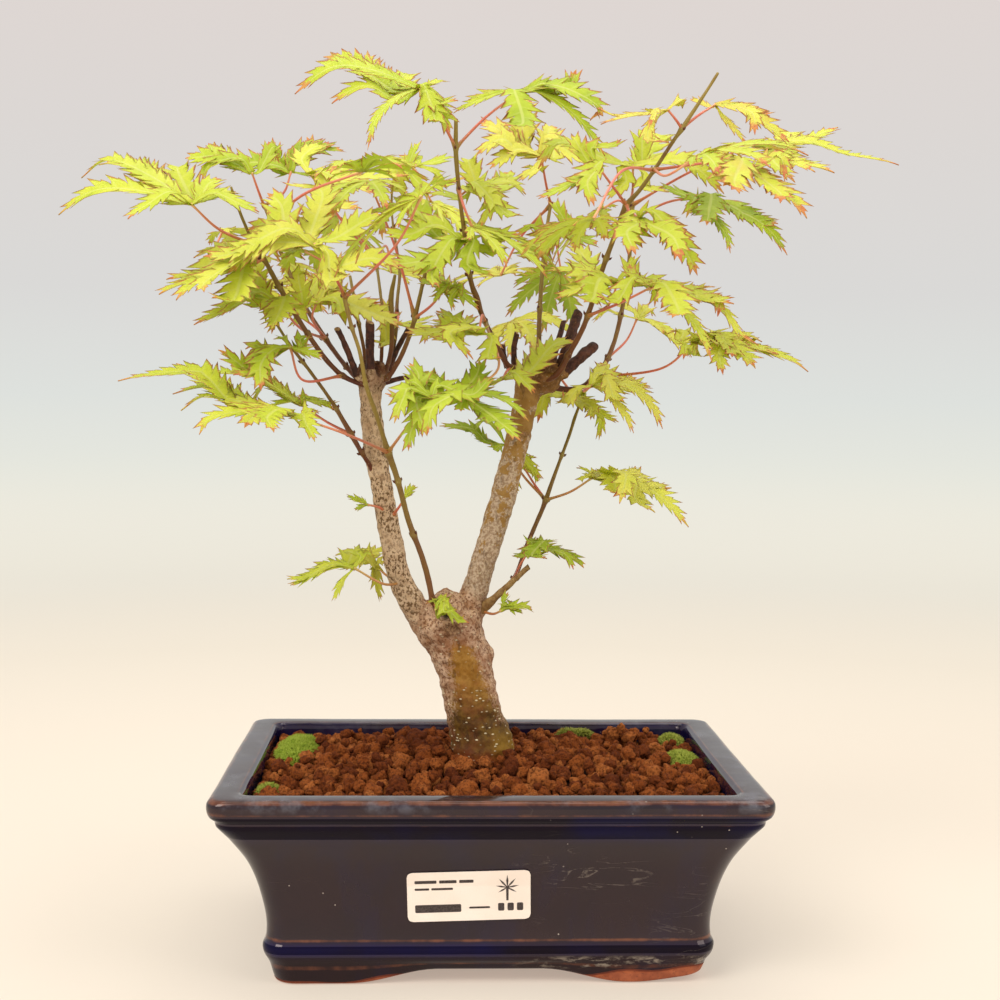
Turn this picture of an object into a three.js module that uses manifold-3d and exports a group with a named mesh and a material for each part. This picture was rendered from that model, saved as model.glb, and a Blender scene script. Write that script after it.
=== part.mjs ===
// Young palmate maple with two stems, grown in a glazed rectangular pot.
// Millimetres, +Z up, +X to the right, +Y to the back; origin on the table under the middle of the pot.
import * as THREE from "three";
import Module from "manifold-3d";

const wasm = await Module();
wasm.setup();
const { Manifold, Mesh } = wasm;

// ---- driving dimensions
const LIP_L = 212;          // pot, over the lip, left to right
const LIP_W = 155;          // pot, over the lip, front to back
const POT_H = 76.1;         // table to the top of the lip
const LIP_TOP = 10.2;       // width of the flat top of the lip
const WALL = 6.5;           // wall of the pot under the lip
const FLOOR_Z = 13.5;       // inside floor of the pot
const UNDER_Z = 7;          // underside of the pot between the feet
const FOOT_T = 13;          // thickness of the foot band, front to back
const ARCH_F = 108;         // width of the arch between the front feet
const ARCH_S = 56;          // width of the arch between the side feet
const ARCH_H = 5.6;         // height of the arches
const CORNER_R = 9;         // corner radius of the body
const GAP = 0.3;            // air between touching pieces
const SOIL_Z = 70.5;        // soil level at the wall
const SOIL_MOUND = 4.5;     // rise of the soil around the trunk
const SOIL_BUMP = 1.1;      // unevenness of the granules
const LEAF_T = 0.8;         // thickness of a leaf at its midrib
const PETIOLE_R = 0.75;     // leaf stalk radius
const LABEL_T = 0.5;

// ---- grown parts: points are [x, y, z] or [x, y, z, radius]
const TRUNK = [[-1.4,9.0,67.0,12.78],[-1.5,9.5,73.3,12.79],[-1.8,10.0,79.6,12.91],[-4.7,10.0,89.5,11.65],[-6.4,10.0,97.6,11.65],[-8.3,10.0,105.7,11.52],[-9.7,10.0,113.4,12.13],[-11.3,10.0,118.5,12.49],[-13.1,10.0,123.2,12.17],[-15.1,10.0,128.3,13.6],[-16.4,10.0,132.5,14.48]];
const STEM_LEFT = [[-24.1,9.0,128.4,7.13],[-31.2,8.1,138.7,5.67],[-36.9,7.3,149.7,4.91],[-39.9,6.7,162.3,4.73],[-42.2,6.0,174.6,4.58],[-44.4,4.5,187.0,4.45],[-46.6,3.0,199.3,4.67],[-48.3,2.2,211.9,4.61],[-49.3,1.5,224.6,4.59],[-47.1,2.5,236.4,4.15]];
const STEM_RIGHT = [[-10.2,11.0,130.7,7.99],[-5.9,12.2,142.1,5.75],[-2.4,13.0,154.5,5.27],[1.6,14.2,166.7,5.4],[5.1,15.3,178.7,5.45],[8.1,16.0,191.1,5.29],[11.4,16.7,203.4,5.2],[14.0,17.5,215.8,5.09],[16.5,18.0,228.4,5.61],[20.8,18.0,239.6,5.52]];
const STUBS = {
  Ls1: [[-54.5,-6.0,233.6,1.23],[-57.2,-9.0,241.2,1.22],[-59.8,-12.0,247.9,1.09],[-62.1,-14.0,252.2,1.09]],
  Ls2: [[-49.3,-4.0,233.7,1.85],[-49.3,-5.0,246.3,1.72],[-49.3,-6.0,255.6,1.72]],
  Ls3: [[-43.8,2.0,231.1,1.12],[-38.0,1.0,232.7,0.95],[-32.6,0.0,233.6,0.87]],
  Ls4: [[-42.0,10.0,235.8,1.05],[-38.8,14.0,245.1,1.06],[-33.1,20.0,256.4,0.98]],
  Rs1: [[10.9,14.0,237.3,1.37],[10.4,14.0,245.7,1.14],[11.5,13.0,252.8,1.05]],
  Rs2: [[29.9,14.0,238.3,1.9],[34.1,16.0,251.1,2.12],[37.6,18.0,261.8,2.0]],
  Rs3: [[26.8,24.0,239.9,1.5],[29.5,27.0,248.5,1.29],[32.6,30.0,259.0,1.08]],
  Rs4: [[31.2,20.0,236.0,2.13],[39.0,22.0,242.9,2.35],[45.2,24.0,248.2,2.14]],
  Rs5: [[7.7,18.0,238.2,1.06],[6.3,18.0,243.3,1.06],[5.9,19.0,248.4,0.85]],
  Ds1: [[-3.1,10.0,135.1,1.89],[0.2,8.0,138.8,1.88],[4.7,5.0,143.4,1.37],[16.7,-2.0,155.8,1.03]],
};

const SHOOTS = {
  C1: [[-22.5,-4.0,140.6,1.27],[-26.4,-7.0,156.1,1.18],[-31.8,-9.4,171.2,1.14],[-36.4,-12.8,187.5,1.11],[-41.0,-17.1,202.2,1.4],[-45.7,-21.6,217.1,0.96],[-50.4,-26.5,232.2,0.86],[-54.1,-28.6,248.2,0.75],[-58.0,-30.0,263.8,0.79]],
  C2: [[-49.2,-1.0,196.9,0.93],[-54.0,-6.7,205.1,0.97],[-59.1,-8.7,214.3,1.01],[-65.2,-10.2,224.3,0.75],[-71.8,-11.6,233.5,0.7],[-78.6,-13.3,242.5,0.67],[-84.6,-15.5,251.4,0.56],[-91.2,-18.0,259.9,0.44]],
  L1: [[-53.0,-3.0,230.5,1.03],[-62.9,-7.5,235.8,1.02],[-70.0,-12.1,244.4,1.01],[-76.4,-15.8,254.2,1.01],[-82.1,-20.5,264.0,1.01],[-87.5,-26.0,274.1,0.94],[-93.1,-31.3,282.8,0.81],[-97.3,-35.3,293.4,0.58],[-101.0,-39.0,304.4,0.47]],
  L2: [[-53.9,6.0,231.8,1.04],[-61.2,12.1,239.4,0.96],[-68.1,17.1,248.3,1.06],[-74.6,22.3,257.9,0.98],[-80.3,28.4,267.1,0.88],[-85.2,34.0,277.1,0.87],[-89.6,39.8,286.7,0.76],[-93.8,44.4,297.8,0.72],[-98.2,48.0,308.6,0.58]],
  U1: [[-43.8,3.0,234.8,1.04],[-41.0,4.0,244.8,0.96],[-40.7,4.8,255.3,0.95],[-41.2,6.0,265.5,1.14],[-39.6,4.0,275.5,0.62]],
  U2: [[-45.7,9.0,235.7,0.84],[-45.1,14.3,247.9,0.76],[-45.1,19.0,260.0,0.71],[-46.6,24.6,272.1,0.64],[-48.5,30.0,284.1,0.56]],
  U3: [[-42.5,11.0,236.6,0.84],[-40.0,16.5,248.3,0.81],[-39.1,22.9,260.0,0.83],[-38.7,27.9,271.7,0.69],[-38.5,34.3,283.6,0.62],[-40.6,40.2,294.5,0.54],[-42.3,44.9,307.2,0.48],[-42.4,50.0,319.3,0.49]],
  U4: [[-42.4,-3.0,233.0,1.03],[-37.9,-6.0,239.4,1.02],[-34.5,-9.1,246.5,0.94],[-31.9,-11.9,253.9,0.94],[-29.9,-14.3,261.7,0.84],[-28.1,-17.0,269.8,0.76],[-26.2,-19.0,277.3,0.6]],
  U5: [[-51.5,8.0,235.6,0.84],[-52.7,12.4,245.9,0.76],[-55.1,16.3,256.3,0.76],[-57.1,20.6,266.4,0.71],[-59.2,25.0,276.7,0.6]],
  R1: [[8.8,6.0,237.9,1.25],[2.0,0.2,247.9,1.07],[-3.6,-5.8,258.5,1.02],[-7.6,-11.0,269.2,1.11],[-10.3,-16.2,281.6,0.87],[-12.1,-21.1,294.7,0.83],[-13.9,-25.3,307.1,0.8],[-15.2,-29.9,319.6,0.91],[-15.3,-33.0,332.6,0.78]],
  R2: [[21.7,26.0,243.3,1.29],[22.0,31.4,256.4,1.05],[22.8,36.5,270.2,0.97],[24.1,41.2,284.4,0.88],[25.7,46.2,298.4,0.81],[27.8,50.0,312.0,0.67]],
  R3: [[27.8,8.0,235.2,1.34],[35.2,0.4,248.8,1.11],[40.8,-6.9,263.5,1.06],[45.2,-12.1,279.5,1.01],[50.6,-16.9,295.7,1.04],[58.8,-21.5,309.2,0.81],[68.3,-26.8,323.7,0.74],[77.1,-30.4,337.2,0.76],[86.2,-34.0,351.8,0.59]],
  R4: [[29.3,22.0,230.0,1.28],[41.9,26.0,231.5,1.13],[50.2,31.2,239.8,1.07],[55.5,36.7,251.4,1.0],[58.8,41.0,263.9,1.01],[61.3,44.8,276.5,0.91],[62.9,48.1,290.3,0.89],[63.9,50.6,303.2,1.06],[64.2,53.0,316.1,0.81]],
  D1: [[6.7,14.0,144.1,1.06],[13.1,16.8,152.0,0.96],[17.0,20.0,162.7,0.94],[21.8,22.9,173.4,0.96],[25.4,25.4,182.2,1.05],[29.3,28.5,192.7,0.8],[33.4,32.0,203.2,0.71],[37.2,35.1,213.6,0.72],[40.7,37.0,223.4,0.52]],
};

// where the stalks of a group of leaves leave their shoot: [shoot, point, shoot radius, direction]
const NODES = {
  l1_a: ["L1",[-93.5,-31.7,283.5],0.77,[-0.36,-0.41,0.84]],
  l1_b: ["L1",[-89.8,-28.5,278.3],0.9,[-0.5,-0.46,0.73]],
  l1_c: ["L1",[-60.4,-6.1,233.7],1.02,[-0.77,-0.39,0.51]],
  l2_a: ["L2",[-98.2,48.0,308.6],0.58,[-0.41,0.27,0.87]],
  l2_b: ["L2",[-69.0,17.8,249.6],1.06,[-0.52,0.41,0.75]],
  u2_a: ["U2",[-48.5,30.0,284.1],0.56,[-0.14,0.41,0.9]],
  c1_a: ["C1",[-58.0,-30.0,263.8],0.79,[-0.13,-0.0,0.99]],
  c1_b: ["C1",[-41.3,-17.3,203.0],1.38,[-0.3,-0.26,0.92]],
  crotch: ["C1",[-22.9,-4.3,142.2],1.27,[-0.22,-0.18,0.96]],
  r1_a: ["R1",[-15.3,-30.6,322.1],0.9,[-0.03,-0.26,0.96]],
  r1_b: ["R1",[-11.6,-20.0,291.5],0.84,[-0.14,-0.34,0.93]],
  r1_c: ["R1",[-13.9,-25.2,306.7],0.8,[-0.12,-0.33,0.94]],
  r1_d: ["R1",[-2.7,-4.7,256.7],1.0,[-0.4,-0.48,0.78]],
  r1_e: ["R1",[8.8,6.0,237.9],1.25,[-0.55,-0.45,0.71]],
  r2_a: ["R2",[27.7,49.8,311.2],0.68,[0.16,0.24,0.96]],
  r2_b: ["R2",[26.0,47.0,300.6],0.8,[0.13,0.3,0.94]],
  r3_a: ["R3",[53.1,-19.1,302.5],1.12,[0.5,-0.28,0.82]],
  r3_b: ["R3",[73.2,-29.1,331.2],0.86,[0.54,-0.17,0.82]],
  r3_c: ["R3",[63.3,-23.9,315.8],0.76,[0.53,-0.29,0.8]],
  r3_d: ["R3",[39.4,-5.1,259.1],1.06,[0.28,-0.37,0.89]],
  r4_a: ["R4",[64.1,52.2,311.9],0.95,[0.0,0.19,0.98]],
  r4_b: ["R4",[64.0,50.9,305.3],1.12,[0.04,0.16,0.99]],
  r4_c: ["R4",[46.8,28.5,235.0],1.1,[0.65,0.39,0.65]],
  r4_d: ["R4",[52.1,33.0,243.4],1.04,[0.4,0.42,0.81]],
  r4_e: ["R4",[44.1,27.1,233.0],1.12,[0.77,0.39,0.51]],
  u3_a: ["U3",[-42.4,50.0,319.3],0.49,[-0.01,0.39,0.92]],
  u3_b: ["U3",[-39.2,23.4,261.2],0.8,[-0.05,0.38,0.92]],
  u4_a: ["U4",[-31.0,-12.9,257.0],0.9,[0.23,-0.28,0.93]],
  d1_a: ["D1",[25.3,25.2,181.8],1.06,[0.33,0.27,0.9]],
  d1_b: ["D1",[40.7,37.0,223.4],0.52,[0.37,0.15,0.92]],
  d1_c: ["D1",[11.3,15.7,148.5],0.98,[0.55,0.27,0.79]],
  ds_a: ["Ds1",[-2.6,9.7,135.7],1.89,[0.62,-0.37,0.7]],
  ls_a: ["LS",[-36.2,7.4,147.7],4.97,[-0.38,-0.06,0.92]],
  ls_b: ["LS",[-36.2,7.4,147.7],4.97,[-0.38,-0.06,0.92]],
  c2_a: ["C2",[-56.7,-8.0,210.0],1.1,[-0.49,-0.17,0.86]],
};

// leaves of each group: b = base of the blade, n = face direction, p = stalk, l = lobes as [points, half width]
const LEAVES = {
  l1_a: [{"b":[-115.4,-44.0,297.1],"n":[0.02,-0.56,0.83],"p":[[-93.5,-31.7,283.5],[-106.1,-36.2,288.7]],"l":[[[[-141.0,-45.8,302.2],[-164.5,-47.5,293.6]],5.8],[[[-136.7,-35.5,310.9],[-160.4,-28.2,311.0]],6.5],[[[-134.7,-31.1,310.4],[-155.8,-18.2,317.4]],6.5],[[[-131.2,-27.5,305.7],[-140.9,-10.9,320.5]],6.5],[[[-125.9,-54.1,298.3],[-135.4,-63.9,289.9]],4.7],[[[-119.9,-31.0,305.7],[-122.7,-18.2,315.4]],6.5],[[[-111.8,-34.5,303.1],[-106.5,-26.3,310.2]],4.9],[[[-106.9,-41.2,300.6],[-98.4,-38.1,302.5]],3.2],[[[-102.7,-44.8,300.2],[-89.6,-45.9,295.4]],3.9]]},{"b":[-49.4,-73.4,305.8],"n":[-0.08,0.08,0.99],"p":[[-93.5,-31.7,283.5],[-74.9,-42.4,300.4]],"l":[[[[-43.4,-91.1,307.7],[-34.2,-106.7,303.0]],4.6],[[[-39.4,-85.5,307.6],[-28.9,-96.6,303.6]],4.5],[[[-53.7,-89.9,306.8],[-58.9,-105.2,301.6]],4.6],[[[-37.5,-75.4,306.9],[-26.0,-75.7,303.5]],3.6],[[[-58.1,-82.9,305.9],[-65.1,-92.7,301.6]],3.7],[[[-43.2,-70.9,306.0],[-37.2,-68.8,303.9]],2.2],[[[-55.8,-74.1,305.3],[-61.4,-76.3,302.8]],2.1]]}],
  l2_a: [{"b":[-102.5,40.0,321.6],"n":[0.02,-0.66,0.75],"p":[[-98.2,48.0,308.6],[-100.4,43.9,315.0]],"l":[[[[-116.7,42.0,328.7],[-132.1,45.2,329.2]],6.5],[[[-114.5,48.1,328.5],[-123.8,56.8,337.7]],6.2],[[[-113.6,39.3,327.1],[-124.2,38.6,318.6]],5.1],[[[-96.2,44.3,330.3],[-91.7,47.6,327.8]],3.5]]},{"b":[-87.6,59.6,325.2],"n":[-0.03,-0.79,0.62],"p":[[-98.2,48.0,308.6],[-90.2,53.1,315.2]],"l":[[[[-94.7,65.0,330.7],[-98.8,70.2,340.7]],4.8],[[[-84.0,67.4,332.9],[-81.9,74.1,343.8]],5.2],[[[-82.4,62.4,335.0],[-71.3,65.4,340.8]],5.1],[[[-80.1,62.4,336.1],[-64.8,65.5,336.7]],5.0],[[[-101.8,60.1,329.2],[-116.8,60.4,327.2]],5.3],[[[-75.7,57.6,324.2],[-73.4,55.8,315.7]],1.9]]},{"b":[-96.8,95.1,289.3],"n":[0.23,0.04,0.97],"p":[[-98.2,48.0,308.6],[-97.5,73.3,303.2]],"l":[[[[-94.9,116.3,288.1],[-96.7,136.1,280.5]],4.6],[[[-106.2,112.1,291.0],[-117.0,127.5,286.2]],4.6],[[[-87.1,112.1,286.3],[-78.4,127.2,277.0]],4.6],[[[-108.8,105.2,291.9],[-121.2,114.6,288.9]],4.6],[[[-81.5,100.2,285.4],[-68.2,104.2,276.5]],4.5],[[[-103.1,94.4,290.9],[-109.5,93.1,290.1]],2.3],[[[-88.6,92.6,287.4],[-81.8,89.4,282.9]],2.7]]}],
  u2_a: [{"b":[-77.4,37.7,321.7],"n":[0.01,-0.53,0.85],"p":[[-48.5,30.0,284.1],[-64.7,37.8,303.0]],"l":[[[[-56.1,37.9,320.0],[-34.7,38.0,322.5]],6.5],[[[-65.9,49.9,324.3],[-55.8,62.3,331.5]],6.5],[[[-63.6,29.1,317.5],[-48.3,22.1,311.8]],6.5],[[[-68.3,22.6,309.6],[-53.7,9.2,304.9]],6.5],[[[-76.8,32.6,315.1],[-88.1,29.2,317.0]],2.4],[[[-80.3,48.9,331.7],[-71.0,60.3,338.1]],6.0]]},{"b":[-66.0,55.3,304.9],"n":[0.44,0.2,0.88],"p":[[-48.5,30.0,284.1],[-57.2,40.8,296.5]],"l":[[[[-61.2,71.4,298.5],[-60.8,85.9,287.9]],4.6],[[[-70.8,69.5,303.8],[-75.5,82.1,297.0]],4.2],[[[-56.1,67.1,297.0],[-49.5,77.4,284.6]],4.4],[[[-75.1,64.2,307.3],[-85.8,70.9,305.2]],3.9],[[[-53.8,57.2,298.1],[-44.0,57.1,287.8]],3.7],[[[-71.0,55.7,307.2],[-76.4,54.6,307.5]],2.1],[[[-60.3,52.1,302.6],[-55.7,49.1,298.3]],2.2]]},{"b":[-43.5,81.8,283.4],"n":[0.19,-0.3,0.93],"p":[[-48.5,30.0,284.1],[-45.1,59.3,293.1]],"l":[[[[-30.2,93.1,285.4],[-17.4,104.5,282.4]],4.6],[[[-39.3,96.7,288.3],[-34.8,112.1,288.6]],4.6],[[[-27.7,87.0,282.8],[-12.8,92.0,277.6]],4.6],[[[-46.9,91.3,287.8],[-50.4,101.6,289.2]],3.4],[[[-31.9,79.3,280.9],[-21.1,78.5,275.7]],3.5],[[[-48.7,83.6,285.4],[-54.1,85.7,285.8]],2.1],[[[-38.8,77.6,281.4],[-34.8,73.7,277.9]],2.2]]}],
  c1_a: [{"b":[-68.4,-51.3,282.0],"n":[-0.02,-0.7,0.71],"p":[[-58.0,-30.0,263.8],[-62.1,-41.0,272.5]],"l":[[[[-80.5,-43.3,290.2],[-87.8,-34.8,303.6]],6.5],[[[-81.3,-43.5,286.9],[-95.2,-36.9,289.0]],6.3],[[[-88.4,-51.9,283.5],[-109.8,-52.5,277.6]],6.5],[[[-86.2,-53.4,281.6],[-100.3,-55.7,271.4]],6.4],[[[-52.9,-53.2,275.3],[-34.2,-55.1,274.3]],6.5],[[[-55.0,-48.7,287.6],[-42.6,-45.6,295.0]],6.0],[[[-68.3,-36.1,295.1],[-71.8,-21.9,308.1]],6.5],[[[-62.5,-55.1,272.4],[-54.5,-58.6,271.3]],4.2]]},{"b":[-27.7,-107.0,292.6],"n":[-0.56,-0.24,0.79],"p":[[-58.0,-30.0,263.8],[-37.2,-77.8,278.9]],"l":[[[[-38.6,-87.2,291.1],[-43.5,-66.4,284.1]],4.6],[[[-45.1,-98.4,282.8],[-58.6,-91.6,266.9]],4.6],[[[-31.6,-86.9,296.1],[-33.4,-66.8,291.7]],4.6],[[[-41.1,-105.0,283.7],[-51.2,-100.9,271.5]],4.2],[[[-24.3,-95.2,298.8],[-19.0,-82.7,299.8]],4.3],[[[-32.5,-111.5,287.8],[-35.5,-115.7,281.4]],2.4],[[[-22.6,-105.2,297.0],[-16.2,-103.1,298.6]],2.5]]},{"b":[-73.2,-36.2,280.8],"n":[0.13,-0.07,0.99],"p":[[-58.0,-30.0,263.8],[-64.3,-32.4,275.3]],"l":[[[[-87.5,-23.8,282.9],[-102.1,-13.2,276.8]],4.6],[[[-88.4,-35.9,282.2],[-102.7,-38.0,276.9]],4.4],[[[-78.9,-18.9,282.1],[-85.2,-3.0,275.8]],4.6],[[[-85.3,-40.6,281.6],[-96.6,-44.6,276.9]],3.7],[[[-71.4,-22.8,281.0],[-70.4,-10.4,275.7]],3.8],[[[-76.2,-43.1,280.4],[-79.2,-49.2,277.0]],2.4],[[[-67.4,-31.6,280.1],[-62.9,-26.9,276.6]],2.3]]}],
  r1_a: [{"b":[-29.6,-42.0,342.3],"n":[0.03,-0.61,0.79],"p":[[-15.3,-30.6,322.1],[-21.5,-34.8,332.5]],"l":[[[[-53.9,-43.4,349.7],[-76.4,-45.0,340.1]],6.5],[[[-48.8,-30.8,349.2],[-67.5,-19.9,359.7]],6.5],[[[-44.9,-25.3,349.1],[-50.1,-9.4,364.4]],6.5],[[[-45.1,-47.8,340.4],[-62.0,-52.4,335.7]],6.5],[[[-41.9,-56.7,332.0],[-47.7,-69.9,315.8]],2.3],[[[-25.0,-50.6,334.5],[-23.9,-59.7,327.9]],5.1],[[[-22.4,-46.9,334.5],[-17.6,-51.8,324.9]],4.4],[[[-24.4,-47.9,337.0],[-14.8,-51.8,336.9]],4.7],[[[-24.1,-36.2,345.7],[-19.4,-29.6,348.1]],2.7],[[[-37.2,-27.8,345.1],[-32.5,-14.0,354.7]],6.4]]},{"b":[8.3,-16.0,345.6],"n":[0.08,-0.63,0.78],"p":[[-15.3,-30.6,322.1],[-4.0,-23.6,334.8]],"l":[[[[-3.7,-22.5,343.3],[-16.2,-26.1,337.0]],2.3],[[[-0.8,-16.0,345.4],[-10.4,-16.0,344.1]],3.6],[[[23.7,-13.3,348.1],[33.2,-11.0,358.1]],5.7],[[[28.0,-18.7,348.0],[37.9,-21.5,336.1]],6.5],[[[28.8,-21.1,339.5],[43.7,-26.8,322.0]],3.5],[[[9.6,-33.9,336.8],[2.6,-49.9,328.3]],6.5],[[[20.3,-16.5,350.1],[29.8,-17.3,344.0]],4.4]]}],
  r2_a: [{"b":[22.3,36.0,330.7],"n":[0.05,-0.73,0.68],"p":[[27.7,49.8,311.2],[24.9,42.2,319.7]],"l":[[[[14.4,42.9,343.0],[19.1,50.0,357.7]],6.1],[[[9.0,40.0,337.8],[-4.9,43.1,345.9]],6.0],[[[7.8,36.0,336.3],[-6.2,36.0,330.5]],5.9],[[[10.1,34.7,331.9],[0.1,32.9,324.4]],5.3],[[[27.6,48.8,337.2],[31.3,60.8,348.6]],6.4],[[[33.0,35.3,332.9],[49.9,34.8,328.8]],5.4],[[[20.2,30.7,324.3],[12.2,27.6,318.6]],3.8]]},{"b":[6.2,60.1,280.7],"n":[-0.16,-0.25,0.95],"p":[[27.7,49.8,311.2],[14.9,55.8,297.5]],"l":[[[[2.1,77.2,284.8],[0.3,94.9,282.8]],4.6],[[[-7.0,72.8,282.1],[-18.2,86.6,277.4]],4.6],[[[9.8,76.5,286.0],[14.5,93.3,284.9]],4.6],[[[-6.6,62.8,279.4],[-18.2,64.5,273.5]],3.7],[[[14.1,69.1,284.7],[21.8,78.9,284.1]],3.8],[[[0.7,57.0,279.0],[-4.2,54.5,275.4]],2.1],[[[12.3,61.6,282.3],[18.4,63.5,281.6]],2.2]]}],
  r3_a: [{"b":[39.6,-37.0,314.9],"n":[-0.01,-0.68,0.73],"p":[[53.1,-19.1,302.5],[45.8,-27.7,309.4]],"l":[[[[28.2,-44.5,306.6],[15.8,-52.3,300.6]],2.8],[[[35.2,-44.0,311.2],[26.4,-50.4,307.7]],4.4],[[[35.5,-46.6,309.0],[36.8,-53.5,298.2]],4.5],[[[39.4,-35.1,322.5],[49.0,-33.0,326.3]],3.5],[[[34.0,-31.3,320.8],[31.9,-25.9,328.5]],4.0]]},{"b":[57.3,-4.0,320.7],"n":[0.05,-0.63,0.78],"p":[[53.1,-19.1,302.5],[57.1,-4.9,309.4]],"l":[[[[61.4,0.5,329.5],[69.4,4.3,333.4]],4.1],[[[66.0,13.9,330.3],[77.3,30.9,336.5]],6.5],[[[77.9,-7.6,322.0],[93.8,-11.1,309.4]],6.5],[[[54.0,-7.6,313.7],[46.5,-9.4,306.3]],4.2],[[[36.1,-3.4,327.4],[18.7,-2.9,320.3]],6.5],[[[60.7,-9.0,312.0],[71.1,-12.2,309.7]],3.1]]},{"b":[55.8,-40.0,294.8],"n":[0.01,-0.61,0.79],"p":[[53.1,-19.1,302.5],[53.1,-29.7,298.5]],"l":[[[[67.0,-49.7,288.0],[75.7,-57.7,272.7]],5.8],[[[62.2,-42.3,295.3],[70.8,-43.4,292.3]],3.3],[[[62.8,-54.9,288.2],[68.1,-67.7,276.9]],6.2],[[[50.4,-52.6,289.2],[51.6,-62.8,279.1]],5.9],[[[48.8,-41.5,291.9],[40.4,-42.9,288.2]],3.9],[[[52.2,-48.1,289.6],[49.1,-55.6,282.7]],4.8]]}],
  r3_b: [{"b":[66.9,-34.0,337.3],"n":[-0.01,-0.51,0.86],"p":[[73.2,-29.1,331.2],[70.3,-32.1,334.0]],"l":[[[[53.9,-38.8,334.3],[39.9,-42.3,330.7]],2.3],[[[52.8,-32.5,335.0],[39.3,-31.2,338.6]],2.5],[[[58.4,-48.6,334.4],[55.4,-63.3,325.9]],2.3],[[[72.6,-29.3,342.5],[75.3,-22.5,343.1]],2.3],[[[58.3,-43.2,328.2],[64.9,-52.5,322.8]],2.5]]},{"b":[87.4,-22.0,341.9],"n":[0.05,-0.63,0.77],"p":[[73.2,-29.1,331.2],[80.3,-26.2,337.1]],"l":[[[[98.4,-22.5,339.8],[109.1,-23.0,340.4]],3.6],[[[102.6,-25.4,337.3],[116.1,-28.5,327.6]],5.2],[[[96.3,-33.2,338.6],[99.7,-42.1,328.0]],4.4],[[[91.5,-29.9,333.4],[97.4,-37.0,325.0]],1.9],[[[82.9,-19.3,342.6],[79.2,-16.9,345.7]],2.8]]}],
  r4_a: [{"b":[104.0,-8.0,328.5],"n":[0.0,-0.47,0.88],"p":[[64.1,52.2,311.9],[84.3,23.1,322.0]],"l":[[[[134.9,-8.9,328.6],[165.6,-10.0,324.0]],6.5],[[[125.7,3.3,331.9],[146.1,13.5,341.7]],6.5],[[[116.5,-22.8,322.0],[132.7,-34.9,315.5]],6.5],[[[112.6,-27.6,322.6],[122.4,-46.2,314.5]],6.5],[[[109.9,-30.9,321.5],[113.1,-52.8,308.7]],6.5],[[[121.5,9.6,332.0],[132.1,30.0,341.3]],6.5],[[[93.8,-9.5,326.2],[88.1,-11.2,326.9]],3.7]]}],
  r3_c: [{"b":[88.5,-44.0,316.9],"n":[0.18,-0.5,0.85],"p":[[63.3,-23.9,315.8],[75.8,-34.0,316.3]],"l":[[[[102.8,-55.2,307.0],[115.2,-65.5,293.8]],6.5],[[[99.8,-52.4,314.0],[107.8,-59.9,308.0]],5.3],[[[89.5,-61.7,310.8],[87.0,-78.9,300.1]],6.5],[[[88.5,-58.7,311.4],[82.3,-72.2,303.9]],6.4],[[[85.1,-52.8,312.9],[80.0,-60.9,311.4]],4.4],[[[99.1,-58.8,307.6],[103.1,-74.7,298.1]],6.5]]},{"b":[32.5,-93.7,287.5],"n":[-0.21,0.07,0.97],"p":[[63.3,-23.9,315.8],[45.6,-64.0,308.8]],"l":[[[[22.4,-80.9,284.5],[14.5,-68.7,276.5]],4.5],[[[18.9,-88.6,284.2],[7.6,-82.7,276.4]],4.2],[[[30.3,-79.5,286.1],[28.0,-66.7,280.0]],4.0],[[[21.1,-96.1,285.2],[11.0,-98.2,279.2]],3.5],[[[36.1,-81.8,287.6],[38.8,-70.5,283.2]],3.6],[[[28.6,-98.1,286.9],[24.7,-101.8,284.4]],2.0],[[[37.3,-90.4,288.4],[42.0,-87.0,287.1]],2.1]]},{"b":[67.0,-102.5,308.3],"n":[-0.23,-0.19,0.95],"p":[[63.3,-23.9,315.8],[59.1,-88.1,304.0]],"l":[[[[84.8,-108.7,311.9],[103.4,-112.0,309.5]],4.6],[[[82.7,-100.6,312.9],[98.6,-97.2,312.0]],4.6],[[[76.6,-118.5,307.9],[85.9,-133.2,301.4]],4.6],[[[76.1,-95.4,312.2],[85.5,-87.8,311.9]],3.7],[[[68.5,-116.9,306.1],[70.0,-129.7,299.4]],4.1],[[[67.4,-96.7,309.7],[67.5,-90.9,308.8]],2.1],[[[64.7,-108.2,306.7],[64.0,-113.7,303.5]],2.1]]}],
  r4_b: [{"b":[89.8,12.0,310.5],"n":[0.09,-0.59,0.81],"p":[[64.0,50.9,305.3],[77.2,32.3,310.8]],"l":[[[[106.7,0.2,301.2],[120.7,-10.0,286.5]],4.9],[[[91.6,-4.2,298.8],[95.4,-19.3,285.3]],3.0],[[[89.4,-3.8,305.7],[85.7,-18.1,295.7]],6.5],[[[85.5,3.7,305.9],[79.6,-3.8,300.3]],4.8],[[[80.5,13.3,311.6],[71.3,14.1,315.3]],4.2],[[[103.9,3.0,303.4],[117.1,-7.0,298.6]],5.8]]},{"b":[49.9,39.7,308.7],"n":[-0.62,0.14,0.77],"p":[[64.0,50.9,305.3],[57.5,40.0,312.1]],"l":[[[[38.5,47.0,298.7],[29.7,52.0,285.1]],4.3],[[[36.4,39.3,298.4],[26.3,37.3,285.0]],4.4],[[[44.2,50.3,302.6],[41.0,59.8,293.8]],3.7],[[[40.9,32.9,303.1],[34.1,26.6,294.4]],3.5],[[[51.4,49.9,308.5],[54.7,59.2,305.7]],3.1],[[[48.2,33.0,308.8],[47.7,26.3,307.1]],2.3],[[[52.6,43.8,310.4],[56.2,47.4,310.6]],1.9]]}],
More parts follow.
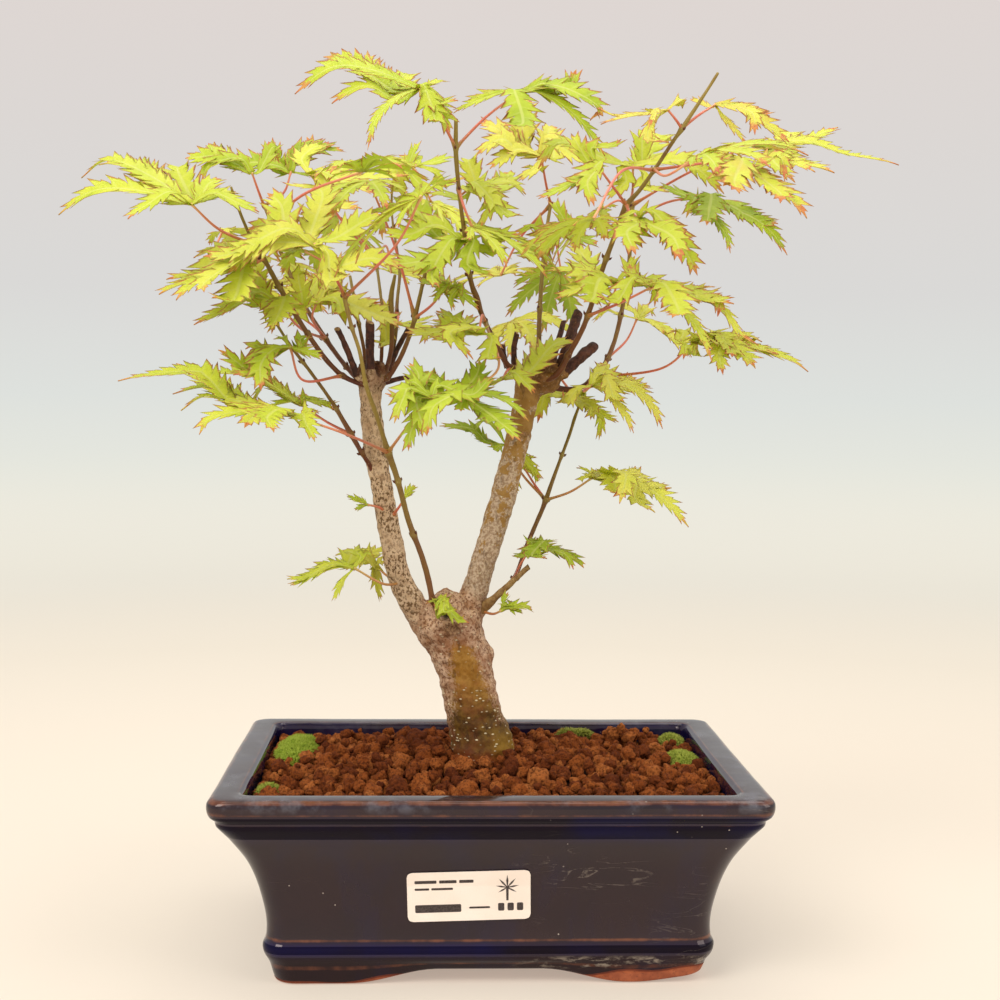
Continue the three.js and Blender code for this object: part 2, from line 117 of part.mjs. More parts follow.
  l1_b: [{"b":[-93.3,-36.8,274.7],"n":[-0.12,-0.44,0.89],"p":[[-89.8,-28.5,278.3],[-90.9,-33.3,276.9]],"l":[[[[-110.9,-42.7,269.9],[-126.7,-50.2,263.3]],6.5],[[[-106.4,-48.3,270.0],[-119.1,-58.6,261.6]],6.5],[[[-108.8,-38.8,275.5],[-125.6,-40.6,269.8]],6.5],[[[-100.1,-55.4,272.7],[-106.6,-73.2,263.7]],6.5],[[[-104.9,-30.5,278.2],[-117.8,-25.2,280.3]],5.9],[[[-95.8,-55.8,265.7],[-103.6,-73.7,262.1]],6.5]]},{"b":[-113.7,27.8,295.0],"n":[-0.02,0.06,1.0],"p":[[-89.8,-28.5,278.3],[-110.6,-11.4,280.1]],"l":[[[[-96.2,36.0,294.4],[-79.7,42.5,286.5]],4.6],[[[-102.6,42.1,293.9],[-91.5,54.2,286.1]],4.6],[[[-94.9,26.0,295.0],[-77.5,24.5,287.8]],4.6],[[[-112.9,41.5,293.8],[-113.1,53.9,287.6]],3.9],[[[-102.5,20.6,295.3],[-91.6,14.8,290.5]],3.8],[[[-117.7,34.0,294.4],[-120.9,39.7,291.0]],2.3],[[[-111.5,20.7,295.3],[-109.0,14.2,292.7]],2.4]]}],
  l2_b: [{"b":[-84.5,-26.0,261.5],"n":[-0.11,-0.53,0.84],"p":[[-69.0,17.8,249.6],[-77.5,-3.0,252.7]],"l":[[[[-99.7,-31.6,261.2],[-115.8,-36.9,252.9]],5.6],[[[-92.6,-22.8,267.9],[-104.3,-20.9,262.2]],4.8],[[[-95.8,-33.1,263.0],[-104.6,-40.7,256.2]],5.1],[[[-86.2,-38.3,258.3],[-84.6,-49.7,249.4]],3.5],[[[-81.5,-40.6,259.2],[-83.9,-55.4,250.9]],6.2],[[[-75.5,-23.3,265.1],[-70.8,-20.4,272.9]],3.9],[[[-94.7,-16.4,268.0],[-100.5,-5.6,278.7]],6.2]]},{"b":[-71.6,4.0,264.1],"n":[-0.1,-0.74,0.66],"p":[[-69.0,17.8,249.6],[-73.3,3.4,257.1]],"l":[[[[-78.8,-0.1,262.8],[-80.6,-5.2,254.0]],4.1],[[[-75.2,10.8,269.7],[-88.7,15.1,267.5]],4.2],[[[-77.0,11.3,266.5],[-77.4,18.7,275.1]],4.1],[[[-65.3,6.9,273.4],[-64.2,9.0,284.9]],4.6],[[[-66.1,6.9,272.8],[-56.3,9.3,281.6]],4.7],[[[-61.6,4.8,263.2],[-45.3,5.4,265.1]],5.1],[[[-53.9,1.9,261.8],[-36.3,-0.1,255.9]],6.5],[[[-62.8,-2.0,264.6],[-64.0,-9.8,258.8]],4.1]]},{"b":[-100.7,44.0,272.2],"n":[-0.03,-0.34,0.94],"p":[[-69.0,17.8,249.6],[-77.3,37.6,257.2]],"l":[[[[-80.2,46.9,274.4],[-60.9,53.1,270.5]],4.6],[[[-88.9,53.1,276.3],[-76.9,62.5,274.9]],4.5],[[[-83.9,36.2,270.3],[-68.7,29.0,262.3]],4.6],[[[-97.5,55.9,277.0],[-95.4,68.8,277.3]],4.0],[[[-94.0,33.2,268.7],[-87.1,24.5,261.7]],3.7],[[[-102.1,50.1,274.5],[-103.9,56.4,274.5]],2.3],[[[-102.2,37.7,270.0],[-103.8,32.4,265.9]],2.2]]}],
  u3_a: [{"b":[-31.8,46.3,327.1],"n":[-0.08,-0.71,0.7],"p":[[-42.4,50.0,319.3],[-36.2,46.3,321.1]],"l":[[[[-34.4,49.4,329.9],[-31.8,52.5,338.1]],2.7],[[[-39.4,54.3,328.1],[-43.8,61.2,334.3]],4.6],[[[-31.3,41.6,319.5],[-28.4,36.5,315.5]],3.7],[[[-23.0,48.7,329.3],[-15.3,52.9,332.4]],3.1],[[[-40.0,44.3,323.6],[-44.7,42.0,317.7]],4.0],[[[-22.0,44.5,318.7],[-9.5,43.2,322.8]],3.3]]},{"b":[-25.2,105.7,319.0],"n":[0.32,-0.35,0.88],"p":[[-42.4,50.0,319.3],[-31.8,76.3,325.7]],"l":[[[[-13.9,90.9,308.5],[-6.7,78.3,292.6]],4.6],[[[-10.5,100.3,311.1],[2.2,98.4,298.9]],4.5],[[[-21.1,90.1,310.8],[-17.6,77.9,297.7]],4.6],[[[-11.9,109.0,315.2],[-0.8,112.2,306.6]],3.9],[[[-30.2,93.8,315.9],[-34.6,83.9,308.1]],3.6],[[[-20.5,111.1,319.3],[-16.7,116.8,317.1]],2.4],[[[-30.9,101.5,319.3],[-36.4,97.9,316.9]],2.3]]}],
  r1_b: [{"b":[-12.5,-25.1,287.1],"n":[0.0,-0.63,0.78],"p":[[-11.6,-20.0,291.5],[-9.3,-23.2,289.1]],"l":[[[[-30.0,-16.0,298.7],[-52.6,-10.0,298.8]],6.5],[[[-27.7,-22.7,291.3],[-44.5,-20.3,291.5]],6.5],[[[-25.7,-32.8,278.4],[-42.2,-40.2,276.3]],6.5],[[[-21.2,-33.9,279.7],[-21.2,-42.1,268.0]],5.3],[[[-10.4,-32.5,279.1],[-0.2,-38.1,273.2]],4.5],[[[-0.4,-24.7,284.1],[11.1,-24.2,290.2]],4.8]]}],
  r1_c: [{"b":[-9.2,-8.0,309.8],"n":[-0.05,-0.55,0.83],"p":[[-13.9,-25.2,306.7],[-13.1,-13.1,306.3]],"l":[[[[2.8,-8.0,312.5],[13.5,-8.0,308.2]],4.7],[[[2.1,4.1,311.9],[5.5,16.8,321.0]],6.4],[[[-7.9,1.1,316.8],[-4.6,9.6,320.6]],4.8],[[[-0.7,-17.6,304.2],[9.9,-26.8,297.7]],5.9],[[[-15.9,-9.3,305.9],[-25.4,-10.7,306.2]],3.5],[[[-2.3,-17.1,305.6],[-5.5,-23.1,292.5]],4.7]]},{"b":[-8.6,-27.0,292.0],"n":[0.3,-0.31,0.9],"p":[[-13.9,-25.2,306.7],[-11.9,-30.3,299.3]],"l":[[[[11.3,-23.3,286.8],[27.9,-16.3,276.4]],4.6],[[[6.7,-19.3,289.7],[19.5,-10.4,282.3]],4.6],[[[7.3,-33.3,284.6],[21.0,-36.8,272.6]],4.6],[[[-1.6,-17.0,293.2],[5.4,-7.8,289.4]],3.6],[[[-1.7,-38.2,285.9],[4.9,-46.4,275.9]],3.8],[[[-10.0,-21.1,294.6],[-12.2,-14.9,294.7]],2.3],[[[-9.3,-33.9,289.8],[-9.9,-39.8,285.5]],2.3]]}],
  r2_b: [{"b":[27.8,17.7,297.3],"n":[0.1,-0.64,0.77],"p":[[26.0,47.0,300.6],[27.1,32.3,299.9]],"l":[[[[20.5,17.2,295.2],[10.7,16.7,294.0]],3.6],[[[31.9,22.6,300.7],[29.7,28.2,308.2]],3.7],[[[35.5,18.0,297.8],[45.3,18.2,298.3]],4.1],[[[36.2,15.9,293.3],[44.7,13.5,290.6]],4.3],[[[21.9,5.0,290.7],[12.6,-7.9,283.3]],6.3],[[[23.9,14.3,289.6],[25.3,11.1,282.1]],3.8]]},{"b":[35.1,81.4,285.5],"n":[0.06,0.61,0.79],"p":[[26.0,47.0,300.6],[31.1,66.0,297.3]],"l":[[[[31.6,96.9,274.0],[28.2,108.4,258.3]],4.6],[[[22.7,92.9,277.8],[10.4,100.4,266.0]],4.6],[[[39.9,95.0,274.8],[43.0,105.3,260.1]],4.5],[[[24.0,84.7,284.0],[13.4,85.7,279.3]],3.4],[[[46.1,87.7,279.9],[55.4,92.2,270.5]],3.7],[[[29.0,80.2,287.0],[23.3,77.9,286.5]],2.2],[[[42.3,81.7,284.8],[48.7,81.9,281.2]],2.3]]}],
  c1_b: [{"b":[-23.7,-61.2,225.0],"n":[-0.07,-0.61,0.79],"p":[[-41.3,-17.3,203.0],[-33.0,-39.3,213.9]],"l":[[[[-29.1,-56.5,229.2],[-32.5,-52.0,238.2]],4.2],[[[-24.1,-45.3,228.5],[-22.7,-30.4,235.4]],6.4],[[[-30.9,-61.2,226.0],[-41.2,-61.2,226.6]],4.1],[[[-33.4,-66.6,226.9],[-37.5,-71.3,216.0]],4.2],[[[-29.9,-64.1,216.1],[-32.3,-67.0,205.4]],3.6],[[[-29.0,-65.8,220.7],[-25.4,-70.5,211.4]],4.0],[[[-19.0,-69.5,224.2],[-25.4,-75.4,211.8]],4.5],[[[-12.3,-58.9,226.4],[-1.7,-57.0,233.7]],5.0]]},{"b":[-76.5,-52.0,217.4],"n":[0.09,-0.34,0.94],"p":[[-41.3,-17.3,203.0],[-57.6,-52.2,211.3]],"l":[[[[-108.6,-46.3,231.2],[-144.0,-39.8,232.4]],6.5],[[[-102.7,-30.8,224.8],[-126.7,-10.9,240.0]],6.2],[[[-100.2,-40.9,224.6],[-124.7,-31.0,226.9]],6.4],[[[-98.3,-47.9,223.1],[-119.3,-44.7,220.2]],6.4],[[[-93.2,-64.0,218.8],[-107.8,-74.3,211.7]],5.2],[[[-83.6,-66.1,219.2],[-90.8,-79.8,214.4]],6.5],[[[-80.8,-78.9,218.9],[-77.5,-105.5,213.3]],6.0],[[[-70.8,-65.2,216.6],[-65.8,-77.3,208.9]],4.7],[[[-71.4,-49.5,215.1],[-66.7,-46.5,219.0]],2.8]]}],
  r1_d: [{"b":[-13.1,-46.8,226.4],"n":[0.07,-0.49,0.87],"p":[[-2.7,-4.7,256.7],[2.0,-33.6,236.8]],"l":[[[[0.8,-51.7,225.3],[12.9,-55.9,217.5]],3.4],[[[-1.0,-59.2,218.0],[9.1,-73.2,210.2]],6.5],[[[-11.1,-55.9,225.9],[-12.9,-65.5,220.4]],4.4],[[[-8.7,-31.6,228.2],[0.1,-17.6,234.1]],6.5],[[[-25.8,-46.6,229.7],[-35.6,-46.4,225.7]],4.9],[[[-9.5,-36.3,230.0],[-5.1,-27.9,240.8]],5.1]]},{"b":[-5.7,-33.6,249.9],"n":[0.1,-0.46,0.88],"p":[[-2.7,-4.7,256.7],[-4.4,-25.4,257.6]],"l":[[[[-16.6,-28.3,252.8],[-22.5,-21.0,259.9]],4.9],[[[-14.8,-21.6,253.1],[-23.7,-9.8,257.3]],6.2],[[[-10.4,-16.0,251.0],[-7.2,-1.5,260.2]],6.5],[[[-19.9,-32.3,251.1],[-34.6,-31.1,251.2]],5.9],[[[-14.4,-38.9,250.5],[-24.0,-44.3,247.6]],4.1],[[[-14.7,-44.8,251.0],[-8.0,-48.6,240.8]],4.7],[[[-1.5,-39.8,244.3],[2.7,-46.0,241.3]],3.7]]}],
  r1_e: [{"b":[5.0,-5.3,233.1],"n":[-0.14,-0.51,0.85],"p":[[8.8,6.0,237.9],[6.6,-1.3,236.3]],"l":[[[[20.9,0.6,241.8],[36.6,6.6,250.3]],6.5],[[[17.1,6.0,238.9],[23.7,17.5,250.2]],6.4],[[[11.3,-11.2,234.2],[17.4,-16.7,228.2]],3.8],[[[-7.3,-5.7,228.4],[-16.6,-6.0,232.6]],4.2],[[[-5.1,-8.7,231.6],[-5.2,-11.1,222.5]],2.8]]}],
  d1_a: [{"b":[9.2,44.0,204.5],"n":[0.24,-0.42,0.87],"p":[[25.3,25.2,181.8],[15.4,33.2,192.6]],"l":[[[[-4.6,47.3,211.0],[-20.6,49.5,213.7]],3.9],[[[-1.7,51.8,207.6],[-11.5,59.2,214.7]],3.2],[[[3.0,52.3,214.3],[-2.9,63.8,217.6]],2.4],[[[-1.2,46.9,215.6],[-14.7,51.0,214.9]],2.2],[[[4.9,40.8,203.8],[1.7,38.3,205.9]],2.6],[[[15.9,41.5,198.4],[24.1,39.9,192.5]],3.5]]},{"b":[44.1,15.0,191.9],"n":[0.16,-0.31,0.94],"p":[[25.3,25.2,181.8],[35.3,20.0,185.7]],"l":[[[[66.3,4.2,188.4],[82.8,-5.6,174.5]],6.5],[[[56.2,24.1,190.6],[65.0,32.0,197.9]],5.6],[[[59.4,13.4,190.1],[72.6,11.8,190.7]],5.9],[[[60.9,11.8,190.0],[77.4,8.7,189.1]],6.5],[[[60.6,-1.3,191.5],[66.8,-18.9,181.0]],6.0],[[[50.4,-6.5,193.8],[47.5,-27.5,189.7]],6.5],[[[52.0,-7.9,195.5],[51.2,-27.5,184.7]],6.5],[[[45.4,26.1,192.6],[39.4,34.2,196.7]],2.5],[[[44.5,12.1,193.0],[39.7,8.7,191.0]],2.5]]},{"b":[16.6,33.2,194.8],"n":[-0.26,-0.56,0.79],"p":[[25.3,25.2,181.8],[20.8,29.5,188.1]],"l":[[[[20.8,30.8,194.0],[22.0,28.2,189.4]],1.9],[[[14.8,27.8,200.8],[22.5,23.5,191.0]],2.7],[[[18.4,35.8,196.1],[21.7,37.6,200.3]],2.6],[[[10.4,29.6,194.5],[13.1,25.5,184.8]],3.1]]}],
  u4_a: [{"b":[-19.8,-25.0,267.0],"n":[0.14,-0.54,0.83],"p":[[-31.0,-12.9,257.0],[-24.6,-18.5,261.6]],"l":[[[[-22.2,-22.5,270.1],[-28.1,-20.0,273.2]],2.9],[[[-17.5,-15.5,267.7],[-22.6,-7.1,276.3]],4.3],[[[-15.5,-22.6,265.7],[-12.7,-19.7,269.6]],2.8],[[[-19.9,-28.4,268.3],[-22.9,-32.1,265.8]],2.5],[[[-14.3,-27.1,267.8],[-15.2,-29.5,259.7]],2.1],[[[-20.4,-30.3,266.7],[-22.6,-35.5,262.1]],1.1],[[[-12.6,-26.6,266.0],[-5.6,-27.8,260.3]],3.3]]},{"b":[-49.8,-6.3,312.1],"n":[-0.11,-0.32,0.94],"p":[[-31.0,-12.9,257.0],[-39.1,-10.1,285.2]],"l":[[[[-57.2,-21.4,306.1],[-63.7,-33.6,294.9]],4.6],[[[-46.2,-21.0,307.5],[-41.5,-33.0,298.4]],4.2],[[[-62.0,-15.2,307.6],[-72.4,-22.6,298.3]],4.2],[[[-42.2,-13.2,310.7],[-33.7,-17.5,306.4]],3.0],[[[-60.1,-8.7,310.1],[-69.3,-10.3,304.6]],3.1],[[[-44.7,-7.4,312.4],[-39.8,-8.1,310.8]],1.9],[[[-54.9,-3.2,312.6],[-59.1,0.9,311.2]],2.1]]}],
  u3_b: [{"b":[-38.4,13.2,256.0],"n":[-0.04,-0.45,0.89],"p":[[-39.2,23.4,261.2],[-38.6,17.8,259.2]],"l":[[[[-42.9,15.2,257.8],[-41.0,17.4,264.7]],2.4],[[[-31.0,14.5,257.3],[-24.1,15.7,260.2]],2.0],[[[-23.6,12.6,252.5],[-8.4,11.9,253.8]],5.7],[[[-42.7,24.7,254.7],[-44.6,37.1,261.2]],3.9],[[[-29.1,9.6,254.6],[-27.2,5.6,247.9]],3.4],[[[-43.1,8.8,251.2],[-50.0,5.0,249.1]],3.0]]}],
  c2_a: [{"b":[-75.8,-7.2,221.2],"n":[0.15,-0.36,0.92],"p":[[-56.7,-8.0,210.0],[-66.7,-6.4,214.9]],"l":[[[[-98.7,-2.8,233.5],[-123.8,2.2,236.4]],6.5],[[[-88.1,0.9,228.6],[-99.0,7.8,222.7]],5.3],[[[-89.2,9.5,228.5],[-100.1,24.0,241.9]],4.4],[[[-71.0,-6.0,223.1],[-63.2,-4.9,224.3]],3.5],[[[-70.7,-10.5,223.0],[-63.2,-12.6,220.6]],3.1],[[[-79.7,8.8,224.0],[-80.7,25.7,226.8]],6.3],[[[-84.8,-4.9,222.3],[-94.5,-3.3,219.9]],4.1]]}],
  l1_c: [{"b":[-78.8,-35.7,243.9],"n":[-0.02,-0.49,0.87],"p":[[-60.4,-6.1,233.7],[-74.7,-25.5,231.4]],"l":[[[[-87.6,-35.7,240.8],[-96.1,-35.7,243.7]],4.0],[[[-92.3,-35.7,234.6],[-106.5,-35.7,243.8]],6.4],[[[-88.8,-42.6,238.1],[-98.9,-49.8,233.4]],5.5],[[[-87.7,-44.6,239.2],[-88.2,-52.0,227.5]],5.1],[[[-83.2,-23.5,248.3],[-86.8,-10.4,249.1]],2.2],[[[-75.4,-30.1,244.7],[-72.1,-24.6,248.7]],3.2],[[[-72.5,-38.1,242.2],[-66.0,-40.2,240.4]],3.2],[[[-72.8,-34.3,241.3],[-70.7,-32.3,245.3]],2.0]]}],
  r3_d: [{"b":[50.2,-18.0,272.0],"n":[0.03,-0.56,0.83],"p":[[39.4,-5.1,259.1],[47.2,-11.7,263.3]],"l":[[[[37.1,-13.0,274.2],[21.9,-8.5,278.1]],6.0],[[[36.0,-22.8,273.9],[24.2,-28.5,265.3]],5.5],[[[59.1,-18.4,272.5],[69.6,-18.7,269.1]],4.3],[[[39.4,-4.5,278.3],[33.0,8.8,291.7]],6.5],[[[56.6,-13.8,274.3],[58.0,-9.6,283.7]],4.0],[[[40.3,-30.7,269.3],[34.2,-44.7,262.8]],6.5],[[[62.7,-21.7,273.0],[64.4,-24.2,262.6]],3.9]]},{"b":[60.9,-40.0,268.5],"n":[0.1,-0.47,0.88],"p":[[39.4,-5.1,259.1],[50.4,-22.9,263.3]],"l":[[[[75.1,-49.0,264.2],[83.9,-56.0,257.0]],6.4],[[[83.0,-50.4,262.2],[99.1,-61.1,247.8]],2.5],[[[70.7,-60.4,257.7],[78.5,-78.8,240.5]],3.1],[[[64.9,-64.5,263.4],[62.0,-88.3,255.8]],6.5],[[[72.3,-40.0,265.5],[85.5,-40.0,270.2]],5.0],[[[75.1,-49.3,265.1],[89.7,-58.3,262.2]],6.5],[[[61.6,-29.1,271.3],[54.5,-19.0,279.8]],5.3],[[[50.2,-42.9,267.3],[39.2,-45.9,265.4]],4.7]]}],
  r4_c: [{"b":[81.6,-16.0,248.6],"n":[0.06,-0.37,0.93],"p":[[46.8,28.5,235.0],[71.5,7.0,238.3]],"l":[[[[96.1,-15.8,247.0],[109.5,-15.5,250.1]],5.9],[[[95.0,5.4,248.8],[100.9,29.2,254.6]],6.5],[[[92.3,-31.7,248.1],[100.5,-47.5,238.9]],6.5],[[[87.0,-31.4,249.0],[91.6,-46.2,242.3]],6.5],[[[89.6,-33.8,247.3],[87.1,-51.7,235.3]],4.9],[[[98.4,-18.8,246.9],[115.1,-21.5,244.6]],6.5],[[[105.5,-18.5,246.6],[127.4,-21.3,238.8]],5.1],[[[78.0,-6.2,251.0],[73.7,3.1,254.0]],3.7],[[[78.6,-26.2,245.0],[74.2,-36.4,241.8]],4.3]]}],
  r4_d: [{"b":[66.8,50.0,261.5],"n":[0.15,-0.6,0.78],"p":[[52.1,33.0,243.4],[61.9,47.1,251.8]],"l":[[[[60.3,54.2,267.8],[58.7,57.9,272.4]],3.7],[[[69.6,57.3,264.4],[72.1,63.8,269.5]],3.3],[[[70.6,56.2,265.2],[75.6,61.6,264.3]],3.2],[[[80.4,47.8,254.7],[93.2,45.9,256.2]],2.8],[[[80.6,46.3,255.9],[90.7,42.2,245.5]],3.3],[[[72.5,43.8,259.6],[77.8,38.5,255.2]],2.5],[[[55.4,46.0,264.1],[46.6,41.1,259.8]],1.7]]}],
  r4_e: [{"b":[42.7,5.8,230.8],"n":[0.1,-0.55,0.83],"p":[[44.1,27.1,233.0],[39.9,13.4,228.6]],"l":[[[[55.0,6.1,230.0],[67.4,6.3,231.6]],5.2],[[[59.6,-3.7,229.6],[70.4,-11.2,214.8]],4.0],[[[51.9,-4.7,224.4],[58.3,-12.9,212.5]],2.9],[[[49.2,-2.6,231.3],[54.3,-11.7,225.4]],4.1],[[[51.1,13.4,234.6],[63.5,20.2,235.7]],5.5],[[[48.8,16.0,233.1],[48.1,25.9,242.0]],5.0],[[[34.0,1.9,226.6],[29.9,-2.3,228.7]],3.1]]}],
  d1_b: [{"b":[42.5,38.9,227.8],"n":[-0.08,-0.61,0.79],"p":[[40.7,37.0,223.4],[41.5,38.3,225.6]],"l":[[[[48.0,31.1,220.2],[48.0,25.5,208.3]],2.7],[[[45.9,27.9,221.2],[55.6,18.6,216.4]],3.5],[[[40.1,25.2,224.3],[42.8,11.1,217.8]],4.5],[[[27.6,35.2,228.3],[21.8,33.2,215.7]],5.6],[[[37.3,33.8,226.8],[31.8,28.8,224.5]],3.8],[[[34.0,40.0,226.6],[26.7,40.4,232.0]],3.8],[[[50.1,30.7,230.9],[56.8,25.0,221.8]],3.6]]},{"b":[11.2,63.4,260.4],"n":[-0.28,-0.25,0.93],"p":[[40.7,37.0,223.4],[29.6,61.0,240.1]],"l":[[[[17.2,45.4,256.6],[21.7,30.1,245.4]],4.6],[[[25.5,52.6,261.2],[39.3,43.4,254.5]],4.6],[[[10.7,46.4,255.0],[10.1,32.6,243.5]],4.6],[[[23.3,63.3,263.6],[35.5,63.6,261.2]],3.7],[[[5.4,51.9,255.0],[1.1,42.6,245.4]],3.7],[[[16.2,67.0,262.7],[21.7,70.4,262.0]],2.3],[[[5.3,61.6,257.9],[0.3,61.0,253.4]],2.1]]}],
  d1_c: [{"b":[17.2,0.0,162.9],"n":[0.14,-0.31,0.94],"p":[[11.3,15.7,148.5],[13.2,4.2,155.4]],"l":[[[[28.3,-5.1,162.3],[39.0,-9.3,157.1]],4.7],[[[24.7,1.8,162.6],[32.5,3.2,162.0]],3.4],[[[19.4,10.7,161.5],[27.7,20.8,165.2]],5.0],[[[26.8,-8.0,163.1],[34.2,-15.4,156.8]],4.5],[[[19.5,-12.6,164.7],[22.6,-25.5,162.0]],4.8],[[[18.9,5.5,161.8],[18.8,11.3,167.2]],3.1],[[[14.5,-4.8,160.5],[11.8,-9.5,160.4]],2.8]]}],
  ds_a: [{"b":[5.3,-2.7,137.3],"n":[0.17,-0.4,0.9],"p":[[-2.6,9.7,135.7],[2.0,3.6,135.2]],"l":[[[[11.7,-2.7,139.2],[18.3,-2.7,138.3]],3.7],[[[8.5,-1.5,139.5],[8.4,-0.3,145.2]],2.6],[[[9.5,-3.1,138.4],[14.2,-3.5,137.0]],2.9],[[[8.9,2.5,138.5],[12.6,7.8,139.3]],3.2]]}],
  ls_a: [{"b":[-54.9,-14.0,156.0],"n":[-0.08,-0.45,0.89],"p":[[-36.2,7.4,147.7],[-43.5,-6.6,148.8]],"l":[[[[-68.4,-16.0,155.0],[-81.6,-18.2,152.5]],4.2],[[[-68.0,-16.3,155.8],[-80.3,-18.4,150.2]],3.2],[[[-62.7,-8.8,156.3],[-72.0,-6.0,156.2]],3.9],[[[-56.9,-1.6,159.1],[-64.0,8.6,159.5]],5.2],[[[-59.9,-21.6,150.4],[-61.6,-30.9,145.4]],1.7],[[[-54.1,-8.5,161.8],[-47.2,-4.5,160.7]],2.8]]}],
  ls_b: [{"b":[-49.8,17.0,157.5],"n":[0.29,-0.58,0.76],"p":[[-36.2,7.4,147.7],[-43.5,21.8,149.6]],"l":[[[[-55.0,19.4,158.9],[-60.2,21.8,159.8]],2.6],[[[-52.3,23.2,155.6],[-50.7,30.0,161.3]],3.3],[[[-49.0,19.6,158.7],[-42.6,22.2,159.7]],2.1],[[[-46.8,14.9,149.0],[-44.6,12.4,140.2]],2.4],[[[-47.1,15.6,154.6],[-43.5,13.8,155.0]],2.5],[[[-50.0,9.5,157.1],[-57.6,3.0,152.5]],3.7],[[[-47.6,15.5,153.0],[-48.9,14.4,147.1]],2.5]]}],
  crotch: [{"b":[-21.7,-12.0,138.8],"n":[0.04,-0.41,0.91],"p":[[-22.9,-4.3,142.2],[-21.9,-6.1,139.6]],"l":[[[[-16.1,-12.5,138.5],[-10.1,-13.0,137.5]],2.9],[[[-19.7,-8.8,141.5],[-14.3,-6.6,139.0]],2.8],[[[-19.5,-10.1,140.7],[-25.9,-8.8,141.3]],1.9],[[[-18.5,-14.1,140.9],[-13.3,-16.5,140.1]],2.3]]}],
};


// ---- small vector helpers
const add = (a, b) => [a[0] + b[0], a[1] + b[1], a[2] + b[2]];
const sub = (a, b) => [a[0] - b[0], a[1] - b[1], a[2] - b[2]];
const mul = (a, k) => [a[0] * k, a[1] * k, a[2] * k];
const dot = (a, b) => a[0] * b[0] + a[1] * b[1] + a[2] * b[2];
const cross = (a, b) => [a[1] * b[2] - a[2] * b[1], a[2] * b[0] - a[0] * b[2], a[0] * b[1] - a[1] * b[0]];
const len = (a) => Math.hypot(a[0], a[1], a[2]);
const unit = (a) => mul(a, 1 / (len(a) || 1));
const wave = (i, j, s) => Math.sin(i * 12.9898 + j * 78.233 + s * 37.719) * 43758.5453;
const noise = (i, j, s) => { const w = wave(i, j, s); return (w - Math.floor(w)) * 2 - 1; };

function solid(verts, tris) {
  let m = new Manifold(new Mesh({ numProp: 3, vertProperties: new Float32Array(verts.flat()), triVerts: new Uint32Array(tris.flat()) }));
  if (m.volume() < 0) {
    m = new Manifold(new Mesh({ numProp: 3, vertProperties: new Float32Array(verts.flat()), triVerts: new Uint32Array(tris.map((t) => [t[0], t[2], t[1]]).flat()) }));
  }
  return m;
}

// rings of equal length joined into a closed solid; one-point rings make a tip
function loft(rings) {
  const verts = [], tris = [], start = [];
  for (const r of rings) { start.push(verts.length); verts.push(...r); }
  for (let k = 0; k + 1 < rings.length; k++) {
    const a = rings[k], b = rings[k + 1], A = start[k], B = start[k + 1];
    const n = Math.max(a.length, b.length);
    for (let i = 0; i < n; i++) {
      const j = (i + 1) % n;
      if (a.length === 1) tris.push([A, B + j, B + i]);
      else if (b.length === 1) tris.push([A + i, A + j, B]);
      else { tris.push([A + i, A + j, B + j]); tris.push([A + i, B + j, B + i]); }
    }
  }
  const cap = (r, s, flip) => {
    if (r.length < 3) return;
    const c = verts.length;
    verts.push(mul(r.reduce(add, [0, 0, 0]), 1 / r.length));
    for (let i = 0; i < r.length; i++) {
      const j = (i + 1) % r.length;
      tris.push(flip ? [c, s + j, s + i] : [c, s + i, s + j]);
    }
  };
  cap(rings[0], start[0], true);
  cap(rings[rings.length - 1], start[rings.length - 1], false);
  return solid(verts, tris);
}

// round stick along points [x, y, z, r]; grow widens it all round
function stick(points, sides, grow = 0, rough = 0, seed = 0) {
  const n = points.length, rings = [];
  let u = null;
  for (let i = 0; i < n; i++) {
    const a = points[Math.max(0, i - 1)], b = points[Math.min(n - 1, i + 1)];
    const t = unit(sub(b, a));
    if (!u) u = unit(cross(t, Math.abs(t[1]) < 0.9 ? [0, 1, 0] : [1, 0, 0]));
    u = unit(sub(u, mul(t, dot(u, t))));
    const v = cross(t, u);
    let c = points[i].slice(0, 3);
    if (grow && i === 0) c = sub(c, mul(t, grow));
    if (grow && i === n - 1) c = add(c, mul(t, grow));
    const ring = [];
    for (let k = 0; k < sides; k++) {
      const q = (k / sides) * 2 * Math.PI;
      const r = (points[i][3] ?? PETIOLE_R) * (1 + rough * noise(i, k, seed)) + grow * 1.12;
      ring.push(add(c, add(mul(u, Math.cos(q) * r), mul(v, Math.sin(q) * r))));
    }
    rings.push(ring);
  }
  return loft(rings);
}

const join = (list) => list.length > 1 ? Manifold.union(list) : list[0];
function biggest(m) {
  const parts = m.decompose();
  let best = parts[0];
  for (const p of parts) if (p.volume() > best.volume()) best = p;
  return best;
}
function meets(a, b) {
  const p = a.boundingBox(), q = b.boundingBox();
  for (let i = 0; i < 3; i++) if (p.max[i] < q.min[i] || q.max[i] < p.min[i]) return false;
  return true;
}
const clear = (m, others) => {
  const near = others.filter((o) => meets(m, o));
  for (const o of near) if (!m.intersect(o).isEmpty()) m = m.subtract(o);
  return biggest(near.length ? m.simplify(0.1) : m);
};

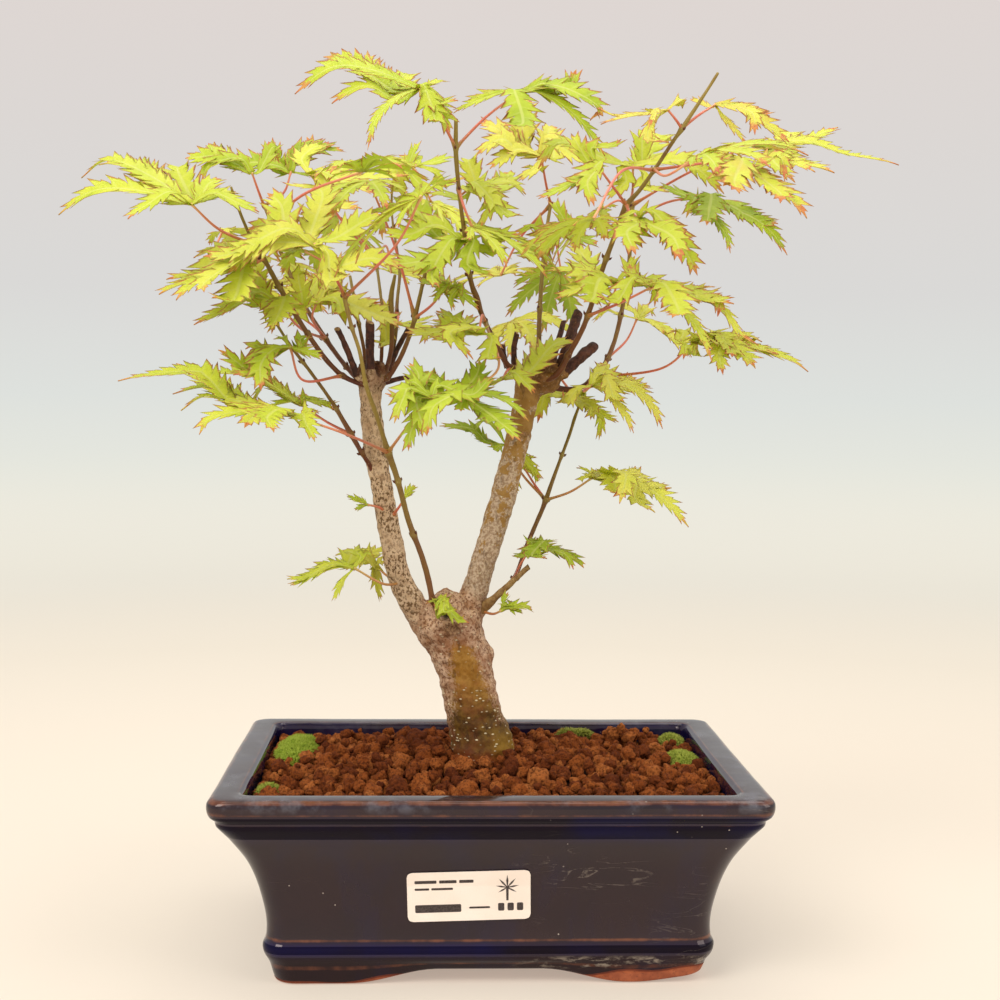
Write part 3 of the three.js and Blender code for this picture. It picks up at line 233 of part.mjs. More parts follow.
// ---- pot
// outside of the pot: [height, inset from the lip]
const OUTSIDE = [
  [0, 23], [3, 22.2], [7.6, 21], [12, 19], [15.4, 18.7], [17.4, 19.7], [23, 19.9], [30.5, 18.9],
  [40.3, 16.5], [49.5, 12.9], [58.2, 7.6], [65, 2.9], [67.2, 2.6], [68.6, 1.1], [70.6, 0.2], [73.4, 0], [75, 0.4], [POT_H, 1.6],
];
const INSIDE = [[POT_H, LIP_TOP + 1.2], [74.6, LIP_TOP + 2.4], [60, LIP_TOP + 4.2], [40.3, 16.5 + WALL], [23, 19.9 + WALL], [FLOOR_Z, 20.4 + WALL]];
const FRONT_K = 0.92;       // the long sides lean a little less than the short ones
function box4(z, inset, r, seg = 3) {
  const hx = LIP_L / 2 - inset, hy = LIP_W / 2 - inset * FRONT_K, ring = [];
  for (const [sx, sy, q0] of [[1, 1, 0], [-1, 1, 90], [-1, -1, 180], [1, -1, 270]]) {
    for (let k = 0; k <= seg; k++) {
      const q = ((q0 + (k / seg) * 90) * Math.PI) / 180;
      ring.push([sx * (hx - r) + Math.cos(q) * r, sy * (hy - r) + Math.sin(q) * r, z]);
    }
  }
  return ring;
}
const outer = loft(OUTSIDE.map(([z, i]) => box4(z, i, i < 4 ? 6.5 : CORNER_R)));
const inner = loft([box4(POT_H + 2, LIP_TOP + 1.2, 5), ...INSIDE.map(([z, i]) => box4(z, i, 5))]);
const under = loft([box4(-2, 23 + FOOT_T, 4), box4(UNDER_Z, 23 + FOOT_T, 4)]);
// arch between two feet, cut right through the foot band
function arch(width, along) {
  const half = width / 2, prof = [];
  for (let k = 0; k <= 14; k++) {
    const s = -1 + (2 * k) / 14, e = Math.min(1, (1 - Math.abs(s)) / 0.64);
    prof.push([s * half, ARCH_H * e * e * (3 - 2 * e)]);
  }
  const reach = along === "y" ? LIP_W : LIP_L;
  const ring = (d) => {
    const pts = prof.map(([a, z]) => (along === "y" ? [a, d, z] : [d, a, z]));
    const [p0, p1] = [prof[0], prof[prof.length - 1]];
    pts.push(along === "y" ? [p1[0], d, -2] : [d, p1[0], -2]);
    pts.push(along === "y" ? [p0[0], d, -2] : [d, p0[0], -2]);
    return pts;
  };
  return loft([ring(-reach), ring(reach)]);
}
const pot = outer.subtract(inner).subtract(under).subtract(arch(ARCH_F, "y")).subtract(arch(ARCH_S, "x"));

// ---- label on the front, following the lean of the wall
const insetAt = (z) => {
  for (let i = 0; i + 1 < OUTSIDE.length; i++) {
    const [z0, a] = OUTSIDE[i], [z1, b] = OUTSIDE[i + 1];
    if (z >= z0 && z <= z1) return a + ((b - a) * (z - z0)) / (z1 - z0);
  }
  return 0;
};
const LABEL_Z = [26.2, 30.5, 36, 40.3, 46.4], LABEL_X = [[-31.5, 15.3], [-31.6, 15.25], [-31.8, 15.1], [-31.95, 15.0], [-32.1, 14.9]];
const labelRings = LABEL_Z.map((z, i) => {
  const y = -(LIP_W / 2 - insetAt(z) * FRONT_K) - GAP, [x0, x1] = LABEL_X[i];
  const tilt = (x) => 0.031 * (x + 8);
  return [[x0, y, z], [x1, y, z], [x1, y - LABEL_T, z], [x0, y - LABEL_T, z]].map(([x, yy, zz]) => [x, yy, zz]);
});
const label = loft(labelRings);

// ---- moss cushions: [x, y, half x, half y, rise]
const MOSS = {
  moss_back_left: [-82, 32, 8.5, 26, 5.2],
  moss_left: [-86.5, -40, 4, 6.5, 4.0],
  moss_back: [42, 58.5, 9, 4, 5.2],
  moss_right: [84, 12, 6.8, 13, 4.8],
  moss_right_back: [85, 50, 5.2, 9, 4.6],
};
const soilTop = (x, y) => SOIL_Z + SOIL_MOUND * Math.exp(-((x + 1.5) ** 2 + (y - 10) ** 2) / (2 * 34 ** 2));
function moss(x, y, a, b, h, grow) {
  const rings = [], z0 = soilTop(x, y);
  const n = 12;
  for (const [s, dz] of [[0.86, -3.2], [1, -0.8], [0.93, 0.42], [0.62, 0.84]]) {
    const ring = [];
    for (let k = 0; k < n; k++) {
      const q = (k / n) * 2 * Math.PI, w = s * (1 + 0.10 * noise(k, 3, x)) , e = grow;
      ring.push([x + Math.cos(q) * (a * w + e), y + Math.sin(q) * (b * w + e), z0 + (dz > 0 ? dz * h + e : dz - e)]);
    }
    rings.push(ring);
  }
  rings.push([[x, y, z0 + h + grow]]);
  return loft(rings);
}
const wallRing = (z, inset) => box4(z, inset, 4.5);
const room = loft([wallRing(FLOOR_Z + GAP, 20.4 + WALL + GAP), wallRing(23, 19.9 + WALL + GAP), wallRing(40.3, 16.5 + WALL + GAP), wallRing(60, LIP_TOP + 4.2 + GAP), wallRing(74.6, LIP_TOP + 2.4 + GAP), wallRing(POT_H + 8, LIP_TOP + 2.0 + GAP)]);

// ---- soil: granules heaped to just under the lip
const NX = 17, NY = 12, HX = 100, HY = 72;
function heap() {
  const verts = [], tris = [], id = (i, j) => j * (NX + 1) + i;
  for (let j = 0; j <= NY; j++) for (let i = 0; i <= NX; i++) {
    const x = -HX + (2 * HX * i) / NX, y = -HY + (2 * HY * j) / NY;
    verts.push([x, y, soilTop(x, y) + SOIL_BUMP * noise(i, j, 1)]);
  }
  const base = verts.length;
  for (let j = 0; j <= NY; j++) for (let i = 0; i <= NX; i++) {
    if (i && j && i < NX && j < NY) { verts.push([0, 0, 0]); continue; }
    verts.push([-HX + (2 * HX * i) / NX, -HY + (2 * HY * j) / NY, 2]);
  }
  for (let j = 0; j < NY; j++) for (let i = 0; i < NX; i++) {
    const a = id(i, j), b = id(i + 1, j), c = id(i + 1, j + 1), d = id(i, j + 1);
    if ((i + j) % 2) { tris.push([a, b, c], [a, c, d]); } else { tris.push([a, b, d], [b, c, d]); }
  }
  const edge = [];
  for (let i = 0; i < NX; i++) edge.push(id(i, 0));
  for (let j = 0; j < NY; j++) edge.push(id(NX, j));
  for (let i = NX; i > 0; i--) edge.push(id(i, NY));
  for (let j = NY; j > 0; j--) edge.push(id(0, j));
  const low = edge.map((e) => base + e), c = verts.length;
  verts.push([0, 0, 2]);
  for (let k = 0; k < edge.length; k++) {
    const m = (k + 1) % edge.length;
    tris.push([edge[k], low[k], low[m]], [edge[k], low[m], edge[m]], [c, low[m], low[k]]);
  }
  // keep only the corners that are used
  const used = new Map(), v2 = [];
  const t2 = tris.map((t) => t.map((q) => { if (!used.has(q)) { used.set(q, v2.length); v2.push(verts[q]); } return used.get(q); }));
  return solid(v2, t2);
}

// every shoot and stub starts inside the wood it grew from
const ROOTS = { L: [-48.6, 2.2, 230.5], U: [-48.2, 3.5, 231], R: [20.5, 18.8, 233], C1: [-17, 6, 133], C2: [-47.6, 3, 193], D: [-6, 10.5, 132] };
const rooted = (k, pts) => [[...(ROOTS[k] ?? ROOTS[k[0]]), pts[0][3]], ...pts];

// ---- trunk with its two stems and the cut stubs
function wood(grow) {
  const rough = 0.035;
  const parts = [];
  const rings = TRUNK.map(([x, y, z, r], i) => {
    const ring = [], flare = i === 0 ? 1.0 : 1;
    for (let k = 0; k < 12; k++) {
      const q = (k / 12) * 2 * Math.PI, rr = (r * flare + grow) * (1 + rough * noise(i, k, 5));
      ring.push([x + Math.cos(q) * rr, y + Math.sin(q) * rr * 0.94, i === 0 ? z - grow : i === TRUNK.length - 1 ? z + grow : z]);
    }
    return ring;
  });
  parts.push(loft(rings));
  parts.push(stick(STEM_LEFT, 9, grow, rough, 1));
  parts.push(stick(STEM_RIGHT, 9, grow, rough, 2));
  let s = 3;
  for (const k in STUBS) parts.push(stick(rooted(k, STUBS[k]), 6, grow, 0, s++));
  // callus at the fork and the two knuckles where the stems were cut back
  const ball = (x, y, z, r, f) => {
    const out = [[[x, y, z - r * 0.9 - grow]]];
    for (const h of [-0.5, 0.35]) {
      const ring = [];
      for (let k = 0; k < 8; k++) {
        const q = (k / 8) * 2 * Math.PI, w = Math.sqrt(1 - h * h) * r * (1 + 0.1 * noise(k, s, 2)) + grow;
        ring.push([x + Math.cos(q) * w, y + Math.sin(q) * w * f, z + h * r + (h > 0 ? grow : -grow)]);
      }
      out.push(ring);
    }
    out.push([[x, y, z + r * 0.9 + grow]]);
    return loft(out);
  };
  parts.push(ball(-17.0, 7, 135.5, 9.5, 0.9));
  parts.push(ball(-49, 2.4, 233.5, 6.4, 0.9), ball(22.5, 19.5, 236.5, 9.2, 0.8));
  parts.push(ball(-1.2, 9.0, 117.6, 4.2, 0.9));
  return join(parts);
}
const trunk = wood(0), trunkRoom = wood(GAP);
const mossRoom = Object.values(MOSS).map((m) => moss(...m, GAP));
let soil = heap().intersect(room).subtract(trunkRoom);
for (const m of mossRoom) soil = soil.subtract(m);
soil = biggest(soil);

// ---- shoots
const shoots = {}, shootRooms = [trunkRoom];
for (const k in SHOOTS) {
  shoots[k] = clear(stick(rooted(k, SHOOTS[k]), 6, 0, 0, 1), shootRooms);
  shootRooms.push(stick(rooted(k, SHOOTS[k]), 6, GAP));
}

// ---- leaves
// one leaf: a thin star, thickest along the midribs and running out to nothing at its edge,
// with its stalk grown out of the notch that faces the shoot
function leaf(L, start, g) {
  const C = L.b, n = L.n, h = LEAF_T / 2 + g, R = PETIOLE_R + g;
  const e1 = unit(cross(n, Math.abs(n[0]) < 0.9 ? [1, 0, 0] : [0, 1, 0])), e2 = cross(n, e1);
  const TAU = 2 * Math.PI;
  const turn = (a, b) => { let d = b - a; while (d <= 0) d += TAU; return d; };
  const lobes = L.l.map(([pts, w]) => {
    const M = pts[0], T = pts[1], v = sub(M, C);
    return { M, T, w, q: Math.atan2(dot(v, e2), dot(v, e1)), r: Math.hypot(dot(v, e1), dot(v, e2)), z: dot(v, n), size: len(sub(T, C)) };
  }).filter((o) => o.r > 1.6 && o.size > 8);
  lobes.sort((a, b) => a.q - b.q);
  for (let again = true; again && lobes.length > 2; ) {
    again = false;
    for (let i = 0; i < lobes.length; i++) {
      const j = (i + 1) % lobes.length;
      if (turn(lobes[i].q, lobes[j].q) < 0.24) { lobes.splice(lobes[i].size < lobes[j].size ? i : j, 1); again = true; break; }
    }
  }
  const m = lobes.length, verts = [add(C, mul(n, h)), sub(C, mul(n, h))], tris = [];
  const at = (q, r, z) => add(C, add(add(mul(e1, Math.cos(q) * r), mul(e2, Math.sin(q) * r)), mul(n, z)));
  const pd = sub(L.p[L.p.length - 1], C), qs = Math.atan2(dot(pd, e2), dot(pd, e1));
  // the notch the stalk leaves through: the one that faces it, or the wide one beside it
  let sector = 0, bestFit = -9;
  for (let i = 0; i < m; i++) {
    const gap = m > 1 ? turn(lobes[i].q, lobes[(i + 1) % m].q) : TAU;
    const off = Math.abs(turn(lobes[i].q + gap / 2, qs) - TAU * Math.round(turn(lobes[i].q + gap / 2, qs) / TAU));
    const fit = Math.min(gap, 2) - 1.1 * Math.max(0, off - gap * 0.4);
    if (fit > bestFit) { bestFit = fit; sector = i; }
  }
  const notch = [];
  let ring = null, ringQ = 0;
  for (let i = 0; i < m; i++) {
    const a = lobes[i], b = lobes[(i + 1) % m], gap = m > 1 ? turn(a.q, b.q) : TAU, ids = [];
    const slope = (f) => ((a.z / a.r) * (1 - f) + (b.z / b.r) * f) * 0.8;
    if (i === sector) {
      const rr = Math.max(1.7, R / (0.33 * gap)), dq = Math.atan(R / rr), qm = a.q + gap / 2, zc = slope(0.5) * rr * 0.5;
      if (gap > 1.9) { ids.push(verts.length); verts.push(at(a.q + gap * 0.2, 1.8 + g, slope(0.2) * 1.8)); }
      ring = [verts.length, verts.length + 1, verts.length + 2, verts.length + 3];
      verts.push(at(qm - dq, rr, zc), at(qm, rr, zc + R), at(qm + dq, rr, zc), at(qm, rr, zc - R));
      ids.push(ring[0], ring[2]);
      if (gap > 1.9) { ids.push(verts.length); verts.push(at(a.q + gap * 0.8, 1.8 + g, slope(0.8) * 1.8)); }
      ringQ = qm;
    } else {
      for (const f of gap > 1.9 ? [0.3, 0.7] : [0.5]) {
        const r = (gap > 1.9 ? 1.8 : Math.max(1.5, 0.4 * Math.min(a.r, b.r))) + g;
        ids.push(verts.length); verts.push(at(a.q + gap * f, r, slope(f) * r));
      }
    }
    notch.push(ids);
  }
  for (let i = 0; i < m; i++) {
    const o = lobes[i], p = lobes[(i + m - 1) % m], x = lobes[(i + 1) % m];
    const before = m > 1 ? turn(p.q, o.q) : 3, after = m > 1 ? turn(o.q, x.q) : 3;
    const wl = Math.min(o.w + g, o.r * Math.tan(Math.min(1.2, before * 0.42))), wr = Math.min(o.w + g, o.r * Math.tan(Math.min(1.2, after * 0.42)));
    const sv = add(mul(e1, -Math.sin(o.q)), mul(e2, Math.cos(o.q)));
    const EL = verts.length; verts.push(sub(o.M, mul(sv, wl)));
    const T = verts.length; verts.push(add(o.T, mul(unit(sub(o.T, o.M)), g)));
    const ER = verts.length; verts.push(add(o.M, mul(sv, wr)));
    const before2 = notch[(i + m - 1) % m], S0 = before2[before2.length - 1], S1 = notch[i][0];
    if (o.size < 17) {
      tris.push([0, S0, EL], [0, EL, T], [0, T, ER], [0, ER, S1], [1, EL, S0], [1, T, EL], [1, ER, T], [1, S1, ER]);
    } else {
      const Mt = verts.length; verts.push(add(o.M, mul(n, h * 0.9)));
      const Mb = verts.length; verts.push(sub(o.M, mul(n, h * 0.9)));
      for (const [c, M, f] of [[0, Mt, 0], [1, Mb, 1]]) {
        const face = [[c, S0, EL], [c, EL, M], [EL, T, M], [M, T, ER], [c, M, ER], [c, ER, S1]];
        for (const t of face) tris.push(f ? [t[0], t[2], t[1]] : t);
      }
    }
    for (let k = 0; k + 1 < notch[i].length; k++) {
      const u = notch[i][k], v = notch[i][k + 1];
      if (u === ring[0] && v === ring[2]) tris.push([0, ring[0], ring[1]], [0, ring[1], ring[2]], [1, ring[3], ring[0]], [1, ring[2], ring[3]]);
      else tris.push([0, u, v], [1, v, u]);
    }
  }
  // the stalk, back to the shoot
  const path = [at(ringQ, 3.0 + Math.max(1.7, 0), -0.4), ...L.p.slice(1).reverse(), start];
  let s = add(mul(e1, -Math.sin(ringQ)), mul(e2, Math.cos(ringQ))), from = at(ringQ, 1.7, 0), prev = ring;
  for (let k = 0; k < path.length; k++) {
    const c = path[k], t = unit(sub(path[Math.min(k + 1, path.length - 1)], k ? path[k - 1] : from));
    s = unit(sub(s, mul(t, dot(s, t))));
    const v = cross(t, s), base = verts.length;
    verts.push(sub(c, mul(s, R)), add(c, mul(v, R)), add(c, mul(s, R)), sub(c, mul(v, R)));
    const next = [base, base + 1, base + 2, base + 3];
    const quad = (a, b, c2, d) => tris.push([a, b, c2], [a, c2, d]);
    quad(prev[1], prev[0], next[0], next[1]);
    quad(prev[2], prev[1], next[1], next[2]);
    quad(prev[0], prev[3], next[3], next[0]);
    quad(prev[3], prev[2], next[2], next[3]);
    prev = next;
  }
  tris.push([prev[1], prev[0], prev[3]], [prev[1], prev[3], prev[2]]);
  return solid(verts, tris);
}
const leafNodes = {}, leafRooms = [];
for (const k in LEAVES) {
  const [, at, r, dir] = NODES[k];
  const make = (g) => {
    const parts = LEAVES[k].map((L) => leaf(L, at, g));
    // the stalk bases clasp the shoot
    const c = r + GAP + 0.8 + g;
    if (LEAVES[k].length > 1) parts.push(stick([[...sub(at, mul(dir, 1.2 + g)), c], [...add(at, mul(dir, 1.2 + g)), c]], 7));
    return join(parts);
  };
  leafNodes[k] = clear(clear(make(0), shootRooms), leafRooms);
  for (const o of Object.values(leafNodes)) {
    if (o === leafNodes[k] || leafNodes[k].intersect(o).isEmpty()) continue;
    leafNodes[k] = biggest(leafNodes[k].subtract(o.translate([0, 0, GAP])).subtract(o.translate([0, 0, -GAP])).subtract(o));
  }
  leafRooms.push(make(GAP));
}

// ---- hand over
const group = new THREE.Group();
group.name = "potted_maple";
function put(name, m, color, roughness) {
  const g = m.getMesh(), geo = new THREE.BufferGeometry(), np = g.numProp, pos = new Float32Array((g.vertProperties.length / np) * 3);
  for (let i = 0; i < pos.length / 3; i++) for (let c = 0; c < 3; c++) pos[i * 3 + c] = g.vertProperties[i * np + c];
  geo.setAttribute("position", new THREE.BufferAttribute(pos, 3));
  geo.setIndex(new THREE.BufferAttribute(new Uint32Array(g.triVerts), 1));
  geo.computeVertexNormals();
  const mesh = new THREE.Mesh(geo, new THREE.MeshStandardMaterial({ color, roughness, metalness: 0 }));
  mesh.name = name;
  group.add(mesh);
}
put("pot", pot, 0x1a2038, 0.25);
put("label", label, 0xf2e9dc, 0.6);
put("soil", soil, 0x6e3a1c, 0.95);
for (const k in MOSS) put(k, moss(...MOSS[k], 0), 0x6f9a2c, 0.95);
put("trunk", trunk, 0x8a6f4a, 0.85);
for (const k in shoots) put("shoot_" + k.toLowerCase(), shoots[k], 0x6b5a22, 0.7);
for (const k in leafNodes) put("leaves_" + k, leafNodes[k], 0xa9c83a, 0.6);

export default group;
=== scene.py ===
"""Potted palmate maple bonsai: leaves, bark, glaze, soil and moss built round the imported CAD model."""
import bpy, bmesh, math, random
import numpy as np
from mathutils import Vector, Matrix, noise


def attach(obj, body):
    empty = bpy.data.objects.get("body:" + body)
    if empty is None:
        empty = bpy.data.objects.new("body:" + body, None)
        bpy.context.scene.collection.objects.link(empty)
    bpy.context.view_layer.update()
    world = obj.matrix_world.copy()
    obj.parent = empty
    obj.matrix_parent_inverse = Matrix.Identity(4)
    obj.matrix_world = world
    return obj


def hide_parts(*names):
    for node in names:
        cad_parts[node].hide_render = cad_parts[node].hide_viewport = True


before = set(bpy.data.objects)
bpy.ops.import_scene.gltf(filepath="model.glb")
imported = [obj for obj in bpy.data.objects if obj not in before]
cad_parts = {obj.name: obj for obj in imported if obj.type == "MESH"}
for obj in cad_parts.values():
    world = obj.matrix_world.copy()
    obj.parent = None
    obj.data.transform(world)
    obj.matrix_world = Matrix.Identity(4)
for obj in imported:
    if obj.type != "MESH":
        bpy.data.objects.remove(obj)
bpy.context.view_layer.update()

# leaf name, group, base, face normal, half widths, stalk, and a line for each lobe, in mm
LEAVES = [
    {"i":"A","c":"l1_a","b":[-115.4,-44.0,297.1],"n":[0.018,-0.565,0.825],"w":[5.82,6.5,6.5,6.5,4.74,6.5,4.94,3.19,3.92],"p":[[-93.5,-31.7,283.5],[-106.1,-36.2,288.7],[-115.4,-44.0,297.1]],
     "l":[[[-115.4,-44.0,297.1],[-134.3,-45.4,301.5],[-150.3,-46.4,301.4],[-164.5,-47.5,293.6]],[[-115.4,-44.0,297.1],[-130.5,-37.6,307.6],[-147.9,-31.9,315.0],[-160.4,-28.2,311.0]],[[-115.4,-44.0,297.1],[-135.8,-30.3,311.1],[-146.5,-23.8,314.9],[-155.8,-18.2,317.4]],[[-115.4,-44.0,297.1],[-125.3,-32.5,300.2],[-137.7,-21.5,313.3],[-140.9,-10.9,320.5]],[[-115.4,-44.0,297.1],[-122.1,-51.1,300.6],[-130.5,-57.7,294.0],[-135.4,-63.9,289.9]],[[-115.4,-44.0,297.1],[-116.2,-35.4,299.1],[-123.2,-26.8,312.2],[-122.7,-18.2,315.4]],[[-115.4,-44.0,297.1],[-112.5,-37.9,299.5],[-111.0,-32.0,306.0],[-106.5,-26.3,310.2]],[[-115.4,-44.0,297.1],[-109.1,-42.0,299.3],[-103.9,-40.0,302.2],[-98.4,-38.1,302.5]],[[-115.4,-44.0,297.1],[-106.7,-44.6,301.2],[-95.8,-45.2,296.9],[-89.6,-45.9,295.4]]]},
    {"i":"B","c":"l2_a","b":[-102.5,40.0,321.6],"n":[0.02,-0.657,0.754],"w":[6.5,6.24,5.07,3.53],"p":[[-98.2,48.0,308.6],[-100.4,43.9,315.0],[-102.5,40.0,321.6]],
     "l":[[[-102.5,40.0,321.6],[-114.8,41.8,328.3],[-126.0,43.5,328.6],[-132.1,45.2,329.2]],[[-102.5,40.0,321.6],[-109.7,45.5,325.7],[-119.5,51.0,331.8],[-123.8,56.8,337.7]],[[-102.5,40.0,321.6],[-107.6,39.5,327.7],[-119.9,39.1,324.8],[-124.2,38.6,318.6]],[[-102.5,40.0,321.6],[-99.8,42.7,322.7],[-94.0,45.3,333.8],[-91.7,47.6,327.8]]]},
    {"i":"C","c":"l2_a","b":[-87.6,59.6,325.2],"n":[-0.03,-0.787,0.616],"w":[4.84,5.25,5.11,5.03,5.33,1.9],"p":[[-98.2,48.0,308.6],[-90.2,53.1,315.2],[-87.6,59.6,325.2]],
     "l":[[[-87.6,59.6,325.2],[-92.2,63.2,325.6],[-96.9,66.7,336.2],[-98.8,70.2,340.7]],[[-87.6,59.6,325.2],[-90.6,64.5,328.5],[-79.8,69.3,336.3],[-81.9,74.1,343.8]],[[-87.6,59.6,325.2],[-86.9,61.6,333.1],[-74.2,63.5,337.4],[-71.3,65.4,340.8]],[[-87.6,59.6,325.2],[-84.5,61.6,334.9],[-72.4,63.6,336.2],[-64.8,65.5,336.7]],[[-87.6,59.6,325.2],[-93.9,59.9,328.0],[-104.6,60.1,329.3],[-116.8,60.4,327.2]],[[-87.6,59.6,325.2],[-81.5,58.3,324.2],[-72.5,57.0,323.4],[-73.4,55.8,315.7]]]},
    {"i":"D","c":"u2_a","b":[-77.4,37.7,321.7],"n":[0.01,-0.533,0.846],"w":[6.5,6.5,6.5,6.5,2.35,5.99],"p":[[-48.5,30.0,284.1],[-64.7,37.8,303.0],[-77.4,37.7,321.7]],
     "l":[[[-77.4,37.7,321.7],[-64.9,37.8,320.3],[-50.0,37.9,320.2],[-34.7,38.0,322.5]],[[-77.4,37.7,321.7],[-69.9,46.1,321.0],[-61.3,54.2,328.7],[-55.8,62.3,331.5]],[[-77.4,37.7,321.7],[-72.0,32.6,321.8],[-59.4,27.4,315.4],[-48.3,22.1,311.8]],[[-77.4,37.7,321.7],[-70.6,28.4,317.3],[-66.0,18.8,305.3],[-53.7,9.2,304.9]],[[-77.4,37.7,321.7],[-74.1,33.8,315.6],[-84.4,30.6,315.5],[-88.1,29.2,317.0]],[[-77.4,37.7,321.7],[-81.5,45.8,328.8],[-77.1,52.8,334.9],[-71.0,60.3,338.1]]]},
    {"i":"E","c":"c1_a","b":[-68.4,-51.3,282.0],"n":[-0.021,-0.699,0.715],"w":[6.5,6.27,6.5,6.44,6.5,6.04,6.5,4.24],"p":[[-58.0,-30.0,263.8],[-62.1,-41.0,272.5],[-68.4,-51.3,282.0]],
     "l":[[[-68.4,-51.3,282.0],[-78.8,-45.6,285.6],[-81.9,-40.1,297.6],[-87.8,-34.8,303.6]],[[-68.4,-51.3,282.0],[-76.4,-46.2,281.9],[-85.4,-41.4,290.6],[-95.2,-36.9,289.0]],[[-68.4,-51.3,282.0],[-79.1,-51.7,287.5],[-99.2,-52.1,277.8],[-109.8,-52.5,277.6]],[[-68.4,-51.3,282.0],[-82.6,-52.7,282.3],[-90.3,-54.2,279.5],[-100.3,-55.7,271.4]],[[-68.4,-51.3,282.0],[-59.8,-52.5,274.2],[-47.1,-53.8,276.6],[-34.2,-55.1,274.3]],[[-68.4,-51.3,282.0],[-59.2,-49.4,285.1],[-48.8,-47.5,291.8],[-42.6,-45.6,295.0]],[[-68.4,-51.3,282.0],[-70.5,-41.2,286.8],[-66.7,-31.4,302.8],[-71.8,-21.9,308.1]],[[-68.4,-51.3,282.0],[-63.2,-53.7,278.4],[-61.6,-56.1,268.5],[-54.5,-58.6,271.3]]]},
    {"i":"F","c":"r1_a","b":[-29.6,-42.0,342.3],"n":[0.033,-0.609,0.792],"w":[6.5,6.5,6.5,6.5,2.34,5.13,4.39,4.75,2.69,6.43],"p":[[-15.3,-30.6,322.1],[-21.5,-34.8,332.5],[-29.6,-42.0,342.3]],
     "l":[[[-29.6,-42.0,342.3],[-46.1,-42.9,348.3],[-61.5,-43.9,349.3],[-76.4,-45.0,340.1]],[[-29.6,-42.0,342.3],[-40.2,-34.6,343.3],[-56.4,-27.3,354.9],[-67.5,-19.9,359.7]],[[-29.6,-42.0,342.3],[-38.4,-31.0,345.0],[-49.7,-20.1,353.8],[-50.1,-9.4,364.4]],[[-29.6,-42.0,342.3],[-38.1,-45.4,337.2],[-48.9,-48.9,341.4],[-62.0,-52.4,335.7]],[[-29.6,-42.0,342.3],[-37.7,-51.6,336.7],[-44.8,-60.9,327.4],[-47.7,-69.9,315.8]],[[-29.6,-42.0,342.3],[-26.7,-47.9,339.9],[-23.4,-53.8,328.3],[-23.9,-59.7,327.9]],[[-29.6,-42.0,342.3],[-24.3,-45.4,337.2],[-20.4,-48.6,331.1],[-17.6,-51.8,324.9]],[[-29.6,-42.0,342.3],[-27.9,-45.7,342.9],[-22.9,-48.6,335.6],[-14.8,-51.8,336.9]],[[-29.6,-42.0,342.3],[-25.1,-37.9,344.8],[-23.0,-33.7,346.8],[-19.4,-29.6,348.1]],[[-29.6,-42.0,342.3],[-36.5,-31.7,342.1],[-36.5,-22.6,350.3],[-32.5,-14.0,354.7]]]},
    {"i":"G","c":"r1_a","b":[8.3,-16.0,345.6],"n":[0.079,-0.626,0.775],"w":[2.35,3.59,5.73,6.5,3.52,6.5,4.43],"p":[[-15.3,-30.6,322.1],[-4.0,-23.6,334.8],[8.3,-16.0,345.6]],
     "l":[[[8.3,-16.0,345.6],[3.7,-19.3,346.0],[-4.2,-22.7,343.0],[-16.2,-26.1,337.0]],[[8.3,-16.0,345.6],[6.1,-16.0,347.0],[-3.0,-16.0,345.0],[-10.4,-16.0,344.1]],[[8.3,-16.0,345.6],[14.6,-14.3,347.6],[29.0,-12.7,349.3],[33.2,-11.0,358.1]],[[8.3,-16.0,345.6],[23.9,-18.0,349.2],[40.9,-21.5,340.8],[37.9,-21.5,336.1]],[[8.3,-16.0,345.6],[17.1,-19.1,346.6],[31.4,-21.8,337.3],[43.7,-26.8,322.0]],[[8.3,-16.0,345.6],[7.5,-27.5,344.8],[10.3,-38.8,330.6],[2.6,-49.9,328.3]],[[8.3,-16.0,345.6],[19.6,-16.4,350.3],[20.9,-16.9,346.3],[29.8,-17.3,344.0]]]},
    {"i":"H","c":"r2_a","b":[22.3,36.0,330.7],"n":[0.053,-0.732,0.679],"w":[6.09,6.04,5.87,5.27,6.36,5.45,3.8],"p":[[27.7,49.8,311.2],[24.9,42.2,319.7],[22.3,36.0,330.7]],
     "l":[[[22.3,36.0,330.7],[15.0,40.8,335.6],[15.2,45.5,353.3],[19.1,50.0,357.7]],[[22.3,36.0,330.7],[15.8,38.4,331.2],[5.0,40.8,341.5],[-4.9,43.1,345.9]],[[22.3,36.0,330.7],[13.4,36.0,331.1],[5.3,36.0,337.2],[-6.2,36.0,330.5]],[[22.3,36.0,330.7],[12.2,34.9,332.7],[5.4,33.9,328.2],[0.1,32.9,324.4]],[[22.3,36.0,330.7],[28.5,44.8,331.5],[26.5,52.9,343.7],[31.3,60.8,348.6]],[[22.3,36.0,330.7],[25.3,35.6,337.9],[37.4,35.2,330.2],[49.9,34.8,328.8]],[[22.3,36.0,330.7],[20.3,33.1,323.9],[19.8,30.3,324.1],[12.2,27.6,318.6]]]},
    {"i":"I","c":"r3_a","b":[39.6,-37.0,314.9],"n":[-0.005,-0.683,0.731],"w":[2.79,4.44,4.47,3.48,4.04],"p":[[53.1,-19.1,302.5],[45.8,-27.7,309.4],[39.6,-37.0,314.9]],
     "l":[[[39.6,-37.0,314.9],[33.8,-42.1,310.0],[21.9,-47.2,303.3],[15.8,-52.3,300.6]],[[39.6,-37.0,314.9],[40.3,-41.4,316.1],[31.2,-45.8,307.8],[26.4,-50.4,307.7]],[[39.6,-37.0,314.9],[39.8,-42.5,313.6],[34.6,-48.0,307.0],[36.8,-53.5,298.2]],[[39.6,-37.0,314.9],[37.1,-35.6,321.8],[45.1,-34.3,323.0],[49.0,-33.0,326.3]],[[39.6,-37.0,314.9],[36.8,-33.0,316.3],[31.1,-29.4,326.4],[31.9,-25.9,328.5]]]},
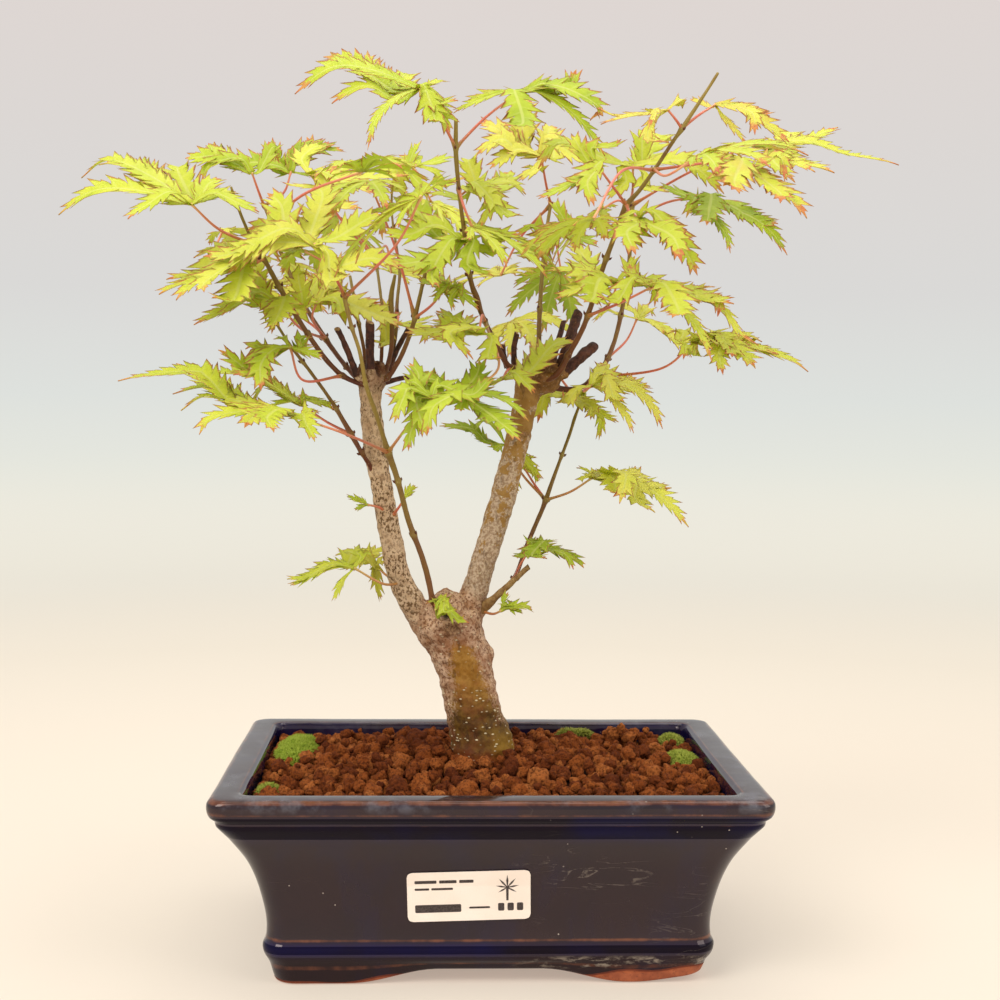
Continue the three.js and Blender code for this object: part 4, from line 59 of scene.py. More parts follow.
    {"i":"J","c":"r3_a","b":[57.3,-4.0,320.7],"n":[0.048,-0.625,0.779],"w":[4.05,6.5,6.48,4.21,6.5,3.09],"p":[[53.1,-19.1,302.5],[57.1,-4.9,309.4],[57.3,-4.0,320.7]],
     "l":[[[57.3,-4.0,320.7],[61.1,-1.2,321.1],[62.2,1.6,334.2],[69.4,4.3,333.4]],[[57.3,-4.0,320.7],[61.4,8.1,323.7],[71.2,19.8,336.8],[77.3,30.9,336.5]],[[57.3,-4.0,320.7],[74.1,-6.6,322.4],[81.5,-8.8,320.0],[93.8,-11.1,309.4]],[[57.3,-4.0,320.7],[53.0,-5.8,319.0],[54.0,-7.7,313.6],[46.5,-9.4,306.3]],[[57.3,-4.0,320.7],[47.9,-3.6,322.4],[28.0,-3.3,329.5],[18.7,-2.9,320.3]],[[57.3,-4.0,320.7],[61.5,-6.7,317.1],[61.2,-9.5,311.1],[71.1,-12.2,309.7]]]},
    {"i":"K","c":"r3_b","b":[66.9,-34.0,337.3],"n":[-0.015,-0.509,0.861],"w":[2.29,2.54,2.34,2.3,2.48],"p":[[73.2,-29.1,331.2],[70.3,-32.1,334.0],[66.9,-34.0,337.3]],
     "l":[[[66.9,-34.0,337.3],[58.8,-36.9,335.0],[51.5,-39.6,333.9],[39.9,-42.3,330.7]],[[66.9,-34.0,337.3],[59.1,-33.1,336.0],[47.7,-32.1,334.9],[39.3,-31.2,338.6]],[[66.9,-34.0,337.3],[58.4,-44.1,334.8],[59.2,-53.8,333.3],[55.4,-63.3,325.9]],[[66.9,-34.0,337.3],[72.3,-29.9,342.4],[72.0,-26.1,340.5],[75.3,-22.5,343.1]],[[66.9,-34.0,337.3],[60.2,-40.5,332.0],[57.6,-46.6,323.7],[64.9,-52.5,322.8]]]},
    {"i":"L","c":"r3_b","b":[87.4,-22.0,341.9],"n":[0.045,-0.634,0.772],"w":[3.63,5.18,4.38,1.9,2.82],"p":[[73.2,-29.1,331.2],[80.3,-26.2,337.1],[87.4,-22.0,341.9]],
     "l":[[[87.4,-22.0,341.9],[93.2,-22.3,342.5],[102.9,-22.7,337.9],[109.1,-23.0,340.4]],[[87.4,-22.0,341.9],[97.4,-24.3,340.8],[107.1,-26.4,333.8],[116.1,-28.5,327.6]],[[87.4,-22.0,341.9],[90.0,-28.8,340.4],[99.1,-35.5,336.9],[99.7,-42.1,328.0]],[[87.4,-22.0,341.9],[89.9,-27.0,336.4],[92.9,-32.0,331.2],[97.4,-37.0,325.0]],[[87.4,-22.0,341.9],[86.3,-20.2,341.3],[79.8,-18.5,344.1],[79.2,-16.9,345.7]]]},
    {"i":"M","c":"r4_a","b":[104.0,-8.0,328.5],"n":[0.004,-0.473,0.881],"w":[6.5,6.49,6.5,6.5,6.5,6.5,3.75],"p":[[64.1,52.2,311.9],[84.3,23.1,322.0],[104.0,-8.0,328.5]],
     "l":[[[104.0,-8.0,328.5],[126.6,-8.7,330.8],[144.1,-9.2,325.6],[165.6,-10.0,324.0]],[[104.0,-8.0,328.5],[118.5,-0.5,329.7],[132.1,6.7,334.5],[146.1,13.5,341.7]],[[104.0,-8.0,328.5],[111.8,-17.0,327.0],[119.6,-25.9,319.4],[132.7,-34.9,315.5]],[[104.0,-8.0,328.5],[112.1,-21.0,326.5],[113.2,-33.5,318.8],[122.4,-46.2,314.5]],[[104.0,-8.0,328.5],[111.8,-23.2,325.1],[107.9,-38.0,317.5],[113.1,-52.8,308.7]],[[104.0,-8.0,328.5],[118.3,5.2,329.3],[126.1,17.9,338.5],[132.1,30.0,341.3]],[[104.0,-8.0,328.5],[98.1,-9.0,328.4],[88.1,-10.1,323.2],[88.1,-11.2,326.9]]]},
    {"i":"N","c":"r3_c","b":[88.5,-44.0,316.9],"n":[0.175,-0.504,0.846],"w":[6.5,5.27,6.5,6.36,4.44,6.5],"p":[[63.3,-23.9,315.8],[75.8,-34.0,316.3],[88.5,-44.0,316.9]],
     "l":[[[88.5,-44.0,316.9],[96.7,-51.4,311.9],[108.2,-58.5,302.2],[115.2,-65.5,293.8]],[[88.5,-44.0,316.9],[93.1,-49.7,310.6],[105.6,-54.7,316.6],[107.8,-59.9,308.0]],[[88.5,-44.0,316.9],[92.0,-55.7,315.9],[86.9,-67.3,305.6],[87.0,-78.9,300.1]],[[88.5,-44.0,316.9],[89.2,-53.4,316.9],[87.3,-62.8,307.1],[82.3,-72.2,303.9]],[[88.5,-44.0,316.9],[86.1,-49.7,318.7],[84.1,-55.4,308.4],[80.0,-60.9,311.4]],[[88.5,-44.0,316.9],[94.7,-54.3,311.6],[104.0,-64.5,302.4],[103.1,-74.7,298.1]]]},
    {"i":"O","c":"r4_b","b":[89.8,12.0,310.5],"n":[0.088,-0.585,0.806],"w":[4.87,3.02,6.5,4.78,4.23,5.75],"p":[[64.0,50.9,305.3],[77.2,32.3,310.8],[89.8,12.0,310.5]],
     "l":[[[89.8,12.0,310.5],[100.6,4.5,304.8],[110.9,-2.8,298.0],[120.7,-10.0,286.5]],[[89.8,12.0,310.5],[89.1,1.3,304.1],[94.1,-9.1,293.9],[95.4,-19.3,285.3]],[[89.8,12.0,310.5],[90.7,2.2,310.2],[88.2,-7.8,302.2],[85.7,-18.1,295.7]],[[89.8,12.0,310.5],[86.7,6.4,302.3],[84.2,1.2,308.8],[79.6,-3.8,300.3]],[[89.8,12.0,310.5],[84.1,12.7,310.8],[79.7,13.4,311.9],[71.3,14.1,315.3]],[[89.8,12.0,310.5],[99.0,5.6,306.4],[111.1,-0.8,299.1],[117.1,-7.0,298.6]]]},
    {"i":"P","c":"r3_a","b":[55.8,-40.0,294.8],"n":[0.008,-0.613,0.79],"w":[5.84,3.35,6.16,5.85,3.87,4.85],"p":[[53.1,-19.1,302.5],[53.1,-29.7,298.5],[55.8,-40.0,294.8]],
     "l":[[[55.8,-40.0,294.8],[60.1,-45.6,296.7],[71.5,-52.5,281.3],[75.7,-57.7,272.7]],[[55.8,-40.0,294.8],[57.4,-41.2,297.9],[62.2,-42.3,295.3],[70.8,-43.4,292.3]],[[55.8,-40.0,294.8],[58.7,-49.9,291.0],[65.8,-58.6,285.6],[68.1,-67.7,276.9]],[[55.8,-40.0,294.8],[53.9,-47.8,291.7],[49.0,-55.4,287.2],[51.6,-62.8,279.1]],[[55.8,-40.0,294.8],[53.3,-40.9,297.0],[45.0,-41.9,287.8],[40.4,-42.9,288.2]],[[55.8,-40.0,294.8],[52.0,-45.5,293.1],[52.5,-50.6,285.9],[49.1,-55.6,282.7]]]},
    {"i":"Q","c":"l1_b","b":[-93.3,-36.8,274.7],"n":[-0.118,-0.439,0.891],"w":[6.5,6.5,6.5,6.5,5.89,6.47],"p":[[-89.8,-28.5,278.3],[-90.9,-33.3,276.9],[-93.3,-36.8,274.7]],
     "l":[[[-93.3,-36.8,274.7],[-106.3,-41.2,271.5],[-119.4,-45.7,266.6],[-126.7,-50.2,263.3]],[[-93.3,-36.8,274.7],[-99.2,-44.1,273.0],[-111.4,-51.3,267.5],[-119.1,-58.6,261.6]],[[-93.3,-36.8,274.7],[-104.4,-38.1,279.5],[-113.0,-39.4,271.2],[-125.6,-40.6,269.8]],[[-93.3,-36.8,274.7],[-94.3,-49.6,277.1],[-106.7,-61.8,266.9],[-106.6,-73.2,263.7]],[[-93.3,-36.8,274.7],[-103.7,-32.7,273.1],[-106.2,-28.8,282.0],[-117.8,-25.2,280.3]],[[-93.3,-36.8,274.7],[-94.8,-49.1,273.4],[-97.2,-61.4,259.9],[-103.6,-73.7,262.1]]]},
    {"i":"R","c":"l2_b","b":[-84.5,-26.0,261.5],"n":[-0.108,-0.529,0.842],"w":[5.61,4.77,5.08,3.5,6.16,3.94,6.22],"p":[[-69.0,17.8,249.6],[-77.5,-3.0,252.7],[-84.5,-26.0,261.5]],
     "l":[[[-84.5,-26.0,261.5],[-92.5,-29.6,265.6],[-105.4,-33.2,257.1],[-115.8,-36.9,252.9]],[[-84.5,-26.0,261.5],[-88.6,-24.2,258.8],[-94.0,-22.5,269.0],[-104.3,-20.9,262.2]],[[-84.5,-26.0,261.5],[-94.2,-31.0,263.4],[-97.3,-35.9,261.4],[-104.6,-40.7,256.2]],[[-84.5,-26.0,261.5],[-88.0,-34.3,261.8],[-84.0,-42.2,254.2],[-84.6,-49.7,249.4]],[[-84.5,-26.0,261.5],[-80.9,-35.6,263.2],[-82.6,-45.2,255.1],[-83.9,-55.4,250.9]],[[-84.5,-26.0,261.5],[-75.4,-24.0,260.8],[-76.7,-22.3,273.2],[-70.8,-20.4,272.9]],[[-84.5,-26.0,261.5],[-93.7,-19.2,262.2],[-95.2,-12.4,276.8],[-100.5,-5.6,278.7]]]},
    {"i":"T","c":"l2_b","b":[-71.6,4.0,264.1],"n":[-0.096,-0.744,0.662],"w":[4.05,4.21,4.15,4.56,4.74,5.12,6.5,4.11],"p":[[-69.0,17.8,249.6],[-73.3,3.4,257.1],[-71.6,4.0,264.1]],
     "l":[[[-71.6,4.0,264.1],[-78.5,0.9,265.1],[-78.1,-2.2,257.1],[-80.6,-5.2,254.0]],[[-71.6,4.0,264.1],[-71.6,7.7,260.5],[-76.6,11.4,270.9],[-88.7,15.1,267.5]],[[-71.6,4.0,264.1],[-79.5,9.3,261.8],[-72.2,14.0,274.5],[-77.4,18.7,275.1]],[[-71.6,4.0,264.1],[-68.6,5.7,266.5],[-64.2,7.4,276.6],[-64.2,9.0,284.9]],[[-71.6,4.0,264.1],[-62.5,5.8,265.0],[-67.7,7.6,277.8],[-56.3,9.3,281.6]],[[-71.6,4.0,264.1],[-66.4,4.4,270.6],[-59.5,4.9,261.7],[-45.3,5.4,265.1]],[[-71.6,4.0,264.1],[-64.2,2.6,265.5],[-46.0,1.3,258.7],[-36.3,-0.1,255.9]],[[-71.6,4.0,264.1],[-64.3,-0.6,265.8],[-61.0,-5.2,260.4],[-64.0,-9.8,258.8]]]},
    {"i":"U","c":"u3_a","b":[-31.8,46.3,327.1],"n":[-0.084,-0.713,0.696],"w":[2.73,4.62,3.72,3.1,4.04,3.26],"p":[[-42.4,50.0,319.3],[-36.2,46.3,321.1],[-31.8,46.3,327.1]],
     "l":[[[-31.8,46.3,327.1],[-35.5,48.5,326.0],[-32.5,50.5,335.2],[-31.8,52.5,338.1]],[[-31.8,46.3,327.1],[-31.4,51.4,330.8],[-44.4,56.4,327.0],[-43.8,61.2,334.3]],[[-31.8,46.3,327.1],[-34.9,43.1,324.1],[-26.4,39.8,314.3],[-28.4,36.5,315.5]],[[-31.8,46.3,327.1],[-23.3,48.6,329.2],[-18.7,50.8,331.2],[-15.3,52.9,332.4]],[[-31.8,46.3,327.1],[-40.3,44.9,328.1],[-38.7,43.4,316.3],[-44.7,42.0,317.7]],[[-31.8,46.3,327.1],[-23.1,45.3,323.7],[-21.0,44.2,318.0],[-9.5,43.2,322.8]]]},
    {"i":"V","c":"r1_b","b":[-12.5,-25.1,287.1],"n":[0.005,-0.627,0.779],"w":[6.5,6.46,6.46,5.33,4.45,4.81],"p":[[-11.6,-20.0,291.5],[-9.3,-23.2,289.1],[-12.5,-25.1,287.1]],
     "l":[[[-12.5,-25.1,287.1],[-21.7,-19.9,288.7],[-33.2,-14.9,300.8],[-52.6,-10.0,298.8]],[[-12.5,-25.1,287.1],[-22.2,-23.5,292.9],[-33.7,-21.9,289.2],[-44.5,-20.3,291.5]],[[-12.5,-25.1,287.1],[-18.4,-30.1,280.9],[-32.3,-35.1,276.9],[-42.2,-40.2,276.3]],[[-12.5,-25.1,287.1],[-17.2,-31.0,286.2],[-24.2,-36.7,272.9],[-21.2,-42.1,268.0]],[[-12.5,-25.1,287.1],[-7.9,-29.4,287.0],[-10.3,-33.7,276.4],[-0.2,-38.1,273.2]],[[-12.5,-25.1,287.1],[-1.6,-24.8,282.5],[0.8,-24.5,288.1],[11.1,-24.2,290.2]]]},
    {"i":"W","c":"r1_c","b":[-9.2,-8.0,309.8],"n":[-0.046,-0.552,0.832],"w":[4.66,6.36,4.77,5.86,3.45,4.73],"p":[[-13.9,-25.2,306.7],[-13.1,-13.1,306.3],[-9.2,-8.0,309.8]],
     "l":[[[-9.2,-8.0,309.8],[-1.5,-8.0,311.5],[6.8,-8.0,312.7],[13.5,-8.0,308.2]],[[-9.2,-8.0,309.8],[-2.2,0.4,308.9],[6.6,8.7,316.7],[5.5,16.8,321.0]],[[-9.2,-8.0,309.8],[-5.5,-2.1,309.5],[-9.7,3.8,322.7],[-4.6,9.6,320.6]],[[-9.2,-8.0,309.8],[-7.0,-14.2,311.1],[5.0,-20.5,298.3],[9.9,-26.8,297.7]],[[-9.2,-8.0,309.8],[-11.7,-8.9,305.5],[-20.6,-9.8,306.9],[-25.4,-10.7,306.2]],[[-9.2,-8.0,309.8],[-11.7,-13.1,309.5],[-0.8,-18.1,304.0],[-5.5,-23.1,292.5]]]},
    {"i":"X","c":"r2_b","b":[27.8,17.7,297.3],"n":[0.097,-0.636,0.766],"w":[3.59,3.72,4.14,4.35,6.3,3.78],"p":[[26.0,47.0,300.6],[27.1,32.3,299.9],[27.8,17.7,297.3]],
     "l":[[[27.8,17.7,297.3],[22.3,17.4,291.5],[18.8,17.0,297.9],[10.7,16.7,294.0]],[[27.8,17.7,297.3],[33.7,21.3,296.4],[27.9,24.7,308.4],[29.7,28.2,308.2]],[[27.8,17.7,297.3],[34.5,17.9,293.5],[36.6,18.1,300.6],[45.3,18.2,298.3]],[[27.8,17.7,297.3],[33.3,16.4,294.2],[43.1,15.0,291.6],[44.7,13.5,290.6]],[[27.8,17.7,297.3],[29.0,9.4,297.7],[14.9,0.9,284.0],[12.6,-7.9,283.3]],[[27.8,17.7,297.3],[26.1,15.5,292.2],[22.5,13.3,287.2],[25.3,11.1,282.1]]]},
    {"i":"Z1","c":"c1_b","b":[-23.7,-61.2,225.0],"n":[-0.073,-0.611,0.788],"w":[4.16,6.44,4.12,4.22,3.56,3.99,4.54,5.04],"p":[[-41.3,-17.3,203.0],[-33.0,-39.3,213.9],[-23.7,-61.2,225.0]],
     "l":[[[-23.7,-61.2,225.0],[-29.3,-58.1,225.2],[-28.8,-55.0,233.2],[-32.5,-52.0,238.2]],[[-23.7,-61.2,225.0],[-20.3,-50.2,224.6],[-27.7,-40.5,232.8],[-22.7,-30.4,235.4]],[[-23.7,-61.2,225.0],[-31.0,-61.2,230.5],[-31.3,-61.2,223.1],[-41.2,-61.2,226.6]],[[-23.7,-61.2,225.0],[-31.9,-64.8,228.1],[-34.2,-68.3,224.4],[-37.5,-71.3,216.0]],[[-23.7,-61.2,225.0],[-27.7,-63.1,221.1],[-31.7,-65.0,211.1],[-32.3,-67.0,205.4]],[[-23.7,-61.2,225.0],[-29.3,-64.2,224.5],[-27.8,-67.3,216.5],[-25.4,-70.5,211.4]],[[-23.7,-61.2,225.0],[-15.8,-66.9,226.2],[-23.2,-71.8,221.1],[-25.4,-75.4,211.8]],[[-23.7,-61.2,225.0],[-21.0,-59.8,229.4],[-8.8,-58.5,226.0],[-1.7,-57.0,233.7]]]},
    {"i":"Z2","c":"r1_d","b":[-13.1,-46.8,226.4],"n":[0.071,-0.486,0.871],"w":[3.42,6.5,4.39,6.5,4.88,5.11],"p":[[-2.7,-4.7,256.7],[2.0,-33.6,236.8],[-13.1,-46.8,226.4]],
     "l":[[[-13.1,-46.8,226.4],[-4.2,-49.9,226.3],[4.1,-52.9,224.0],[12.9,-55.9,217.5]],[[-13.1,-46.8,226.4],[-3.4,-55.5,219.9],[1.8,-64.3,215.5],[9.1,-73.2,210.2]],[[-13.1,-46.8,226.4],[-10.1,-53.1,228.4],[-12.8,-59.3,222.1],[-12.9,-65.5,220.4]],[[-13.1,-46.8,226.4],[-12.5,-36.9,225.0],[-5.2,-27.2,231.3],[0.1,-17.6,234.1]],[[-13.1,-46.8,226.4],[-25.1,-46.7,232.0],[-25.7,-46.5,223.1],[-35.6,-46.4,225.7]],[[-13.1,-46.8,226.4],[-13.9,-40.1,225.3],[-6.5,-33.8,233.8],[-5.1,-27.9,240.8]]]},
    {"i":"Z3","c":"r1_e","b":[5.0,-5.3,233.1],"n":[-0.136,-0.507,0.851],"w":[6.5,6.39,3.78,4.25,2.85],"p":[[8.8,6.0,237.9],[6.6,-1.3,236.3],[5.0,-5.3,233.1]],
     "l":[[[5.0,-5.3,233.1],[15.9,-1.3,236.4],[26.4,2.7,247.8],[36.6,6.6,250.3]],[[5.0,-5.3,233.1],[12.1,2.4,234.9],[22.1,10.1,244.1],[23.7,17.5,250.2]],[[5.0,-5.3,233.1],[8.9,-9.2,236.0],[13.5,-13.0,231.8],[17.4,-16.7,228.2]],[[5.0,-5.3,233.1],[-1.4,-5.6,230.8],[-12.8,-5.8,227.0],[-16.6,-6.0,232.6]],[[5.0,-5.3,233.1],[0.3,-7.2,230.9],[-6.2,-9.2,231.1],[-5.2,-11.1,222.5]]]},
    {"i":"Z4","c":"d1_a","b":[9.2,44.0,204.5],"n":[0.241,-0.423,0.874],"w":[3.91,3.15,2.36,2.21,2.56,3.46],"p":[[25.3,25.2,181.8],[15.4,33.2,192.6],[9.2,44.0,204.5]],
     "l":[[[9.2,44.0,204.5],[0.1,45.9,206.5],[-6.3,47.7,211.9],[-20.6,49.5,213.7]],[[9.2,44.0,204.5],[-0.7,49.1,206.8],[-2.7,54.2,208.8],[-11.5,59.2,214.7]],[[9.2,44.0,204.5],[3.5,50.7,213.7],[2.4,57.3,213.7],[-2.9,63.8,217.6]],[[9.2,44.0,204.5],[0.4,46.4,215.7],[-6.7,48.7,210.9],[-14.7,51.0,214.9]],[[9.2,44.0,204.5],[6.2,41.9,204.9],[3.8,39.9,203.2],[1.7,38.3,205.9]],[[9.2,44.0,204.5],[17.0,42.3,199.6],[15.5,40.9,197.4],[24.1,39.9,192.5]]]},
    {"i":"MU","c":"u4_a","b":[-19.8,-25.0,267.0],"n":[0.137,-0.535,0.834],"w":[2.91,4.32,2.82,2.49,2.08,1.15,3.27],"p":[[-31.0,-12.9,257.0],[-24.6,-18.5,261.6],[-19.8,-25.0,267.0]],
     "l":[[[-19.8,-25.0,267.0],[-17.9,-23.3,269.3],[-27.6,-21.7,271.0],[-28.1,-20.0,273.2]],[[-19.8,-25.0,267.0],[-15.5,-18.7,265.3],[-19.8,-12.8,270.6],[-22.6,-7.1,276.3]],[[-19.8,-25.0,267.0],[-16.8,-23.2,264.2],[-13.0,-21.4,270.3],[-12.7,-19.7,269.6]],[[-19.8,-25.0,267.0],[-18.6,-27.5,270.0],[-22.5,-29.8,264.8],[-22.9,-32.1,265.8]],[[-19.8,-25.0,267.0],[-13.6,-26.5,268.9],[-16.7,-28.0,264.4],[-15.2,-29.5,259.7]],[[-19.8,-25.0,267.0],[-18.7,-28.7,268.8],[-22.6,-32.1,263.7],[-22.6,-35.5,262.1]],[[-19.8,-25.0,267.0],[-14.7,-26.0,268.5],[-11.3,-26.9,264.5],[-5.6,-27.8,260.3]]]},
    {"i":"MV","c":"r1_d","b":[-5.7,-33.6,249.9],"n":[0.103,-0.462,0.881],"w":[4.9,6.22,6.5,5.89,4.13,4.74,3.73],"p":[[-2.7,-4.7,256.7],[-4.4,-25.4,257.6],[-5.7,-33.6,249.9]],
     "l":[[[-5.7,-33.6,249.9],[-15.8,-29.3,251.7],[-16.7,-25.1,256.7],[-22.5,-21.0,259.9]],[[-5.7,-33.6,249.9],[-11.9,-25.3,252.1],[-18.0,-17.4,254.4],[-23.7,-9.8,257.3]],[[-5.7,-33.6,249.9],[-6.7,-22.5,249.9],[-11.9,-11.8,252.6],[-7.2,-1.5,260.2]],[[-5.7,-33.6,249.9],[-12.4,-32.7,252.3],[-25.5,-31.9,250.1],[-34.6,-31.1,251.2]],[[-5.7,-33.6,249.9],[-12.6,-37.1,253.3],[-16.3,-40.7,247.3],[-24.0,-44.3,247.6]],[[-5.7,-33.6,249.9],[-5.3,-40.5,252.2],[-16.9,-46.2,249.7],[-8.0,-48.6,240.8]],[[-5.7,-33.6,249.9],[-0.9,-37.7,248.5],[-2.2,-41.8,240.4],[2.7,-46.0,241.3]]]},
    {"i":"MW","c":"u3_b","b":[-38.4,13.2,256.0],"n":[-0.04,-0.45,0.892],"w":[2.44,1.97,5.67,3.89,3.44,3.03],"p":[[-39.2,23.4,261.2],[-38.6,17.8,259.2],[-38.4,13.2,256.0]],
     "l":[[[-38.4,13.2,256.0],[-42.7,14.7,253.7],[-42.4,16.0,265.6],[-41.0,17.4,264.7]],[[-38.4,13.2,256.0],[-35.8,14.1,256.4],[-26.8,14.9,258.3],[-24.1,15.7,260.2]],[[-38.4,13.2,256.0],[-28.6,12.8,253.4],[-19.5,12.4,252.3],[-8.4,11.9,253.8]],[[-38.4,13.2,256.0],[-43.4,21.4,251.7],[-41.2,29.3,260.0],[-44.6,37.1,261.2]],[[-38.4,13.2,256.0],[-31.5,10.6,254.8],[-26.5,8.1,253.6],[-27.2,5.6,247.9]],[[-38.4,13.2,256.0],[-43.2,10.4,256.1],[-43.5,7.7,248.2],[-50.0,5.0,249.1]]]},
    {"i":"LMa","c":"c1_b","b":[-76.5,-52.0,217.4],"n":[0.088,-0.338,0.937],"w":[6.48,6.2,6.45,6.43,5.2,6.5,6.0,4.74,2.82],"p":[[-41.3,-17.3,203.0],[-57.6,-52.2,211.3],[-76.5,-52.0,217.4]],
     "l":[[[-76.5,-52.0,217.4],[-96.8,-48.9,220.1],[-109.2,-46.1,231.7],[-115.9,-44.0,233.9],[-144.0,-39.8,232.4]],[[-76.5,-52.0,217.4],[-94.6,-37.4,220.9],[-111.3,-23.8,230.0],[-126.7,-10.9,240.0]],[[-76.5,-52.0,217.4],[-93.8,-43.2,221.2],[-107.4,-38.6,227.9],[-124.7,-31.0,226.9]],[[-76.5,-52.0,217.4],[-93.3,-48.8,221.9],[-109.3,-46.0,224.7],[-119.3,-44.7,220.2]],[[-76.5,-52.0,217.4],[-91.5,-62.9,218.9],[-104.2,-69.9,216.6],[-107.8,-74.3,211.7]],[[-76.5,-52.0,217.4],[-80.0,-61.9,220.1],[-88.1,-71.2,217.2],[-90.8,-79.8,214.4]],[[-76.5,-52.0,217.4],[-78.3,-69.5,220.4],[-82.0,-86.6,217.0],[-77.5,-105.5,213.3]],[[-76.5,-52.0,217.4],[-71.9,-60.4,218.2],[-69.9,-68.8,214.7],[-65.8,-77.3,208.9]],[[-76.5,-52.0,217.4],[-72.1,-50.1,213.3],[-70.5,-48.3,219.7],[-66.7,-46.5,219.0]]]},
    {"i":"LMb","c":"c2_a","b":[-75.8,-7.2,221.2],"n":[0.151,-0.36,0.92],"w":[6.5,5.28,4.4,3.53,3.06,6.31,4.07],"p":[[-56.7,-8.0,210.0],[-66.7,-6.4,214.9],[-75.8,-7.2,221.2]],
     "l":[[[-75.8,-7.2,221.2],[-95.4,-3.5,232.5],[-112.2,0.3,234.7],[-123.8,2.2,236.4]],[[-75.8,-7.2,221.2],[-81.1,-2.0,223.5],[-92.0,2.6,230.2],[-99.0,7.8,222.7]],[[-75.8,-7.2,221.2],[-83.2,3.9,225.2],[-94.0,14.0,232.0],[-100.1,24.0,241.9]],[[-75.8,-7.2,221.2],[-75.8,-6.4,224.8],[-66.9,-5.7,221.8],[-63.2,-4.9,224.3]],[[-75.8,-7.2,221.2],[-75.2,-9.1,223.6],[-69.5,-10.9,222.7],[-63.2,-12.6,220.6]],[[-75.8,-7.2,221.2],[-82.1,3.6,224.2],[-76.6,14.6,223.8],[-80.7,25.7,226.8]],[[-75.8,-7.2,221.2],[-78.5,-5.9,223.2],[-87.5,-4.5,221.7],[-94.5,-3.3,219.9]]]},
    {"i":"LMc","c":"l1_c","b":[-78.8,-35.7,243.9],"n":[-0.023,-0.493,0.87],"w":[4.01,6.4,5.49,5.15,2.22,3.15,3.16,2.01],"p":[[-60.4,-6.1,233.7],[-74.7,-25.5,231.4],[-78.8,-35.7,243.9]],
     "l":[[[-78.8,-35.7,243.9],[-86.2,-35.7,240.3],[-91.7,-35.7,244.6],[-96.1,-35.7,243.7]],[[-78.8,-35.7,243.9],[-90.3,-35.7,241.0],[-93.5,-35.7,234.1],[-106.5,-35.7,243.8]],[[-78.8,-35.7,243.9],[-88.2,-40.3,242.3],[-89.4,-44.8,234.1],[-98.9,-49.8,233.4]],[[-78.8,-35.7,243.9],[-84.3,-40.9,242.8],[-88.7,-46.4,236.8],[-88.2,-52.0,227.5]],[[-78.8,-35.7,243.9],[-82.4,-26.9,248.1],[-84.1,-18.5,247.9],[-86.8,-10.4,249.1]],[[-78.8,-35.7,243.9],[-75.7,-31.8,242.4],[-75.2,-28.2,247.6],[-72.1,-24.6,248.7]],[[-78.8,-35.7,243.9],[-76.6,-37.1,243.3],[-70.4,-38.7,241.6],[-66.0,-40.2,240.4]],[[-78.8,-35.7,243.9],[-72.9,-34.5,241.1],[-74.7,-33.4,244.3],[-70.7,-32.3,245.3]]]},
    {"i":"RA","c":"r3_d","b":[50.2,-18.0,272.0],"n":[0.032,-0.558,0.829],"w":[6.02,5.5,4.33,6.45,3.96,6.5,3.89],"p":[[39.4,-5.1,259.1],[47.2,-11.7,263.3],[50.2,-18.0,272.0]],
     "l":[[[50.2,-18.0,272.0],[36.5,-14.9,270.2],[37.0,-11.7,277.2],[21.9,-8.5,278.1]],[[50.2,-18.0,272.0],[37.3,-21.5,275.6],[35.0,-25.0,269.3],[24.2,-28.5,265.3]],[[50.2,-18.0,272.0],[54.0,-18.3,275.3],[62.5,-18.5,270.6],[69.6,-18.7,269.1]],[[50.2,-18.0,272.0],[41.0,-9.2,273.9],[38.3,-0.3,283.0],[33.0,8.8,291.7]],[[50.2,-18.0,272.0],[56.9,-15.0,271.8],[55.4,-12.3,278.5],[58.0,-9.6,283.7]],[[50.2,-18.0,272.0],[42.2,-27.0,272.7],[38.3,-35.9,263.8],[34.2,-44.7,262.8]],[[50.2,-18.0,272.0],[55.9,-20.1,271.1],[64.5,-22.2,272.6],[64.4,-24.2,262.6]]]},
    {"i":"RB","c":"r3_d","b":[60.9,-40.0,268.5],"n":[0.101,-0.469,0.878],"w":[6.38,2.46,3.14,6.5,5.01,6.5,5.32,4.74],"p":[[39.4,-5.1,259.1],[50.4,-22.9,263.3],[60.9,-40.0,268.5]],
     "l":[[[60.9,-40.0,268.5],[71.7,-47.3,264.8],[81.1,-51.9,263.4],[84.4,-55.7,261.5],[83.9,-56.0,257.0]],[[60.9,-40.0,268.5],[74.5,-46.6,266.5],[86.5,-52.1,259.6],[92.0,-56.1,251.0],[99.1,-61.1,247.8]],[[60.9,-40.0,268.5],[66.1,-53.1,263.7],[72.6,-63.6,254.6],[78.5,-78.8,240.5]],[[60.9,-40.0,268.5],[62.9,-56.6,268.8],[66.3,-72.7,257.5],[62.0,-88.3,255.8]],[[60.9,-40.0,268.5],[68.7,-40.0,263.7],[74.1,-40.0,266.5],[85.5,-40.0,270.2]],[[60.9,-40.0,268.5],[70.8,-46.0,267.9],[79.0,-52.1,262.8],[89.7,-58.3,262.2]],[[60.9,-40.0,268.5],[66.6,-32.8,270.4],[56.4,-25.8,272.7],[54.5,-19.0,279.8]],[[60.9,-40.0,268.5],[53.6,-41.9,271.9],[46.9,-43.9,262.7],[39.2,-45.9,265.4]]]},
    {"i":"RC","c":"r4_c","b":[81.6,-16.0,248.6],"n":[0.055,-0.373,0.926],"w":[5.93,6.5,6.5,6.49,4.92,6.5,5.11,3.74,4.31],"p":[[46.8,28.5,235.0],[71.5,7.0,238.3],[81.6,-16.0,248.6]],
